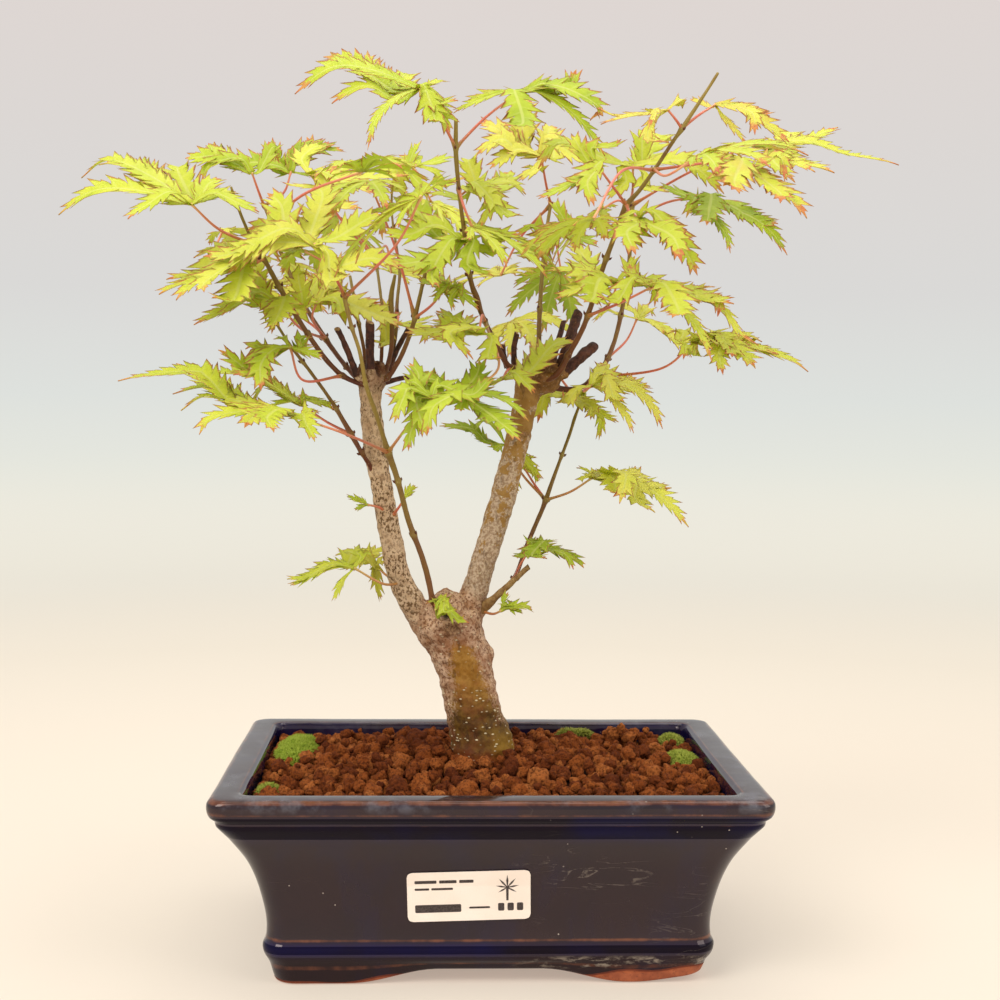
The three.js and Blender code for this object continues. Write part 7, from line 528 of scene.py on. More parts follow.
def bark_material():
    m = Mat("maple_bark")
    wl, wr, low, kn, up = [m.attr(k) for k in ("wl", "wr", "low", "kn", "up")]
    hole, scar = m.attr("hole"), m.attr("scar")
    n1 = m.noise(60, 4, 0.6)
    n2 = m.noise(260, 4, 0.6)
    n3 = m.noise(900, 3, 0.65)
    st = m.noise(420, 4, 0.6, vec=m.coord((1, 1, 0.42)), dist=0.4)
    # trunk: olive and brown low down, grey-beige skin above
    dark, side = m.attr("dark"), m.attr("side")
    olive = m.mix(m.rng(n2, 0.36, 0.66), lin(138, 92, 22), lin(164, 120, 52))
    olive = m.mix(m.math("MULTIPLY", m.rng(n1, 0.46, 0.66), 0.55), olive, lin(146, 88, 44))
    deepo = m.mix(m.rng(n2, 0.36, 0.66), lin(70, 44, 8), lin(112, 80, 22))
    deepo = m.mix(m.math("MULTIPLY", m.rng(n1, 0.46, 0.64), 0.7), deepo, lin(104, 52, 16))
    olive = m.mix(dark, olive, deepo)
    foot = m.math("MULTIPLY", m.rng(m.z()[2], 0.090, 0.078), m.rng(side, 0.55, 0.85))
    olive = m.mix(m.math("MULTIPLY", foot, 0.8), olive, lin(150, 112, 26))
    grey = m.mix(m.rng(n2, 0.34, 0.62), lin(160, 118, 84), lin(204, 170, 140))
    grey = m.mix(m.math("MULTIPLY", m.rng(n3, 0.50, 0.60), 0.85), grey, lin(108, 68, 42))
    grey = m.mix(m.math("MULTIPLY", m.rng(n1, 0.50, 0.62), 0.45), grey, lin(140, 88, 56))
    gn = m.math("ADD", m.math("MULTIPLY", m.math("SUBTRACT", m.noise(130, 4, 0.7), 0.5), 1.1), m.math("MULTIPLY", m.math("SUBTRACT", n3, 0.5), 0.8))
    gf = m.rng(m.math("ADD", low, gn), 0.34, 0.72)
    col = m.mix(gf, grey, olive)
    # left stem: pale grey-beige with brown flecks
    lb = m.mix(m.rng(n2, 0.3, 0.7), lin(184, 152, 118), lin(212, 184, 152))
    fl = m.rng(m.noise(980, 3, 0.62, vec=m.coord((1, 1, 0.75))), 0.50, 0.57)
    fl = m.math("MULTIPLY", fl, m.rng(m.noise(110, 2), 0.34, 0.5, 0.35, 1.0))
    lb = m.mix(fl, lb, m.mix(n2, lin(84, 60, 38), lin(136, 106, 70)))
    col = m.mix(wl, col, lb)
    # right stem: grey-beige patches over olive-brown, greener towards the top
    rb = m.mix(m.rng(n2, 0.36, 0.64), lin(148, 108, 50), lin(162, 124, 66))
    pf = m.math("ADD", m.noise(210, 4, 0.66, dist=0.3), m.math("MULTIPLY", m.math("SUBTRACT", 0.62, up), 0.26))
    patch = m.rng(pf, 0.50, 0.56)
    rb = m.mix(patch, rb, m.mix(m.rng(n3, 0.4, 0.62), lin(196, 172, 146), lin(150, 122, 94)))
    col = m.mix(wr, col, rb)
    # raised pale lenticels
    vd = m.voro(430, vec=m.coord((0.75, 0.75, 1.35)))
    vm = m.math("MULTIPLY", m.rng(vd, 0.25, 0.14), m.rng(m.math("ADD", m.noise(150, 2), m.math("MULTIPLY", dark, 0.16)), 0.46, 0.58))
    lf = m.math("MULTIPLY", vm, m.math("SUBTRACT", 1.0, m.math("MULTIPLY", wl, 0.9)))
    col = m.mix(m.math("MULTIPLY", lf, 0.85), col, lin(222, 206, 168))
    # fine growth cracks
    col = m.mix(m.math("MULTIPLY", m.rng(st, 0.60, 0.70), 0.45), col, lin(66, 42, 26))
    # reddish base at the soil line
    base = m.attr("base")
    col = m.mix(m.math("MULTIPLY", base, 0.85), col, m.mix(n2, lin(132, 44, 16), lin(158, 74, 26)))
    # swollen heads where shoots spring
    kc = m.mix(m.rng(n2, 0.38, 0.62), lin(70, 36, 22), lin(120, 74, 46))
    kc = m.mix(m.rng(n3, 0.56, 0.70), kc, lin(168, 134, 98))
    col = m.mix(kn, col, kc)
    col = m.mix(m.math("MULTIPLY", scar, 0.85), col, m.mix(m.rng(n3, 0.4, 0.6), lin(150, 116, 82), lin(96, 66, 42)))
    # the hole: dark wood with painted shade, near black, deepening the shallow dent
    col = m.mix(hole, col, m.mix(n3, lin(26, 22, 14), lin(52, 50, 22)))
    h = m.math("ADD", m.math("MULTIPLY", n2, 0.9), m.math("MULTIPLY", n3, 0.5))
    h = m.math("ADD", h, m.math("MULTIPLY", lf, 0.9))
    h = m.math("SUBTRACT", h, m.math("MULTIPLY", m.rng(st, 0.56, 0.72), 0.9))
    h = m.math("ADD", h, m.math("MULTIPLY", m.math("MULTIPLY", fl, wl), -0.4))
    return m.surface(col, m.rng(n3, 0.2, 0.8, 0.62, 0.86), m.bump(h, 0.65, 0.0006), spec=0.3)


def stub_material():
    m = Mat("cut_shoot_bark")
    n2 = m.noise(420, 4, 0.6)
    col = m.mix(m.rng(n2, 0.35, 0.65), lin(52, 24, 16), lin(92, 50, 34))
    dots = m.rng(m.voro(800), 0.16, 0.08)
    col = m.mix(m.math("MULTIPLY", dots, 0.4), col, lin(150, 118, 84))
    return m.surface(col, 0.6, m.bump(m.math("ADD", n2, m.noise(1500, 3, vec=m.coord((1, 1, .2)))), 0.5, 0.0004), spec=0.35)


def stub_pale_material():
    m = Mat("old_shoot_bark")
    n2 = m.noise(420, 4, 0.6)
    col = m.mix(m.rng(n2, 0.35, 0.65), lin(126, 92, 50), lin(160, 128, 80))
    dots = m.rng(m.voro(700), 0.18, 0.08)
    col = m.mix(m.math("MULTIPLY", dots, 0.5), col, lin(92, 60, 32))
    return m.surface(col, 0.6, m.bump(m.math("ADD", n2, m.noise(1500, 3, vec=m.coord((1, 1, .2)))), 0.5, 0.0004), spec=0.35)


def cut_material():
    m = Mat("cut_wood")
    n2 = m.noise(700, 4, 0.6)
    col = m.mix(m.rng(n2, 0.35, 0.65), lin(188, 150, 104), lin(118, 84, 52))
    return m.surface(col, 0.8, m.bump(n2, 0.5, 0.0004), spec=0.2)


def glaze_material(name, spec, ior, tint, dark, blue):
    m = Mat(name)
    thin, bare, ins = m.attr("thin"), m.attr("bare"), m.attr("ins")
    deep, topa = m.attr("deep"), m.attr("top")
    sep = m.z()
    n1 = m.noise(22, 3, 0.55)
    n2 = m.noise(140, 4, 0.6)
    n3 = m.noise(900, 3, 0.6)
    streak = m.noise(60, 3, 0.6, vec=m.coord((1, 1, 0.25)))
    base = m.mix(m.rng(n1, 0.35, 0.68), lin(*dark), lin(dark[0] + 8, dark[1] + 2, dark[2]))
    base = m.mix(m.math("MULTIPLY", m.rng(streak, 0.45, 0.68), 0.35), base, lin(dark[0] - 4, dark[1] + 2, dark[2] + 22))
    base = m.mix(m.math("MULTIPLY", deep, 0.9), base, m.mix(m.rng(n1, 0.4, 0.6), lin(*blue), lin(blue[0] + 4, blue[1], blue[2] - 30)))
    # where the glaze ran thin on an edge it breaks to brown
    tf = m.math("ADD", thin, m.math("MULTIPLY", m.math("SUBTRACT", n2, 0.5), 0.55))
    brown = m.mix(m.rng(n2, 0.35, 0.65), lin(74, 40, 30), lin(112, 66, 46))
    base = m.mix(m.math("MULTIPLY", m.rng(tf, 0.42, 0.92), 0.88), base, brown)
    # lime bloom and dust on the rim, partly a painted bluish highlight on the rim top, and dust in the band over the
    # feet
    rim_dust_and_highlight = m.math("MULTIPLY", m.rng(m.noise(75, 4, 0.65), 0.48, 0.74), topa)
    base = m.mix(m.math("MULTIPLY", rim_dust_and_highlight, 0.40), base, lin(128, 130, 140))
    low = m.math("MULTIPLY", m.rng(sep[2], 0.0125, 0.0105), m.rng(sep[2], 0.0055, 0.0080))
    low = m.math("MULTIPLY", low, m.math("MULTIPLY", m.rng(sep[0], 0.004, 0.030), m.rng(m.noise(260, 4, 0.7, vec=m.coord((0.5, 1, 1.3))), 0.50, 0.66)))
    base = m.mix(m.math("MULTIPLY", low, 0.75), base, lin(150, 138, 124))
    # a few pale specks and two or three faint scuffs
    vs = m.voro(170, vec=m.coord())
    specks = m.math("MULTIPLY", m.rng(vs, 0.060, 0.036), m.rng(m.noise(35, 2), 0.53, 0.62))
    base = m.mix(specks, base, lin(170, 158, 148))
    sc = m.noise(26, 2, 0.5, vec=m.coord((1, 1, 5)), dist=1.0)
    scr = m.rng(m.math("ABSOLUTE", m.math("SUBTRACT", sc, 0.5)), 0.010, 0.003)
    where = m.math("MULTIPLY", m.rng(sep[0], 0.018, 0.030), m.rng(sep[0], 0.066, 0.052))
    where = m.math("MULTIPLY", where, m.math("MULTIPLY", m.rng(sep[2], 0.036, 0.042), m.rng(sep[2], 0.054, 0.049)))
    where = m.math("ADD", where, m.math("MULTIPLY", m.rng(m.noise(18, 2), 0.62, 0.70), 0.5), clamp=True)
    scr = m.math("MULTIPLY", m.math("MULTIPLY", scr, where), m.rng(m.noise(700, 2, 0.6), 0.35, 0.55))
    base = m.mix(m.math("MULTIPLY", scr, 0.34), base, lin(146, 134, 122))
    clay = m.mix(m.rng(n2, 0.35, 0.68), lin(140, 70, 42), lin(172, 94, 58))
    clay = m.mix(m.math("MULTIPLY", m.rng(n3, 0.55, 0.7), 0.6), clay, lin(104, 52, 36))
    clay = m.mix(m.math("MULTIPLY", m.rng(bare, 0.35, 0.62), m.rng(bare, 0.95, 0.6)), clay, lin(90, 38, 26))
    bm = m.rng(bare, 0.44, 0.56)
    col = m.mix(bm, base, clay)
    rough = m.math("ADD", 0.045, m.math("MULTIPLY", bm, 0.65))
    rough = m.math("ADD", rough, m.math("MULTIPLY", m.math("MAXIMUM", rim_dust_and_highlight, low), 0.24))
    rough = m.math("ADD", rough, m.math("MULTIPLY", m.math("MULTIPLY", m.rng(n2, 0.4, 0.7), topa), 0.10))
    h = m.math("ADD", m.math("MULTIPLY", m.noise(55, 3, 0.5), 1.0), m.math("MULTIPLY", m.math("MULTIPLY", n3, bm), 0.7))
    h = m.math("ADD", h, m.math("MULTIPLY", specks, 0.25))
    mat = m.surface(col, rough, m.bump(h, 0.16, 0.0008), spec=spec, ior=ior)
    for nd in m.t.nodes:
        if nd.bl_idname == "ShaderNodeBsdfPrincipled":
            nd.inputs["Specular Tint"].default_value = (*tint, 1.0)
    return mat


def grain_material():
    m = Mat("akadama_grain")
    gr, up = m.attr("gr"), m.attr("up")
    n1 = m.noise(240, 3, 0.6)
    n2 = m.noise(900, 4, 0.65)
    n3 = m.noise(3000, 3, 0.6)
    col = m.ramp(m.math("ADD", m.math("MULTIPLY", gr, 0.6), m.math("MULTIPLY", n1, 0.4)), [(0.15, lin(96, 42, 16)), (0.40, lin(134, 67, 25)), (0.62, lin(160, 86, 36)), (0.85, lin(188, 112, 56)), (1.0, lin(132, 88, 58))])
    # dark pits: painted shade in the bump hollows, standing in for contact shadow between grains
    col = m.mix(m.math("MULTIPLY", m.rng(n2, 0.52, 0.40), 0.66), col, lin(56, 18, 6))
    col = m.mix(m.math("MULTIPLY", m.rng(n3, 0.58, 0.70), 0.35), col, lin(188, 116, 64))
    h = m.math("ADD", n2, m.math("MULTIPLY", n3, 0.6))
    return m.surface(col, 0.9, m.bump(h, 1.0, 0.0013), spec=0.15)


def shaded_bed_material():
    m = Mat("soil_bed_painted_shade")
    n2 = m.noise(500, 5, 0.7)
    # very dark brown: painted shade for the gaps between grains
    col = m.mix(m.rng(n2, 0.3, 0.7), lin(26, 11, 6), lin(58, 28, 14))
    return m.surface(col, 0.95, m.bump(n2, 1.0, 0.002), spec=0.1)


def moss_material():
    m = Mat("moss_tufts")
    s, gr, yl = m.attr("s"), m.attr("gr"), m.attr("yl")
    f = m.math("ADD", m.math("MULTIPLY", s, 0.6), m.math("MULTIPLY", gr, 0.4))
    col = m.ramp(f, [(0.0, lin(46, 56, 14)), (0.35, lin(96, 118, 26)), (0.65, lin(142, 166, 40)), (0.9, lin(184, 198, 72)), (1.0, lin(202, 210, 96))])
    yel = m.ramp(f, [(0.0, lin(70, 66, 24)), (0.5, lin(140, 140, 54)), (1.0, lin(204, 192, 104))])
    col = m.mix(yl, col, yel)
    return m.surface(col, 0.62, m.bump(m.noise(2500, 2), 0.3, 0.0002), spec=0.25, translucent=0.25, tcolor=col)


def paper_material():
    m = Mat("label_paper")
    n1 = m.noise(40, 2)
    fib = m.noise(2600, 3, 0.7, vec=m.coord((1, 1, 0.35)))
    col = m.mix(m.rng(n1, 0.35, 0.7), lin(252, 238, 226), lin(246, 230, 216))
    col = m.mix(m.math("MULTIPLY", m.rng(fib, 0.5, 0.7), 0.2), col, lin(232, 214, 198))
    return m.surface(col, 0.42, m.bump(fib, 0.12, 0.0002), spec=0.4)


def ink_material():
    m = Mat("label_ink")
    n1 = m.noise(1800, 3)
    col = m.mix(m.rng(n1, 0.35, 0.7), lin(52, 44, 44), lin(84, 74, 70))
    return m.surface(col, 0.5, m.bump(n1, 0.1, 0.0001), spec=0.3)


LEAF, STALK, TWIG, BARK, STUB, CUT, PALE = leaf_material(), petiole_material(), twig_material(), bark_material(), stub_material(), cut_material(), stub_pale_material()
GLAZE = glaze_material("blue_glaze", 0.50, 1.50, (1.0, 0.84, 0.78), (26, 20, 30), (12, 12, 78))
# darker, less shiny copy of the glaze for the bands under the lip and in the grooves: pooled glaze and painted shade
POOL_SHADED = glaze_material("blue_glaze_pooled_and_shaded", 0.16, 1.40, (0.9, 0.84, 1.0), (14, 10, 24), (14, 11, 50))
BAND = glaze_material("blue_glaze_band", 0.34, 1.46, (1.0, 0.78, 0.74), (26, 18, 24), (12, 12, 60))
GRAIN, SHADED_BED, MOSS, PAPER, INK = grain_material(), shaded_bed_material(), moss_material(), paper_material(), ink_material()

# ---------------------------------------------------------------- leaves
US = np.array([-1, -0.74, -0.45, -0.13, 0, 0.13, 0.45, 0.74, 1.0])
TOOTH = [(0.0, 0.40, 0.0), (0.17, 0.72, 0.06), (0.34, 1.02, 0.34), (0.45, 0.90, 0.20), (0.66, 1.40, 0.86), (0.84, 0.60, 0.20)]
ENV_T = [0, 0.05, 0.12, 0.25, 0.4, 0.52, 0.65, 0.8, 0.9, 0.96, 1.0]
ENV_W = [0.34, 0.34, 0.40, 0.70, 0.97, 1.0, 0.86, 0.56, 0.30, 0.15, 0.02]


def lobe(P, w, n, rng, acc, lr, rd):
    P = np.asarray(P, float)
    L = length(P)
    NT = max(3, min(13, int(round(L * 0.80 / rng.uniform(4.6, 5.6)))))
    d = 0.80 / NT
    s_rows, tooth_l, tooth_r, phase, phase_r = [0.0, 0.045, 0.09], [None] * 3, [None] * 3, [-0.3] * 3, [0.1, 0.15, 0.2]
    dep_l = [0.45 + 1.0 * rng.random() for _ in range(NT + 2)]
    dep_r = [0.45 + 1.0 * rng.random() for _ in range(NT + 2)]
    for k in range(NT):
        for j, (f, wm, fs) in enumerate(TOOTH):
            s_rows.append(0.12 + d * (k + f))
            jr = (j + 3) % 6
            tooth_l.append((wm, fs, dep_l[k]))
            tooth_r.append((TOOTH[jr][1], TOOTH[jr][2], dep_r[k + (1 if jr < j else 0)]))
            phase.append(k + f - 0.16)
            phase_r.append(k + f + 0.33)
    for f in (0.925, 0.95, 0.975, 1.0):
        s_rows.append(f)
        tooth_l.append((0.62, 0.0, 1.0))
        tooth_r.append((0.62, 0.0, 1.0))
        phase.append(NT + 0.1)
        phase_r.append(NT + 0.9)
    s_rows = np.array(s_rows)
    C = curve(P, s_rows)
    T = unit(np.gradient(C, axis=0))
    n = unit(n)
    # the tip hangs a little
    bend = np.clip((s_rows - 0.72) / 0.28, 0, 1) ** 2
    C = C - np.outer(bend * 0.035 * L * (0.5 + rng.random()), n) 
    T = unit(np.gradient(C, axis=0))
    Ws, prev = [], None
    for t in T:
        c = np.cross(n, t)
        m = np.linalg.norm(c)
        c = c / (m + 1e-9)
        if prev is not None:
            if np.dot(c, prev) < 0:
                c = -c
            p = prev - t * np.dot(prev, t)
            c = unit(unit(p) * (1.1 - m) + c * m)
        prev = c
        Ws.append(c)
    Ws = np.array(Ws)
    tw = math.radians(rng.uniform(-13, 13))
    fold = rng.uniform(0.06, 0.24)
    env = np.interp(s_rows, ENV_T, ENV_W) * w * 0.97
    delta = d * L
    wav = rng.uniform(0, 6.28)
    N0 = unit(np.cross(T, Ws))
    N0 *= np.where(N0 @ n < 0, -1, 1)[:, None]
    ca, sa = np.cos(tw * s_rows)[:, None], np.sin(tw * s_rows)[:, None]
    W = Ws * ca + N0 * sa
    Nn = unit(np.cross(T, W))
    Nn *= np.where(Nn @ n < 0, -1, 1)[:, None]
    tabs = []
    for tt in (tooth_l, tooth_r):
        tabs.append(np.array([(1.0, 0.0) if q is None else ((1 + (q[0] - 1) * q[2]) if q[0] > 1 else 1 - (1 - q[0]) * (0.55 + 0.5 * q[2]), q[1]) for q in tt]))
    au = np.abs(US)[None, :]
    left = (US < 0)[None, :]
    wm = np.where(left, tabs[0][:, :1], tabs[1][:, :1])
    fs = np.where(left, tabs[0][:, 1:], tabs[1][:, 1:])
    off = env[:, None] * US[None, :] * (1 + (wm - 1) * au ** 1.3)
    fwd = fs * delta * au ** 1.5
    lift = fold * np.abs(off) + 0.10 * env[:, None] * au * np.sin(s_rows[:, None] * 9 + wav + np.where(left, 0, 1.3))
    q = np.clip(1 - au / 0.16, 0, 1)
    th = np.where(au < 0.99, 0.10, 0.0)
    vein = np.where((wm > 1) & (au > 0.3) & (au < 0.9), 0.07, 0.0)
    base_pt = C[:, None, :] + T[:, None, :] * fwd[..., None] + W[:, None, :] * off[..., None] + Nn[:, None, :] * lift[..., None]
    top = base_pt + Nn[:, None, :] * (th - 0.10 * q - vein)[..., None]
    und = base_pt - Nn[:, None, :] * (th + 0.22 * q + vein * 0.6)[..., None]
    attrs = np.repeat(au, len(C), axis=0)
    nr, nc = len(C), len(US)
    V, A_u, A_s, A_und, A_ph = [], [], [], [], []
    idt, idu = {}, {}
    for i in range(nr):
        for j in range(nc):
            idt[i, j] = len(V)
            V.append(top[i][j])
            A_u.append(attrs[i][j]); A_s.append(s_rows[i]); A_und.append(0.0 if j not in (0, nc - 1) else 0.5); A_ph.append(phase[i] if j <= nc // 2 else phase_r[i])
    for i in range(nr):
        for j in range(nc):
            if j in (0, nc - 1):
                idu[i, j] = idt[i, j]
            else:
                idu[i, j] = len(V)
                V.append(und[i][j])
                A_u.append(attrs[i][j]); A_s.append(s_rows[i]); A_und.append(1.0); A_ph.append(phase[i] if j <= nc // 2 else phase_r[i])
    # which way is up decides the winding
    s0 = np.dot(np.cross(T[nr // 2], Ws[nr // 2]), n)
    F = []
    for i in range(nr - 1):
        for j in range(nc - 1):
            a, b, c, e = idt[i, j], idt[i + 1, j], idt[i + 1, j + 1], idt[i, j + 1]
            F.append((a, b, c, e) if s0 > 0 else (e, c, b, a))
            a, b, c, e = idu[i, j], idu[i + 1, j], idu[i + 1, j + 1], idu[i, j + 1]
            F.append((e, c, b, a) if s0 > 0 else (a, b, c, e))
    loop0 = [idt[0, j] for j in range(nc)] + [idu[0, j] for j in range(nc - 2, 0, -1)]
    loop1 = [idt[nr - 1, j] for j in range(nc)] + [idu[nr - 1, j] for j in range(nc - 2, 0, -1)]
    F.append(tuple(loop0) if s0 > 0 else tuple(loop0[::-1]))
    F.append(tuple(loop1[::-1]) if s0 > 0 else tuple(loop1))
    # the winding above takes +T x +W as up; correct it as a whole if it came out inside out
    acc.add(V, F, 0, u=A_u, s=A_s, und=A_und, ph=A_ph, lr=lr, rd=rd)


def stalk(pts, acc, rd, r0=0.62, r1=0.42):
    C = curve(pts, 22)
    t = np.linspace(0, 1, 22)
    r = r0 + (r1 - r0) * t + 0.55 * np.exp(-((t / 0.07) ** 2)) + 0.25 * np.exp(-(((1 - t) / 0.05) ** 2))
    V, F, S = tube(C, r, 10)
    acc.add(V, F, 1, s=S, rd=rd)


leaf_groups = {}
for L in LEAVES:
    leaf_groups.setdefault(L["c"], []).append(L)
for cl, group in leaf_groups.items():
    acc = Acc(["u", "s", "und", "ph", "lr", "rd"])
    for L in group:
        rng = random.Random("leaf" + L["i"])
        lr = rng.random()
        top = (L["b"][2] - 180) / 190
        rd = min(1, max(0, 0.18 + 0.42 * top + rng.uniform(-0.2, 0.28) + (0.35 if L["i"] in YOUNG else 0)))
        for P, w in zip(L["l"], L["w"]):
            lobe(P, w, L["n"], rng, acc, min(1, max(0, lr + rng.uniform(-0.12, 0.12))), rd)
        stalk(L["p"], acc, min(1, 0.25 + rd * 0.9))
    acc.make("foliage_" + cl, [LEAF, STALK], ["leaves_" + cl])

# ---------------------------------------------------------------- shoots
for name, ring in SHOOTS.items():
    ring = np.array(ring, float)
    root = np.array(ROOTS[name], float)
    P = np.vstack([[*root, ring[0, 3] * 1.25], ring])
    n = max(24, int(length(P[:, :3]) / 1.1))
    C4 = curve(P, n)
    C, r = C4[:, :3], np.clip(C4[:, 3], 0.35, 3)
    nd = np.zeros(n)
    at_nodes = [np.array(v[1][:3]) for k, v in ATT.items() if v[0] == name]
    tot = length(P[:, :3])
    rng = random.Random("shoot" + name)
    extra = [f for f in np.arange(0.16, 0.97, max(0.11, 22 / tot))]
    for f in extra:
        q = C[min(n - 1, int(f * (n - 1)))]
        if all(np.linalg.norm(q - a) > 9 for a in at_nodes):
            at_nodes.append(q)
    for a in at_nodes:
        dd = np.linalg.norm(C - a, axis=1)
        nd = np.maximum(nd, np.exp(-((dd / 1.1) ** 2)))
    r = r * (1 + 0.42 * nd)
    k = int(n * 0.06) + 2
    r[:k] *= np.linspace(1.5, 1.0, k)
    V, F, S = tube(C, r, 14, rough=0.10, seed=rng.random() * 50)
    acc = Acc(["s", "bn", "nd"])
    ndv = np.concatenate([np.repeat(nd, 14), [nd[0], nd[-1]]])
    bn = {"C1": -0.1, "C2": 0.05, "R3": 0.0, "R2": -0.1, "U3": -0.15}.get(name, 0.12)
    acc.add(V, F, 0, s=S, bn=bn, nd=np.clip(ndv, 0, 1) * np.clip(S * 1.6, 0, 1))
    # opposite buds in the axils
    for a in at_nodes:
        i = int(np.argmin(np.linalg.norm(C - a, axis=1)))
        T, X, Y = frames(C)
        ang = rng.uniform(0, 3.14)
        for sgn in (1, -1):
            side = X[i] * math.cos(ang) * sgn + Y[i] * math.sin(ang) * sgn
            b0 = C[i] + side * r[i] * 0.7
            tip = b0 + unit(T[i] * 1.0 + side * 0.75) * rng.uniform(1.3, 2.1)
            cc = curve([b0, (b0 + tip) / 2 + side * 0.15, tip], 7)
            rr = np.array([0.45, 0.62, 0.66, 0.58, 0.42, 0.24, 0.08]) * rng.uniform(0.7, 1.0)
            v, f, s = tube(cc, rr, 8)
            acc.add(v, f, 0, s=0.12, bn=0.1, nd=0.0)
    acc.make("shoot_" + name.lower() + "_wood", [TWIG], ["shoot_" + name.lower()])

# ---------------------------------------------------------------- trunk
def wood_tube(P4, n, sides=28):
    C4 = curve(np.array(P4, float), n)
    return tube(C4[:, :3], C4[:, 3], sides)


tr = Acc([])
v, f, s = wood_tube([[-0.6, 9, 60.5, 15.5], [-1.0, 9, 64, 14.6]] + TRUNK, 60, 36)
tr.add(v, f)
v, f, s = wood_tube([[-18.5, 9.6, 122.0, 7.6]] + LSTEM, 90)
tr.add(v, f)
v, f, s = wood_tube([[-12.0, 10.6, 124.5, 8.6]] + RSTEM, 90)
tr.add(v, f)
for (x, y, z, rad) in BALLS:
    a = []
    for i in range(1, 12):
        th = math.pi * i / 12
        a.append([x, y, z + rad * math.cos(th) * -1])
    cs = np.array(a)
    v, f, s = tube(cs, [rad * math.sin(math.pi * i / 12) for i in range(1, 12)], 20)
    tr.add(v, f)
rk = random.Random(88)
# short knobs: bases of old cut twigs round the two heads and the crotch
for (cx, cy, cz, rad, cnt, up0) in [(-48.8, 2.4, 234.5, 5.6, 15, 0.25), (22.0, 19.5, 237.5, 7.6, 18, 0.2), (-17, 6.5, 135.0, 8.0, 6, 0.1)]:
    for _ in range(cnt):
        d = unit([rk.gauss(0, 1), rk.gauss(0, 1), abs(rk.gauss(0, 0.8)) + up0])
        c0 = np.array([cx, cy, cz]) + d * rad * 0.35
        c1 = np.array([cx, cy, cz]) + d * (rad + rk.uniform(0.2, 1.6))
        rr = rk.uniform(1.3, 2.6)
        v, f, s = tube(curve([c0, (c0 + c1) / 2, c1], 6), np.linspace(rr * 1.2, rr * 0.75, 6), 10)
        tr.add(v, f)
for name, ring in STUBS.items():
    p0 = np.array(ROOTS[{"L": "L", "R": "R", "D": "D"}[name[0]]], float)
    q = np.array(ring[0], float)
    v, f, s = tube(curve([p0, (p0 + q[:3]) / 2, q[:3], q[:3] + 0.22 * (np.array(ring[1][:3]) - q[:3])], 8), np.linspace(q[3] * 1.9, q[3] * 1.05, 8), 12)
    tr.add(v, f)
for name, ring in SHOOTS.items():
    p0 = np.array(ROOTS[name], float)
    q = np.array(ring[0], float)
    v, f, s = tube(curve([p0, p0 * 0.6 + q[:3] * 0.4, q[:3]], 6), np.linspace(q[3] * 2.0, q[3] * 1.12, 6), 12)
    tr.add(v, f)
me = bpy.data.meshes.new("trunk_raw")
me.from_pydata((np.vstack(tr.V) * MM).tolist(), [], tr.F)
raw = bpy.data.objects.new("trunk_raw", me)
bpy.context.scene.collection.objects.link(raw)
md = raw.modifiers.new("r", "REMESH")
md.mode = "VOXEL"
md.voxel_size = 0.00062
sm = raw.modifiers.new("s", "CORRECTIVE_SMOOTH")
sm.iterations = 6
sm.use_only_smooth = True
dg = bpy.context.evaluated_depsgraph_get()
ev = raw.evaluated_get(dg)
em = bpy.data.meshes.new_from_object(ev)
bpy.data.objects.remove(raw)
nv = len(em.vertices)
co = np.empty(nv * 3)
em.vertices.foreach_get("co", co)
co = co.reshape(-1, 3) * 1000
no = np.empty(nv * 3)
em.vertices.foreach_get("normal", no)
no = no.reshape(-1, 3)
faces = [tuple(p.vertices) for p in em.polygons]


def near(path):
    """Distance from each bark point to a stem's line beyond its radius, and how far along it is."""
    C4 = curve(np.array(path, float), 60)
    d = np.full(nv, 1e9)
    t = np.zeros(nv)
    for i, c in enumerate(C4):
        dd = np.linalg.norm(co - c[:3], axis=1) - c[3]
        k = dd < d
        d[k] = dd[k]
        t[k] = i / 59
    return d, t


dL, tL = near(LSTEM)
dR, tR = near(RSTEM)
dT, tT = near(TRUNK)
sL = 1 / (1 + np.exp((dL - np.minimum(dR, dT)) * 1.6))
sR = 1 / (1 + np.exp((dR - np.minimum(dL, dT)) * 1.6))
z = co[:, 2]
wl = np.clip(sL * np.clip((z - 126) / 10, 0, 1), 0, 1)
wr = np.clip(sR * np.clip((z - 134) / 12, 0, 1), 0, 1)
kn = np.zeros(nv)
for c, rad in (((-48.6, 2.2, 236), 8.2), ((22.2, 19.2, 239), 11.0)):
    kn = np.maximum(kn, np.clip(1.25 - (np.linalg.norm((co - np.array(c)) * [1, 1, 0.9], axis=1) - rad * 0.5) / (rad * 0.62), 0, 1))
crown = np.clip(1.0 - (np.linalg.norm(co - np.array([-17, 5.5, 133.5]), axis=1) - 8) / 6, 0, 1)
# olive skin runs up the middle of the front; the flanks keep a grey rind
TZ, TX, TR = [p[2] for p in TRUNK], [p[0] for p in TRUNK], [p[3] for p in TRUNK]
sx = (co[:, 0] - np.interp(z, TZ, TX)) / np.interp(z, TZ, TR)
half_w = np.interp(z, [76, 86, 96, 108, 121, 130], [1.6, 1.15, 0.84, 0.56, 0.40, -0.2])
low = np.clip((half_w - np.abs(sx - 0.06)) / 1.0 + 0.5, 0, 1)
dark = np.clip((106 - z) / 14, 0, 1)
hole_c, scar_c = np.array([-17.5, -2.2, 135.5]), np.array([-15.0, -3.2, 130.0])
disp = np.zeros(nv)
hd = np.linalg.norm((co - hole_c) * [1, 0.35, 1], axis=1)
sd = np.linalg.norm((co - scar_c) * [0.8, 0.35, 1], axis=1)
ns = np.linalg.norm((co - np.array([15.2, 12.3, 210.0])) * [0.8, 0.6, 1.1], axis=1)
front = (co[:, 1] < 5)
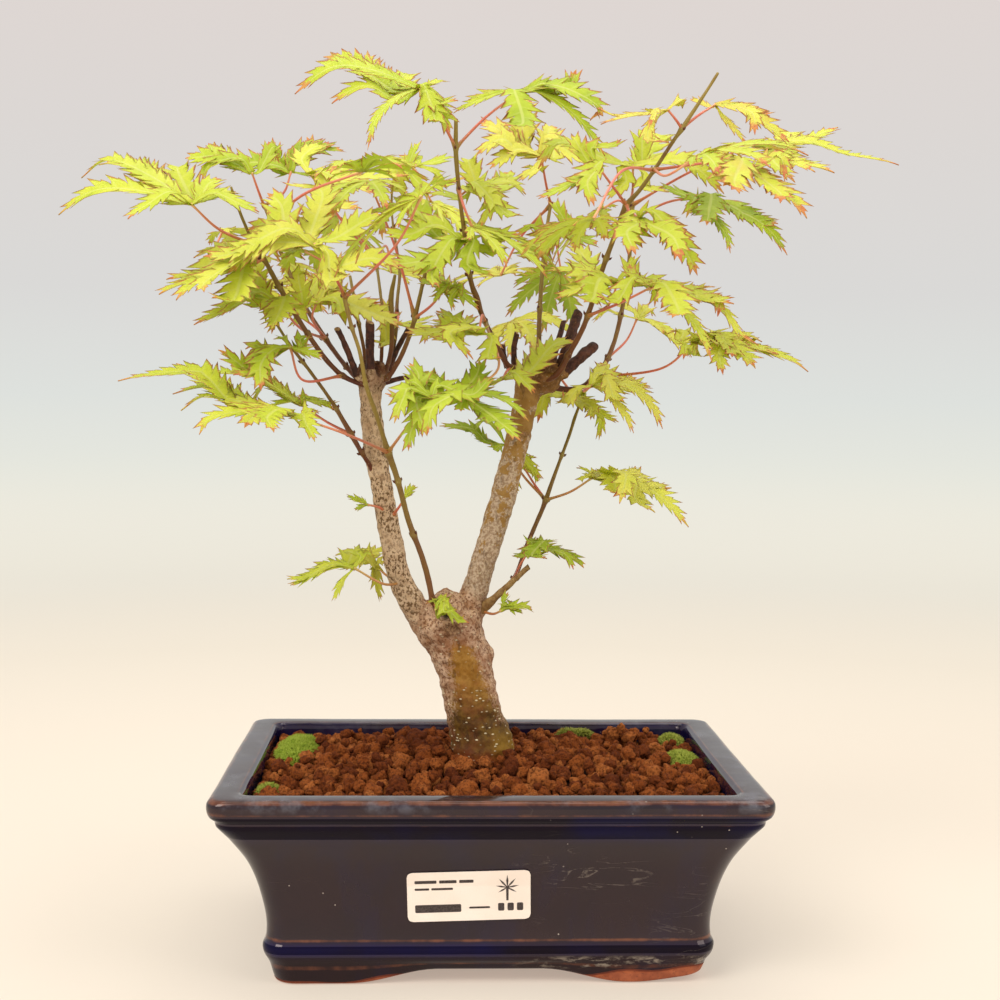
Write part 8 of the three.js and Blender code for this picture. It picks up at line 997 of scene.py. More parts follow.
# mask for the hole's near-black colour: painted shade in the dent
hole = np.where(front, np.clip(1.5 - hd / 1.9, 0, 1), 0)
scar = np.where(front, np.clip(1.6 - sd / 2.9, 0, 1), 0)
scar = np.maximum(scar, np.where(co[:, 1] < 16, np.clip(1.5 - ns / 1.6, 0, 1) * 0.8, 0))
disp -= np.where(front, 2.0 * np.exp(-((hd / 1.6) ** 2)), 0)
disp += np.where(front, 0.9 * np.exp(-(((hd - 3.1) / 1.0) ** 2)), 0)
disp += np.where(front, 0.6 * np.exp(-(((sd - 2.6) / 0.8) ** 2)) - 0.5 * np.exp(-((sd / 1.8) ** 2)), 0)
disp += np.where(co[:, 1] < 16, 0.7 * np.exp(-(((ns - 1.9) / 0.8) ** 2)) - 0.3 * np.exp(-((ns / 1.2) ** 2)), 0)
for i in range(nv):
    p = Vector(co[i])
    a = noise.fractal(p * 0.16, 1.0, 2.0, 3)
    b = noise.noise(Vector((p[0] * 0.75, p[1] * 0.75, p[2] * 0.42)))
    c = noise.noise(p * 1.7)
    k = kn[i]
    thick = 1.0 if dT[i] < 1.5 else 0.55
    disp[i] += a * (0.55 * thick + 0.9 * k + 0.9 * crown[i]) + b * (0.24 * thick + 0.5 * k + 0.4 * crown[i]) + c * (0.10 + 0.28 * k)
    # old growth ridges round the trunk
    disp[i] += 0.16 * thick * math.sin(p[2] * 1.15 + 2.0 * noise.noise(p * 0.12)) * (1 - k)
# the trunk spreads where it meets the soil
flare = np.exp(-((z - 66) / 7.0)) * (z < 84)
ang = np.arctan2(co[:, 1] - 9, co[:, 0] + 1)
disp += np.where(z < 84, flare * (0.9 + 0.9 * np.sin(ang * 5 + 0.7)), 0) * 0.5
co = co + no * disp[:, None]
acc = Acc(["wl", "wr", "low", "kn", "up", "hole", "scar", "base", "dark", "side"])
up = np.clip((z - 140) / 95, 0, 1)
basea = np.clip(1 - (z - 72.5) / 6.5, 0, 1) * np.clip(0.62 + 0.5 * np.cos(ang + 1.7), 0, 1)
acc.add(co, faces, 0, wl=wl, wr=wr, low=low, kn=kn, up=up, hole=hole, scar=scar, base=basea, dark=dark, side=np.clip(sx * 0.5 + 0.5, 0, 1))
bpy.data.meshes.remove(em)
for name, ring in STUBS.items():
    ring = np.array(ring, float)
    n = max(10, int(length(ring[:, :3]) / 0.9))
    C4 = curve(ring, n)
    rr = C4[:, 3] * (1 + 0.10 * NR.rand(n))
    V, F, S = tube(C4[:, :3], rr, 16, rough=0.18, seed=len(name) * 7.1 + ring[0, 0], flat_end=True)
    # slanted, slightly dished cut with a bark lip
    T = unit(C4[-1, :3] - C4[-2, :3])
    side = unit(np.cross(T, [0.3, 0.2, 1.0]))
    last = slice((n - 1) * 16, n * 16)
    V[last] += np.outer((V[last] - C4[-1, :3]) @ side * 0.45, T)
    V[-1] -= T * 0.25
    acc.add(V, [g for g in F if (n * 16 + 1) not in g], 3 if name[0] == "D" else 1)
    inner = [g for g in F if (n * 16 + 1) in g]
    # the cut face shares the bark's rim points, so it is written on the same body
    base_i = acc.n - len(V)
    acc.F.extend([tuple(i + base_i for i in g) for g in inner])
    acc.M.extend([2] * len(inner))
acc.make("trunk_wood", [BARK, STUB, CUT, PALE], ["trunk"])

# ---------------------------------------------------------------- pot
OUTS = [(0, 23), (3, 22.2), (7.6, 21), (12, 19), (15.4, 18.7), (17.4, 19.7), (23, 19.9), (30.5, 18.9), (40.3, 16.5), (49.5, 12.9), (58.2, 7.6), (65, 2.9), (67.2, 2.6), (68.6, 1.1), (70.6, 0.2), (73.4, 0.0), (75, 0.4), (76.1, 1.6)]
INS = [(76.1, 11.4), (74.6, 12.6), (60, 14.4), (40.3, 23), (23, 26.4), (13.5, 26.9)]


def rect_ring(ins, rc, npc=10, nl=46, ns=34):
    """A rounded rectangle's points at this inset, anticlockwise from the front left."""
    hx, hy = 106 - ins, 77.5 - 0.92 * ins
    rc = min(rc, hx - 1, hy - 1)
    P = []
    for (cx, cy, a0) in ((hx - rc, -hy + rc, -90), (hx - rc, hy - rc, 0), (-hx + rc, hy - rc, 90), (-hx + rc, -hy + rc, 180)):
        for k in range(npc + 1):
            a = math.radians(a0 + 90 * k / npc)
            P.append((cx + rc * math.cos(a), cy + rc * math.sin(a)))
    # side points between the corners
    out = []
    for c in range(4):
        corner = P[c * (npc + 1):(c + 1) * (npc + 1)]
        prev = P[(c * (npc + 1) - 1) % len(P)]
        m = nl if c in (0, 2) else ns
        for k in range(1, m + 1):
            f = k / (m + 1)
            out.append((prev[0] + (corner[0][0] - prev[0]) * f, prev[1] + (corner[0][1] - prev[1]) * f))
        out.extend(corner)
    return np.array(out)


def arch(P):
    """Height of the open arches along the foot at each point of a ring."""
    x, y = P[:, 0], P[:, 1]
    h = np.zeros(len(P))
    sm = lambda e: np.clip(e, 0, 1) ** 2 * (3 - 2 * np.clip(e, 0, 1))
    fr = (np.abs(x) < 54) & (np.abs(y) > 40)
    h[fr] = 5.6 * sm((1 - np.abs(x[fr]) / 54) / 0.64)
    sd_ = (np.abs(y) < 28) & (np.abs(x) > 60)
    h[sd_] = 5.6 * sm((1 - np.abs(y[sd_]) / 28) / 0.64)
    # the front right foot is worn away towards its corner
    h += 2.7 * sm((x - 56) / 27) * sm((-y - 36) / 16)
    return np.minimum(h, 6.9)


rows = []  # (z, inset, corner radius, kind, lip share)
zo = [p[0] for p in OUTS]
io = [p[1] for p in OUTS]
po = curve([[a, b, 0] for a, b in OUTS], 74)
rows += [(p[0], p[1], None, "out") for p in po]
lip = [(76.25, 2.6), (76.35, 4.2), (76.4, 6.2), (76.4, 8.2), (76.35, 9.6), (76.25, 10.7)]
rows += [(a, b, None, "top") for a, b in lip]
pi_ = curve([[a, b, 0] for a, b in INS], 34)
rows += [(p[0], p[1], None, "in") for p in pi_]
V, A = [], {k: [] for k in ("thin", "bare", "ins", "deep", "top")}
NRING = len(rect_ring(0, 6.5))
LIPZ = 76.85


def corner_r(zz):
    return 9.0 + (6.5 - 9.0) * np.clip((zz - 60) / 12, 0, 1)


for (zz, ins, _, kind) in rows:
    P = rect_ring(ins, corner_r(zz) if kind == "out" else (6.0 if kind == "top" else 5.0))
    P0 = rect_ring(0, 6.5)
    h = arch(P) if kind == "out" else np.zeros(len(P))
    if kind == "out" and zz < 10:
        zs = h + (10 - h) * (zz / 10)
    else:
        zs = np.full(len(P), zz)
    for k in range(len(P)):
        x, y = P[k]
        # hand-pressed unevenness
        wob = 0.35 * noise.noise(Vector((x * 0.021, y * 0.021, zz * 0.03 + 5))) + 0.10 * noise.noise(Vector((x * 0.08, y * 0.08, zz * 0.09)))
        d = unit(np.array([x, y]))
        fall = 1.0 if kind != "in" else 0.3
        V.append((x + d[0] * wob * fall, y + d[1] * wob * fall, zs[k] + (0.22 * noise.noise(Vector((x * 0.03, y * 0.03, 3.3))) if kind == "top" or (kind == "out" and zz > 70) else 0)))
        g = lambda c, w_: math.exp(-(((zz - c) / w_) ** 2)) if kind == "out" else 0.0
        corner = 1.0 if (abs(x) > 106 - ins - 7 and abs(y) > 77.5 - 0.92 * ins - 7) else 0.0
        th = max(g(75.6, 1.1), 0.75 * g(71.2, 0.9), 0.85 * g(66.2, 0.8) * 0.7, 0.9 * g(18.0, 0.9), 0.7 * g(7.0, 1.6), 0.4 * corner if kind == "out" else 0)
        if kind == "top" and (ins < 3.4 or ins > 9.8):
            th = 0.8 if ins > 9.8 else 0.6
        A["thin"].append(th)
        wave = 1.7 + 0.9 * math.sin(x * 0.061 + 1.1 + (0.8 if y < 0 else 2.0)) + 0.8 * noise.noise(Vector((x * 0.05, y * 0.05, 0)))
        lift = 5.4 * math.exp(-(((x - 52) / 12) ** 2)) + 4.2 * math.exp(-(((x - 76) / 13) ** 2)) if y < -40 else 0
        if y < -40:
            lift += 1.6 * math.exp(-(((x + 40) / 12) ** 2)) - 1.9 * math.exp(-(((x - 2) / 26) ** 2))
        bl = max(-0.6, wave + lift + (0.55 if y < -40 else 1.0) * h[k])
        A["bare"].append(float(np.clip(0.5 + (bl - zs[k]) / 2.4, 0, 1)) if kind == "out" else 0.0)
        A["ins"].append(1.0 if kind == "in" else 0.0)
        A["deep"].append(max(g(63.4, 3.2), g(68.6, 1.5) * 0.9, 0.98 * g(14.4, 2.2), 0.35 if kind == "in" else 0.0))
        A["top"].append(1.0 if kind == "top" else (np.clip((zz - 71) / 3.5, 0, 1) if kind == "out" else 0.25))
F = []
n_r = len(rows)
for i in range(n_r - 1):
    for k in range(NRING):
        k2 = (k + 1) % NRING
        F.append((i * NRING + k, i * NRING + k2, (i + 1) * NRING + k2, (i + 1) * NRING + k))


def add_ring(P, zs, **at):
    o = len(V)
    for k in range(len(P)):
        V.append((P[k][0], P[k][1], zs[k]))
        for q in A:
            A[q].append(at.get(q, 0.0))
    return o


# floor of the pot inside
last = (n_r - 1) * NRING
for q in (0.75, 0.5, 0.25):
    base = np.array([V[last + k][:2] for k in range(NRING)])
    o = add_ring(base * q, np.full(NRING, 13.2), ins=1.0, deep=0.5)
    src = last if q == 0.75 else o - NRING
    for k in range(NRING):
        k2 = (k + 1) % NRING
        F.append((src + k, src + k2, o + k2, o + k))
cen = len(V)
V.append((0, 0, 13.2))
for q in A:
    A[q].append(0.0)
for k in range(NRING):
    F.append((o + k, o + (k + 1) % NRING, cen))
# foot: bottom face, inner wall of the foot band, underside
P_in = rect_ring(36, 4)
b0 = np.array([V[k] for k in range(NRING)])
zb = arch(b0[:, :2])
o1 = add_ring(rect_ring(24.5, 8.5), np.maximum(zb - 0.0, 0.0), bare=1.0)
o2 = add_ring(P_in, arch(P_in), bare=1.0)
o3 = add_ring(P_in, np.full(NRING, 7.0), bare=1.0)
for k in range(NRING):
    V[k] = (V[k][0], V[k][1], V[k][2] + 0.5)
for (a, b) in ((0, o1), (o1, o2), (o2, o3)):
    for k in range(NRING):
        k2 = (k + 1) % NRING
        F.append((a + k2, a + k, b + k, b + k2))
src = o3
for q in (0.7, 0.4):
    o = add_ring(P_in * q, np.full(NRING, 7.0), bare=1.0)
    for k in range(NRING):
        k2 = (k + 1) % NRING
        F.append((src + k2, src + k, o + k, o + k2))
    src = o
cen = len(V)
V.append((0, 0, 7.0))
for q in A:
    A[q].append(1.0 if q == "bare" else 0.0)
for k in range(NRING):
    F.append((src + (k + 1) % NRING, src + k, cen))
acc = Acc(list(A))
deep_a, bare_a, zv = np.array(A["deep"]), np.array(A["bare"]), np.array([v[2] for v in V])
zone = []
for f in F:
    q = list(f)
    # deep bands under the lip and in the grooves take the darker, less shiny copy: painted shade over pooled glaze
    if deep_a[q].mean() > 0.50:
        zone.append(1)
    elif zv[q].mean() < 11.5 and bare_a[q].mean() < 0.9 and abs(zv[q].max() - 7.0) > 1e-6:
        zone.append(2)
    else:
        zone.append(0)
acc.add(V, F, 0, **A)
acc.M = zone
acc.make("pot_glazed", [GLAZE, POOL_SHADED, BAND], ["pot"])

# ---------------------------------------------------------------- label
def wall(zz):
    """Front wall's y at a height."""
    zs = [p[0] for p in OUTS]
    return -(77.5 - 0.92 * float(np.interp(zz, zs, io)))


LX, LZ, LW, LH, TILT = -8.35, 36.3, 46.8, 20.4, math.radians(1.6)


def lab(u, v, lift):
    x = LX + u * math.cos(TILT) - v * math.sin(TILT)
    zz = LZ + u * math.sin(TILT) + v * math.cos(TILT)
    sl = (wall(zz + 1) - wall(zz - 1)) / 2
    nn = unit([0, -1, sl * -1.0])
    return np.array([x, wall(zz), zz]) + np.array([0, -1.0, 0.0]) * lift + np.array([0, 0, -sl * lift * 0.2])


def slab(u0, u1, v0, v1, l0, l1, rad, acc, mat, nu=24, nv_=12):
    us = np.concatenate([[u0, u0 + rad * 0.3, u0 + rad], np.linspace(u0 + rad, u1 - rad, nu)[1:-1], [u1 - rad, u1 - rad * 0.3, u1]]) if rad else np.linspace(u0, u1, nu)
    vs = np.concatenate([[v0, v0 + rad * 0.3, v0 + rad], np.linspace(v0 + rad, v1 - rad, nv_)[1:-1], [v1 - rad, v1 - rad * 0.3, v1]]) if rad else np.linspace(v0, v1, nv_)
    def pull(u, v):
        if not rad:
            return u, v
        cu = min(max(u, u0 + rad), u1 - rad)
        cv = min(max(v, v0 + rad), v1 - rad)
        du, dv = u - cu, v - cv
        if du and dv:
            m = max(abs(du), abs(dv)) / math.hypot(du, dv)
            du, dv = du * m, dv * m
        return cu + du, cv + dv
    V2, F2 = [], []
    for l in (l0, l1):
        for v in vs:
            for u in us:
                V2.append(lab(*pull(u, v), l))
    nu_, nvv = len(us), len(vs)
    off = nu_ * nvv
    for j in range(nvv - 1):
        for i in range(nu_ - 1):
            a = j * nu_ + i
            F2.append((a, a + nu_, a + nu_ + 1, a + 1))
            F2.append((a + off, a + off + 1, a + off + nu_ + 1, a + off + nu_))
    edge = [i for i in range(nu_)] + [j * nu_ + nu_ - 1 for j in range(1, nvv)] + [(nvv - 1) * nu_ + i for i in range(nu_ - 2, -1, -1)] + [j * nu_ for j in range(nvv - 2, 0, -1)]
    for k in range(len(edge)):
        a, b = edge[k], edge[(k + 1) % len(edge)]
        F2.append((a, b, b + off, a + off))
    acc.add(V2, F2, mat)


acc = Acc(["s"])
slab(-LW / 2, LW / 2, -LH / 2, LH / 2, 0.30, 0.62, 2.1, acc, 0, 40, 24)
# generic print: plain bars for a caption, rings for a number of days' care, and a simple leaf
bars = [(-20.5, -12.2, 5.4, 6.7), (-11.2, -4.6, 5.4, 6.7), (-3.6, 1.8, 5.4, 6.7), (-20.5, -15.0, 2.6, 3.5), (-14.2, -6.0, 2.6, 3.5)]
for (a, b, c, d) in bars:
    slab(a, b, c, d, 0.60, 0.66, 0.3, acc, 1, 10, 5)
for (a, b, c, d) in [(-20.5, -3.0, -6.6, -3.4), (0.0, 8.0, -5.4, -4.6)]:
    slab(a, b, c, d, 0.60, 0.66, 0.5, acc, 1, 16, 6)
for k in range(3):
    slab(11.0 + k * 3.6, 13.4 + k * 3.6, -6.6, -3.4, 0.60, 0.66, 0.5, acc, 1, 6, 6)
# leaf mark: seven narrow points round a stalk
cu, cv = 14.6, 3.0
out = []
for k in range(7):
    a = math.radians(-120 + 40 * k)
    ln = 5.4 - 0.45 * abs(k - 3)
    out.append((cu + 0.55 * math.sin(a - 0.35), cv + 0.55 * math.cos(a - 0.35)))
    out.append((cu + ln * 0.55 * math.sin(a - 0.14), cv + ln * 0.55 * math.cos(a - 0.14)))
    out.append((cu + ln * math.sin(a), cv + ln * math.cos(a)))
    out.append((cu + ln * 0.55 * math.sin(a + 0.14), cv + ln * 0.55 * math.cos(a + 0.14)))
out.append((cu + 0.5, cv - 0.6))
out.append((cu + 0.42, cv - 5.4))
out.append((cu - 0.42, cv - 5.4))
out.append((cu - 0.5, cv - 0.6))
V2 = [lab(u, v, 0.60) for u, v in out] + [lab(u, v, 0.66) for u, v in out] + [lab(cu, cv, 0.60), lab(cu, cv, 0.66)]
no_ = len(out)
F2 = []
for k in range(no_):
    k2 = (k + 1) % no_
    F2.append((k, k2, k2 + no_, k + no_))
    F2.append((k2, k, 2 * no_))
    F2.append((k + no_, k2 + no_, 2 * no_ + 1))
acc.add(V2, F2, 1)
acc.make("label_sticker", [PAPER, INK], ["label"], smooth=False)

# ---------------------------------------------------------------- soil
def soil_top(x, y):
    return 70.5 + 4.5 * math.exp(-(((x + 1.5) ** 2 + (y - 10) ** 2) / (2 * 34 ** 2)))


def inside(x, y, pad):
    hx, hy = 106 - 12.6 - pad, 77.5 - 0.92 * 12.6 - pad
    return abs(x) < hx and abs(y) < hy


MOSSES = {"moss_back_left": (-82, 32, 8.5, 26, 5.2), "moss_left": (-86.5, -40, 4, 6.5, 4), "moss_back": (42, 58.5, 9, 4, 5.2), "moss_right": (84, 12, 6.8, 13, 4.8), "moss_right_back": (85, 50, 5.2, 9, 4.6)}
MTOP = {}


def in_moss(x, y, g=1.0):
    for (mx, my, hx, hy, rise) in MOSSES.values():
        if ((x - mx) / (hx * g)) ** 2 + ((y - my) / (hy * g)) ** 2 < 1:
            return True
    return False


def corner_pull(x, y, hx, hy, rc):
    cx, cy = max(abs(x) - (hx - rc), 0.0), max(abs(y) - (hy - rc), 0.0)
    if cx > 0 and cy > 0:
        m = max(cx, cy) / math.hypot(cx, cy)
        return math.copysign(hx - rc + cx * m, x), math.copysign(hy - rc + cy * m, y)
    return x, y


# bed under the grains, coloured very dark brown as painted shade in the gaps between grains
acc = Acc(["s"])
nx, ny = 120, 90
V, F = [], []
bx, by = 106 - 13.3, 77.5 - 0.92 * 13.3
for j in range(ny):
    for i in range(nx):
        fx, fy = -1 + 2 * i / (nx - 1), -1 + 2 * j / (ny - 1)
        x, y = corner_pull(fx * bx, fy * by, bx, by, 5.0)
        zz = soil_top(x, y) - 2.4 + 1.3 * noise.noise(Vector((x * 0.22, y * 0.22, 0))) + 0.7 * noise.noise(Vector((x * 0.6, y * 0.6, 4)))
        V.append((x, y, zz))
for j in range(ny):
    for i in range(nx):
        fx, fy = -1 + 2 * i / (nx - 1), -1 + 2 * j / (ny - 1)
        V.append((fx * (bx - 19.0), fy * (by - 17.5), 14.0))
off = nx * ny
for j in range(ny - 1):
    for i in range(nx - 1):
        a = j * nx + i
        F.append((a, a + 1, a + nx + 1, a + nx))
        F.append((a + off, a + off + nx, a + off + nx + 1, a + off + 1))
edge = [i for i in range(nx)] + [j * nx + nx - 1 for j in range(1, ny)] + [(ny - 1) * nx + i for i in range(nx - 2, -1, -1)] + [j * nx for j in range(ny - 2, 0, -1)]
mid = {}
for k in range(len(edge)):
    a, b = edge[k], edge[(k + 1) % len(edge)]
    F.append((b, a, a + off, b + off))
acc.add(V, F, 0)
acc.make("soil_bed_painted_shade", [SHADED_BED], ["soil"])

# grains: lumpy faceted bodies, big ones first, each resting on those below
def ico(sub):
    bm = bmesh.new()
    bmesh.ops.create_icosphere(bm, subdivisions=sub, radius=1.0)
    bm.verts.ensure_lookup_table()
    V_ = np.array([v.co[:] for v in bm.verts])
    F_ = [tuple(v.index for v in f.verts) for f in bm.faces]
    bm.free()
    return V_, F_


IV3, IF3 = ico(4)
IV2, IF2 = ico(3)
shapes = []
sr = np.random.RandomState(5)
for k in range(22):
    nf = sr.randint(9, 15)
    N = unit(sr.randn(nf, 3))
    D = sr.uniform(0.74, 1.02, nf)
    V3 = []
    for base_v in (IV2, IV3):
        dots = np.maximum(base_v @ N.T, 1e-3)
        rr = (np.sum((dots / D) ** 9, axis=1)) ** (-1 / 9.0)
        rr = np.minimum(rr, 1.15)
        out_v = base_v * rr[:, None]
        lump = np.array([0.20 * noise.fractal(Vector(v * 1.9 + k * 3.1), 1.0, 2.0, 4) + 0.085 * noise.noise(Vector(v * 6.5 + k)) for v in out_v])
        out_v = out_v * (1 + lump)[:, None] * sr.uniform(0.82, 1.15, 3) if base_v is IV2 else out_v * (1 + lump)[:, None]
        V3.append(out_v)
    sc3 = sr.uniform(0.8, 1.16, 3)
    V3[1] = V3[1] * sc3
    shapes.append((V3[0] / np.abs(V3[0]).max(), V3[1] / np.abs(V3[1]).max()))
placed = []
gr = random.Random(31)


def trunk_clear(x, y, r):
    return math.hypot(x + 1.6, y - 9) > 12.6 + r * 0.55


def try_place(r, tries, base_lift, gap):
    for _ in range(tries):
        x, y = gr.uniform(-92.2, 92.2), gr.uniform(-65, 65)
        if not inside(x, y, r * 0.92) or not trunk_clear(x, y, r) or in_moss(x, y, 0.9):
            continue
        ok = True
        for (px, py, pz, pr) in grid_near(x, y):
            if math.hypot(px - x, py - y) < (pr + r) * gap:
                ok = False
                break
        if ok:
            edge_d = min(92.4 - abs(x), 65.2 - abs(y))
            zz = soil_top(x, y) + base_lift * r - (0.8 if edge_d < 6 else 0)
            return x, y, zz
    return None


cells = {}


def grid_near(x, y):
    gx, gy = int(x // 9), int(y // 9)
    for a in (-1, 0, 1):
        for b in (-1, 0, 1):
            yield from cells.get((gx + a, gy + b), ())


def put(x, y, zz, r):
    g = (x, y, zz, r)
    placed.append(g)
    cells.setdefault((int(x // 9), int(y // 9)), []).append(g)


for (lo_, hi_, cnt, lift, gap) in ((3.5, 4.9, 130, 0.06, 0.92), (2.4, 3.4, 430, -0.10, 0.88), (1.5, 2.3, 620, -0.35, 0.82)):
    for _ in range(cnt):
        r = gr.uniform(lo_, hi_)
        q = try_place(r, 40, lift + gr.uniform(-0.2, 0.25), gap)
        if q:
            put(*q, r)
# a second, loose layer on top, thicker towards the middle
top_layer = []
for _ in range(330):
    r = gr.uniform(1.5, 3.5) if gr.random() < 0.7 else gr.uniform(1.1, 1.7)
    x, y = gr.uniform(-86.5, 86.5), gr.uniform(-59.5, 59.5)
    if not inside(x, y, r + 2.5) or not trunk_clear(x, y, r) or in_moss(x, y, 0.95):
        continue
    if any(math.hypot(a - x, b - y) < (c + r) * 0.8 for (a, b, _, c) in top_layer):
        continue
    hgt = [pz + math.sqrt(max(0.0, ((pr + r) * 0.80) ** 2 - (px - x) ** 2 - (py - y) ** 2)) for (px, py, pz, pr) in grid_near(x, y) if math.hypot(px - x, py - y) < (pr + r) * 0.80]
    if not hgt:
        continue
    zz = sorted(hgt)[-1] - 0.25 * r
    if zz > soil_top(x, y) + 4.2:
        continue
    top_layer.append((x, y, zz, r))
for (x, y, zz, r) in top_layer:
    placed.append((x, y, zz, r))
placed.append((61.5, 44.0, 78.4, 2.7))
placed.append((58.5, 46.5, 75.6, 3.6))
placed.append((64.8, 43.0, 75.2, 3.4))
groups = {}
for g in placed:
    key = (0 if g[1] < -20 else (1 if g[1] < 20 else 2), 0 if g[0] < -30 else (1 if g[0] < 30 else 2))
    groups.setdefault(key, []).append(g)
for key, gs in sorted(groups.items()):
    acc = Acc(["gr", "up"])
    for (x, y, zz, r) in gs:
        V2, V3 = shapes[gr.randrange(len(shapes))]
        fine = zz > soil_top(x, y) - 0.9 and r > 2.6
        Vb, Fb = (V3, IF3) if fine else (V2, IF2)
        q = np.array(Vector((gr.gauss(0, 1), gr.gauss(0, 1), gr.gauss(0, 1), )).normalized())
        a_ = gr.uniform(0, 6.28)
        K = np.array([[0, -q[2], q[1]], [q[2], 0, -q[0]], [-q[1], q[0], 0]])
        Rm = np.eye(3) + math.sin(a_) * K + (1 - math.cos(a_)) * K @ K
        Vw = (Vb * [1, 1, 0.92]) @ Rm.T * r * 1.12 + [x, y, zz]
        acc.add(Vw, Fb, 0, gr=gr.random(), up=0.0)
    names = {0: "front", 1: "middle", 2: "back"}
    cols = {0: "left", 1: "centre", 2: "right"}
    acc.make("akadama_grains_%s_%s" % (names[key[0]], cols[key[1]]), [GRAIN], [])

# ---------------------------------------------------------------- moss
for name, (mx, my, hx, hy, rise) in MOSSES.items():
    acc = Acc(["s", "gr", "yl"])
    rg = random.Random(name)
    # cushion
    V, F = [], []
    na, nb = 40, 12
    for i in range(nb):
        f = 0.04 + 0.96 * i / (nb - 1)
        for k in range(na):
            a = 2 * math.pi * k / na
            rr = f * (1 + 0.16 * noise.noise(Vector((math.cos(a) * 1.7 + mx, math.sin(a) * 1.7, f))))
            x, y = mx + hx * 0.93 * rr * math.cos(a), my + hy * 0.93 * rr * math.sin(a)
            x, y = min(max(x, -92.0), 92.0), min(max(y, -64.6), 64.6)
            zz = soil_top(x, y) - 1.5 + (rise - 0.6) * math.sqrt(max(0, 1 - f ** 2.4)) + 0.9 * noise.noise(Vector((x * 0.25, y * 0.25, 1)))
            V.append((x, y, zz))
    for i in range(nb - 1):
        for k in range(na):
            k2 = (k + 1) % na
            F.append((i * na + k, (i + 1) * na + k, (i + 1) * na + k2, i * na + k2))
    F.append(tuple(range((nb - 1) * na, nb * na))[::-1])
    F.append(tuple(range(na)))
    acc.add(V, F, 0, s=0.15, gr=0.3, yl=0.0)
    area = math.pi * hx * hy
    yl = {"moss_back": 0.75, "moss_right": 0.45, "moss_right_back": 0.6, "moss_left": 0.5}.get(name, 0.0)
    for _ in range(int(area * 9)):
        a, f = rg.uniform(0, 2 * math.pi), math.sqrt(rg.random())
        rr = f * (1 + 0.16 * noise.noise(Vector((math.cos(a) * 1.7 + mx, math.sin(a) * 1.7, f))))
        x, y = mx + hx * 0.97 * rr * math.cos(a), my + hy * 0.97 * rr * math.sin(a)
        if abs(x) > 91.8 or abs(y) > 64.4:
            continue
        z0 = soil_top(x, y) - 1.7 + (rise - 0.6) * math.sqrt(max(0, 1 - min(f, 1) ** 2.4)) + 0.9 * noise.noise(Vector((x * 0.25, y * 0.25, 1)))
        nrm = unit([math.cos(a) * f * 1.1 * rise / hx * 2 + rg.gauss(0, .35), math.sin(a) * f * 1.1 * rise / hy * 2 + rg.gauss(0, .35), 1.0])
        ln = rg.uniform(1.3, 2.6)
        side = unit(np.cross(nrm, [rg.gauss(0, 1), rg.gauss(0, 1), 0.1]))
        o = np.cross(nrm, side)
        w0 = rg.uniform(0.16, 0.26)
        b = np.array([x, y, z0])
        mid_ = b + nrm * ln * 0.55 + side * rg.uniform(-0.2, 0.2)
        tip = b + nrm * ln + side * rg.uniform(-0.5, 0.5)
        Vv = [b + side * w0 * 0.6, b - side * w0 * 0.3 + o * w0 * 0.5, b - side * w0 * 0.3 - o * w0 * 0.5, mid_ + side * w0, mid_ - side * w0 * 0.5 + o * w0 * 0.9, mid_ - side * w0 * 0.5 - o * w0 * 0.9, tip]
        Ff = [(0, 2, 1), (0, 1, 4, 3), (1, 2, 5, 4), (2, 0, 3, 5), (3, 4, 6), (4, 5, 6), (5, 3, 6)]
        acc.add(Vv, Ff, 0, s=[0.1, 0.1, 0.1, 0.7, 0.7, 0.7, 1.0], gr=rg.random(), yl=yl * rg.uniform(0.6, 1) if yl else max(0, rg.gauss(0, .12)))
    acc.make(name + "_tufts", [MOSS], [name])
# ---------------------------------------------------------------- stage, lights, camera
def stage_material():
    m = Mat("studio_sweep")
    sep = m.z()
    zz = sep[2]
    x2 = m.math("MULTIPLY", sep[0], sep[0])
    y2 = m.math("MULTIPLY", sep[1], sep[1])
    rr = m.math("SQRT", m.math("ADD", x2, y2))
    wall_c = m.ramp(m.rng_lin(zz, 0.0, 1.0), WALL_STOPS)
    floor_c = m.ramp(m.rng_lin(rr, 0.0, 1.8), FLOOR_STOPS)
    f = m.rng(zz, 0.0, 0.16)
    col = m.mix(f, floor_c, wall_c)
    col = m.mix(m.math("MULTIPLY", m.math("SUBTRACT", m.noise(3, 2), 0.5), 0.05), col, lin(250, 246, 240))
    em = m.n("Emission")
    m.link(col, em.inputs["Color"])
    em.inputs["Strength"].default_value = 1.0
    df = m.n("BsdfDiffuse")
    m.link(col, df.inputs["Color"])
    ms = m.n("MixShader")
    m.link(m.rng(m.math("ADD", m.rng_lin(rr, 0.7, 1.5, 0.0, 0.06), zz), 0.0, 0.10, FLOOR_EMIT, 1.0), ms.inputs[0])
    m.link(df.outputs[0], ms.inputs[1])
    m.link(em.outputs[0], ms.inputs[2])
    m.link(ms.outputs[0], m.out.inputs["Surface"])
    return m.m


def rng_lin(self, v, a, b, lo=0.0, hi=1.0):
    x = self.n("MapRange")
    self.val(x.inputs["Value"], v)
    x.inputs["From Min"].default_value = a
    x.inputs["From Max"].default_value = b
    x.inputs["To Min"].default_value = lo
    x.inputs["To Max"].default_value = hi
    return x.outputs["Result"]


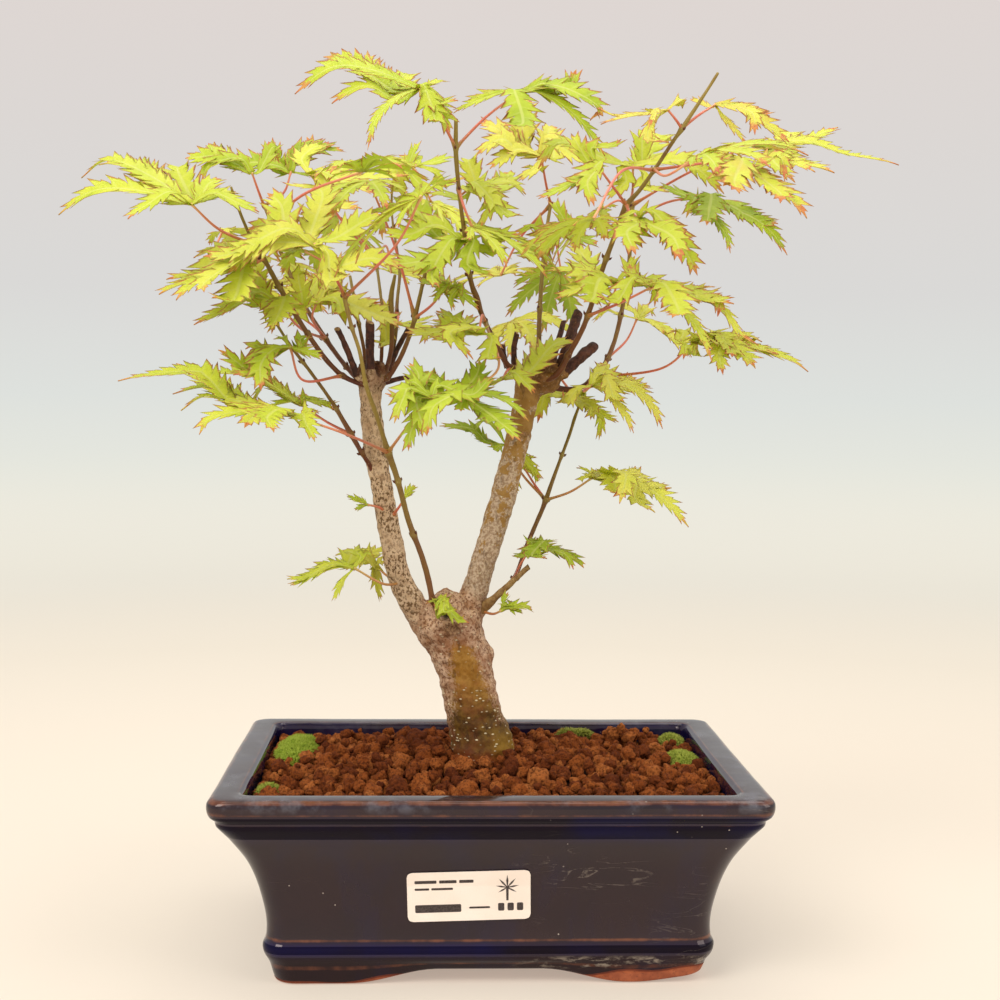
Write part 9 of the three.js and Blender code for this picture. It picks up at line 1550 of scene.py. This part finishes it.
Mat.rng_lin = rng_lin
FLOOR_EMIT = 0.45
WALL_STOPS = [(0.0, lin(238, 235, 223)), (0.12, lin(230, 231, 222)), (0.24, lin(222, 225, 221)), (0.42, lin(218, 217, 215)), (0.7, lin(220, 215, 212)), (1.0, lin(223, 214, 210))]
FLOOR_STOPS = [(0.0, lin(236, 224, 208)), (0.22, lin(235, 223, 206)), (0.45, lin(231, 222, 206)), (0.75, lin(234, 229, 216)), (1.0, lin(238, 234, 221))]
prof = [(0.02, 0), (0.3, 0), (0.6, 0), (0.9, 0), (1.2, 0), (1.5, 0)]
for k in range(1, 13):
    a = math.pi / 2 * k / 12
    prof.append((1.5 + 0.6 * math.sin(a), 0.6 - 0.6 * math.cos(a)))
prof += [(2.1, 1.0), (2.1, 1.6), (2.1, 2.3)]
V, F, ns_ = [(0, 0, 0)], [], 72
for (r, zz) in prof:
    for k in range(ns_):
        a = 2 * math.pi * k / ns_
        V.append((r * math.cos(a), r * math.sin(a), zz))
for k in range(ns_):
    F.append((0, 1 + k, 1 + (k + 1) % ns_))
for i in range(len(prof) - 1):
    for k in range(ns_):
        k2 = (k + 1) % ns_
        F.append((1 + i * ns_ + k, 1 + (i + 1) * ns_ + k, 1 + (i + 1) * ns_ + k2, 1 + i * ns_ + k2))
me = bpy.data.meshes.new("studio_sweep")
me.from_pydata(V, [], F)
me.polygons.foreach_set("use_smooth", [True] * len(F))
me.materials.append(stage_material())
bowl = bpy.data.objects.new("studio_sweep", me)
bpy.context.scene.collection.objects.link(bowl)

scene = bpy.context.scene
world = bpy.data.worlds.new("studio")
scene.world = world
world.use_nodes = True
bg = world.node_tree.nodes["Background"]
bg.inputs[0].default_value = (1.0, 0.985, 0.96, 1)
bg.inputs[1].default_value = WORLD


def area(name, loc, target, size, power, color=(1, 1, 1), size_y=None):
    ld = bpy.data.lights.new(name, "AREA")
    ld.shape = "RECTANGLE"
    ld.size = size
    ld.size_y = size_y or size
    ld.energy = power
    ld.color = color
    ob = bpy.data.objects.new(name, ld)
    scene.collection.objects.link(ob)
    ob.location = loc
    ob.rotation_mode = "QUATERNION"
    ob.rotation_quaternion = (Vector(target) - Vector(loc)).to_track_quat("-Z", "Y")
    ob.visible_camera = False
    return ob


for spec in LIGHTS:
    area(*spec)

cam = bpy.data.cameras.new("camera")
cam.lens = 55.54
cam.sensor_width = 36
cam.clip_start, cam.clip_end = 0.01, 20
co_ = bpy.data.objects.new("camera", cam)
scene.collection.objects.link(co_)
Rv, Uv, Fv = [Vector(v).normalized() for v in ((0.99914166, -0.04025845, 0.00975709), (-0.00738689, 0.05860868, 0.9982537), (0.04076, 0.99746894, -0.05826099))]
co_.matrix_world = Matrix(((Rv.x, Uv.x, -Fv.x, -0.02155), (Rv.y, Uv.y, -Fv.y, -0.63765), (Rv.z, Uv.z, -Fv.z, 0.22042), (0, 0, 0, 1)))
scene.camera = co_
scene.view_settings.view_transform = "Standard"
scene.view_settings.look = "None"
scene.cycles.max_bounces = 10
scene.cycles.transmission_bounces = 6
scene.cycles.diffuse_bounces = 5

bpy.context.view_layer.update()
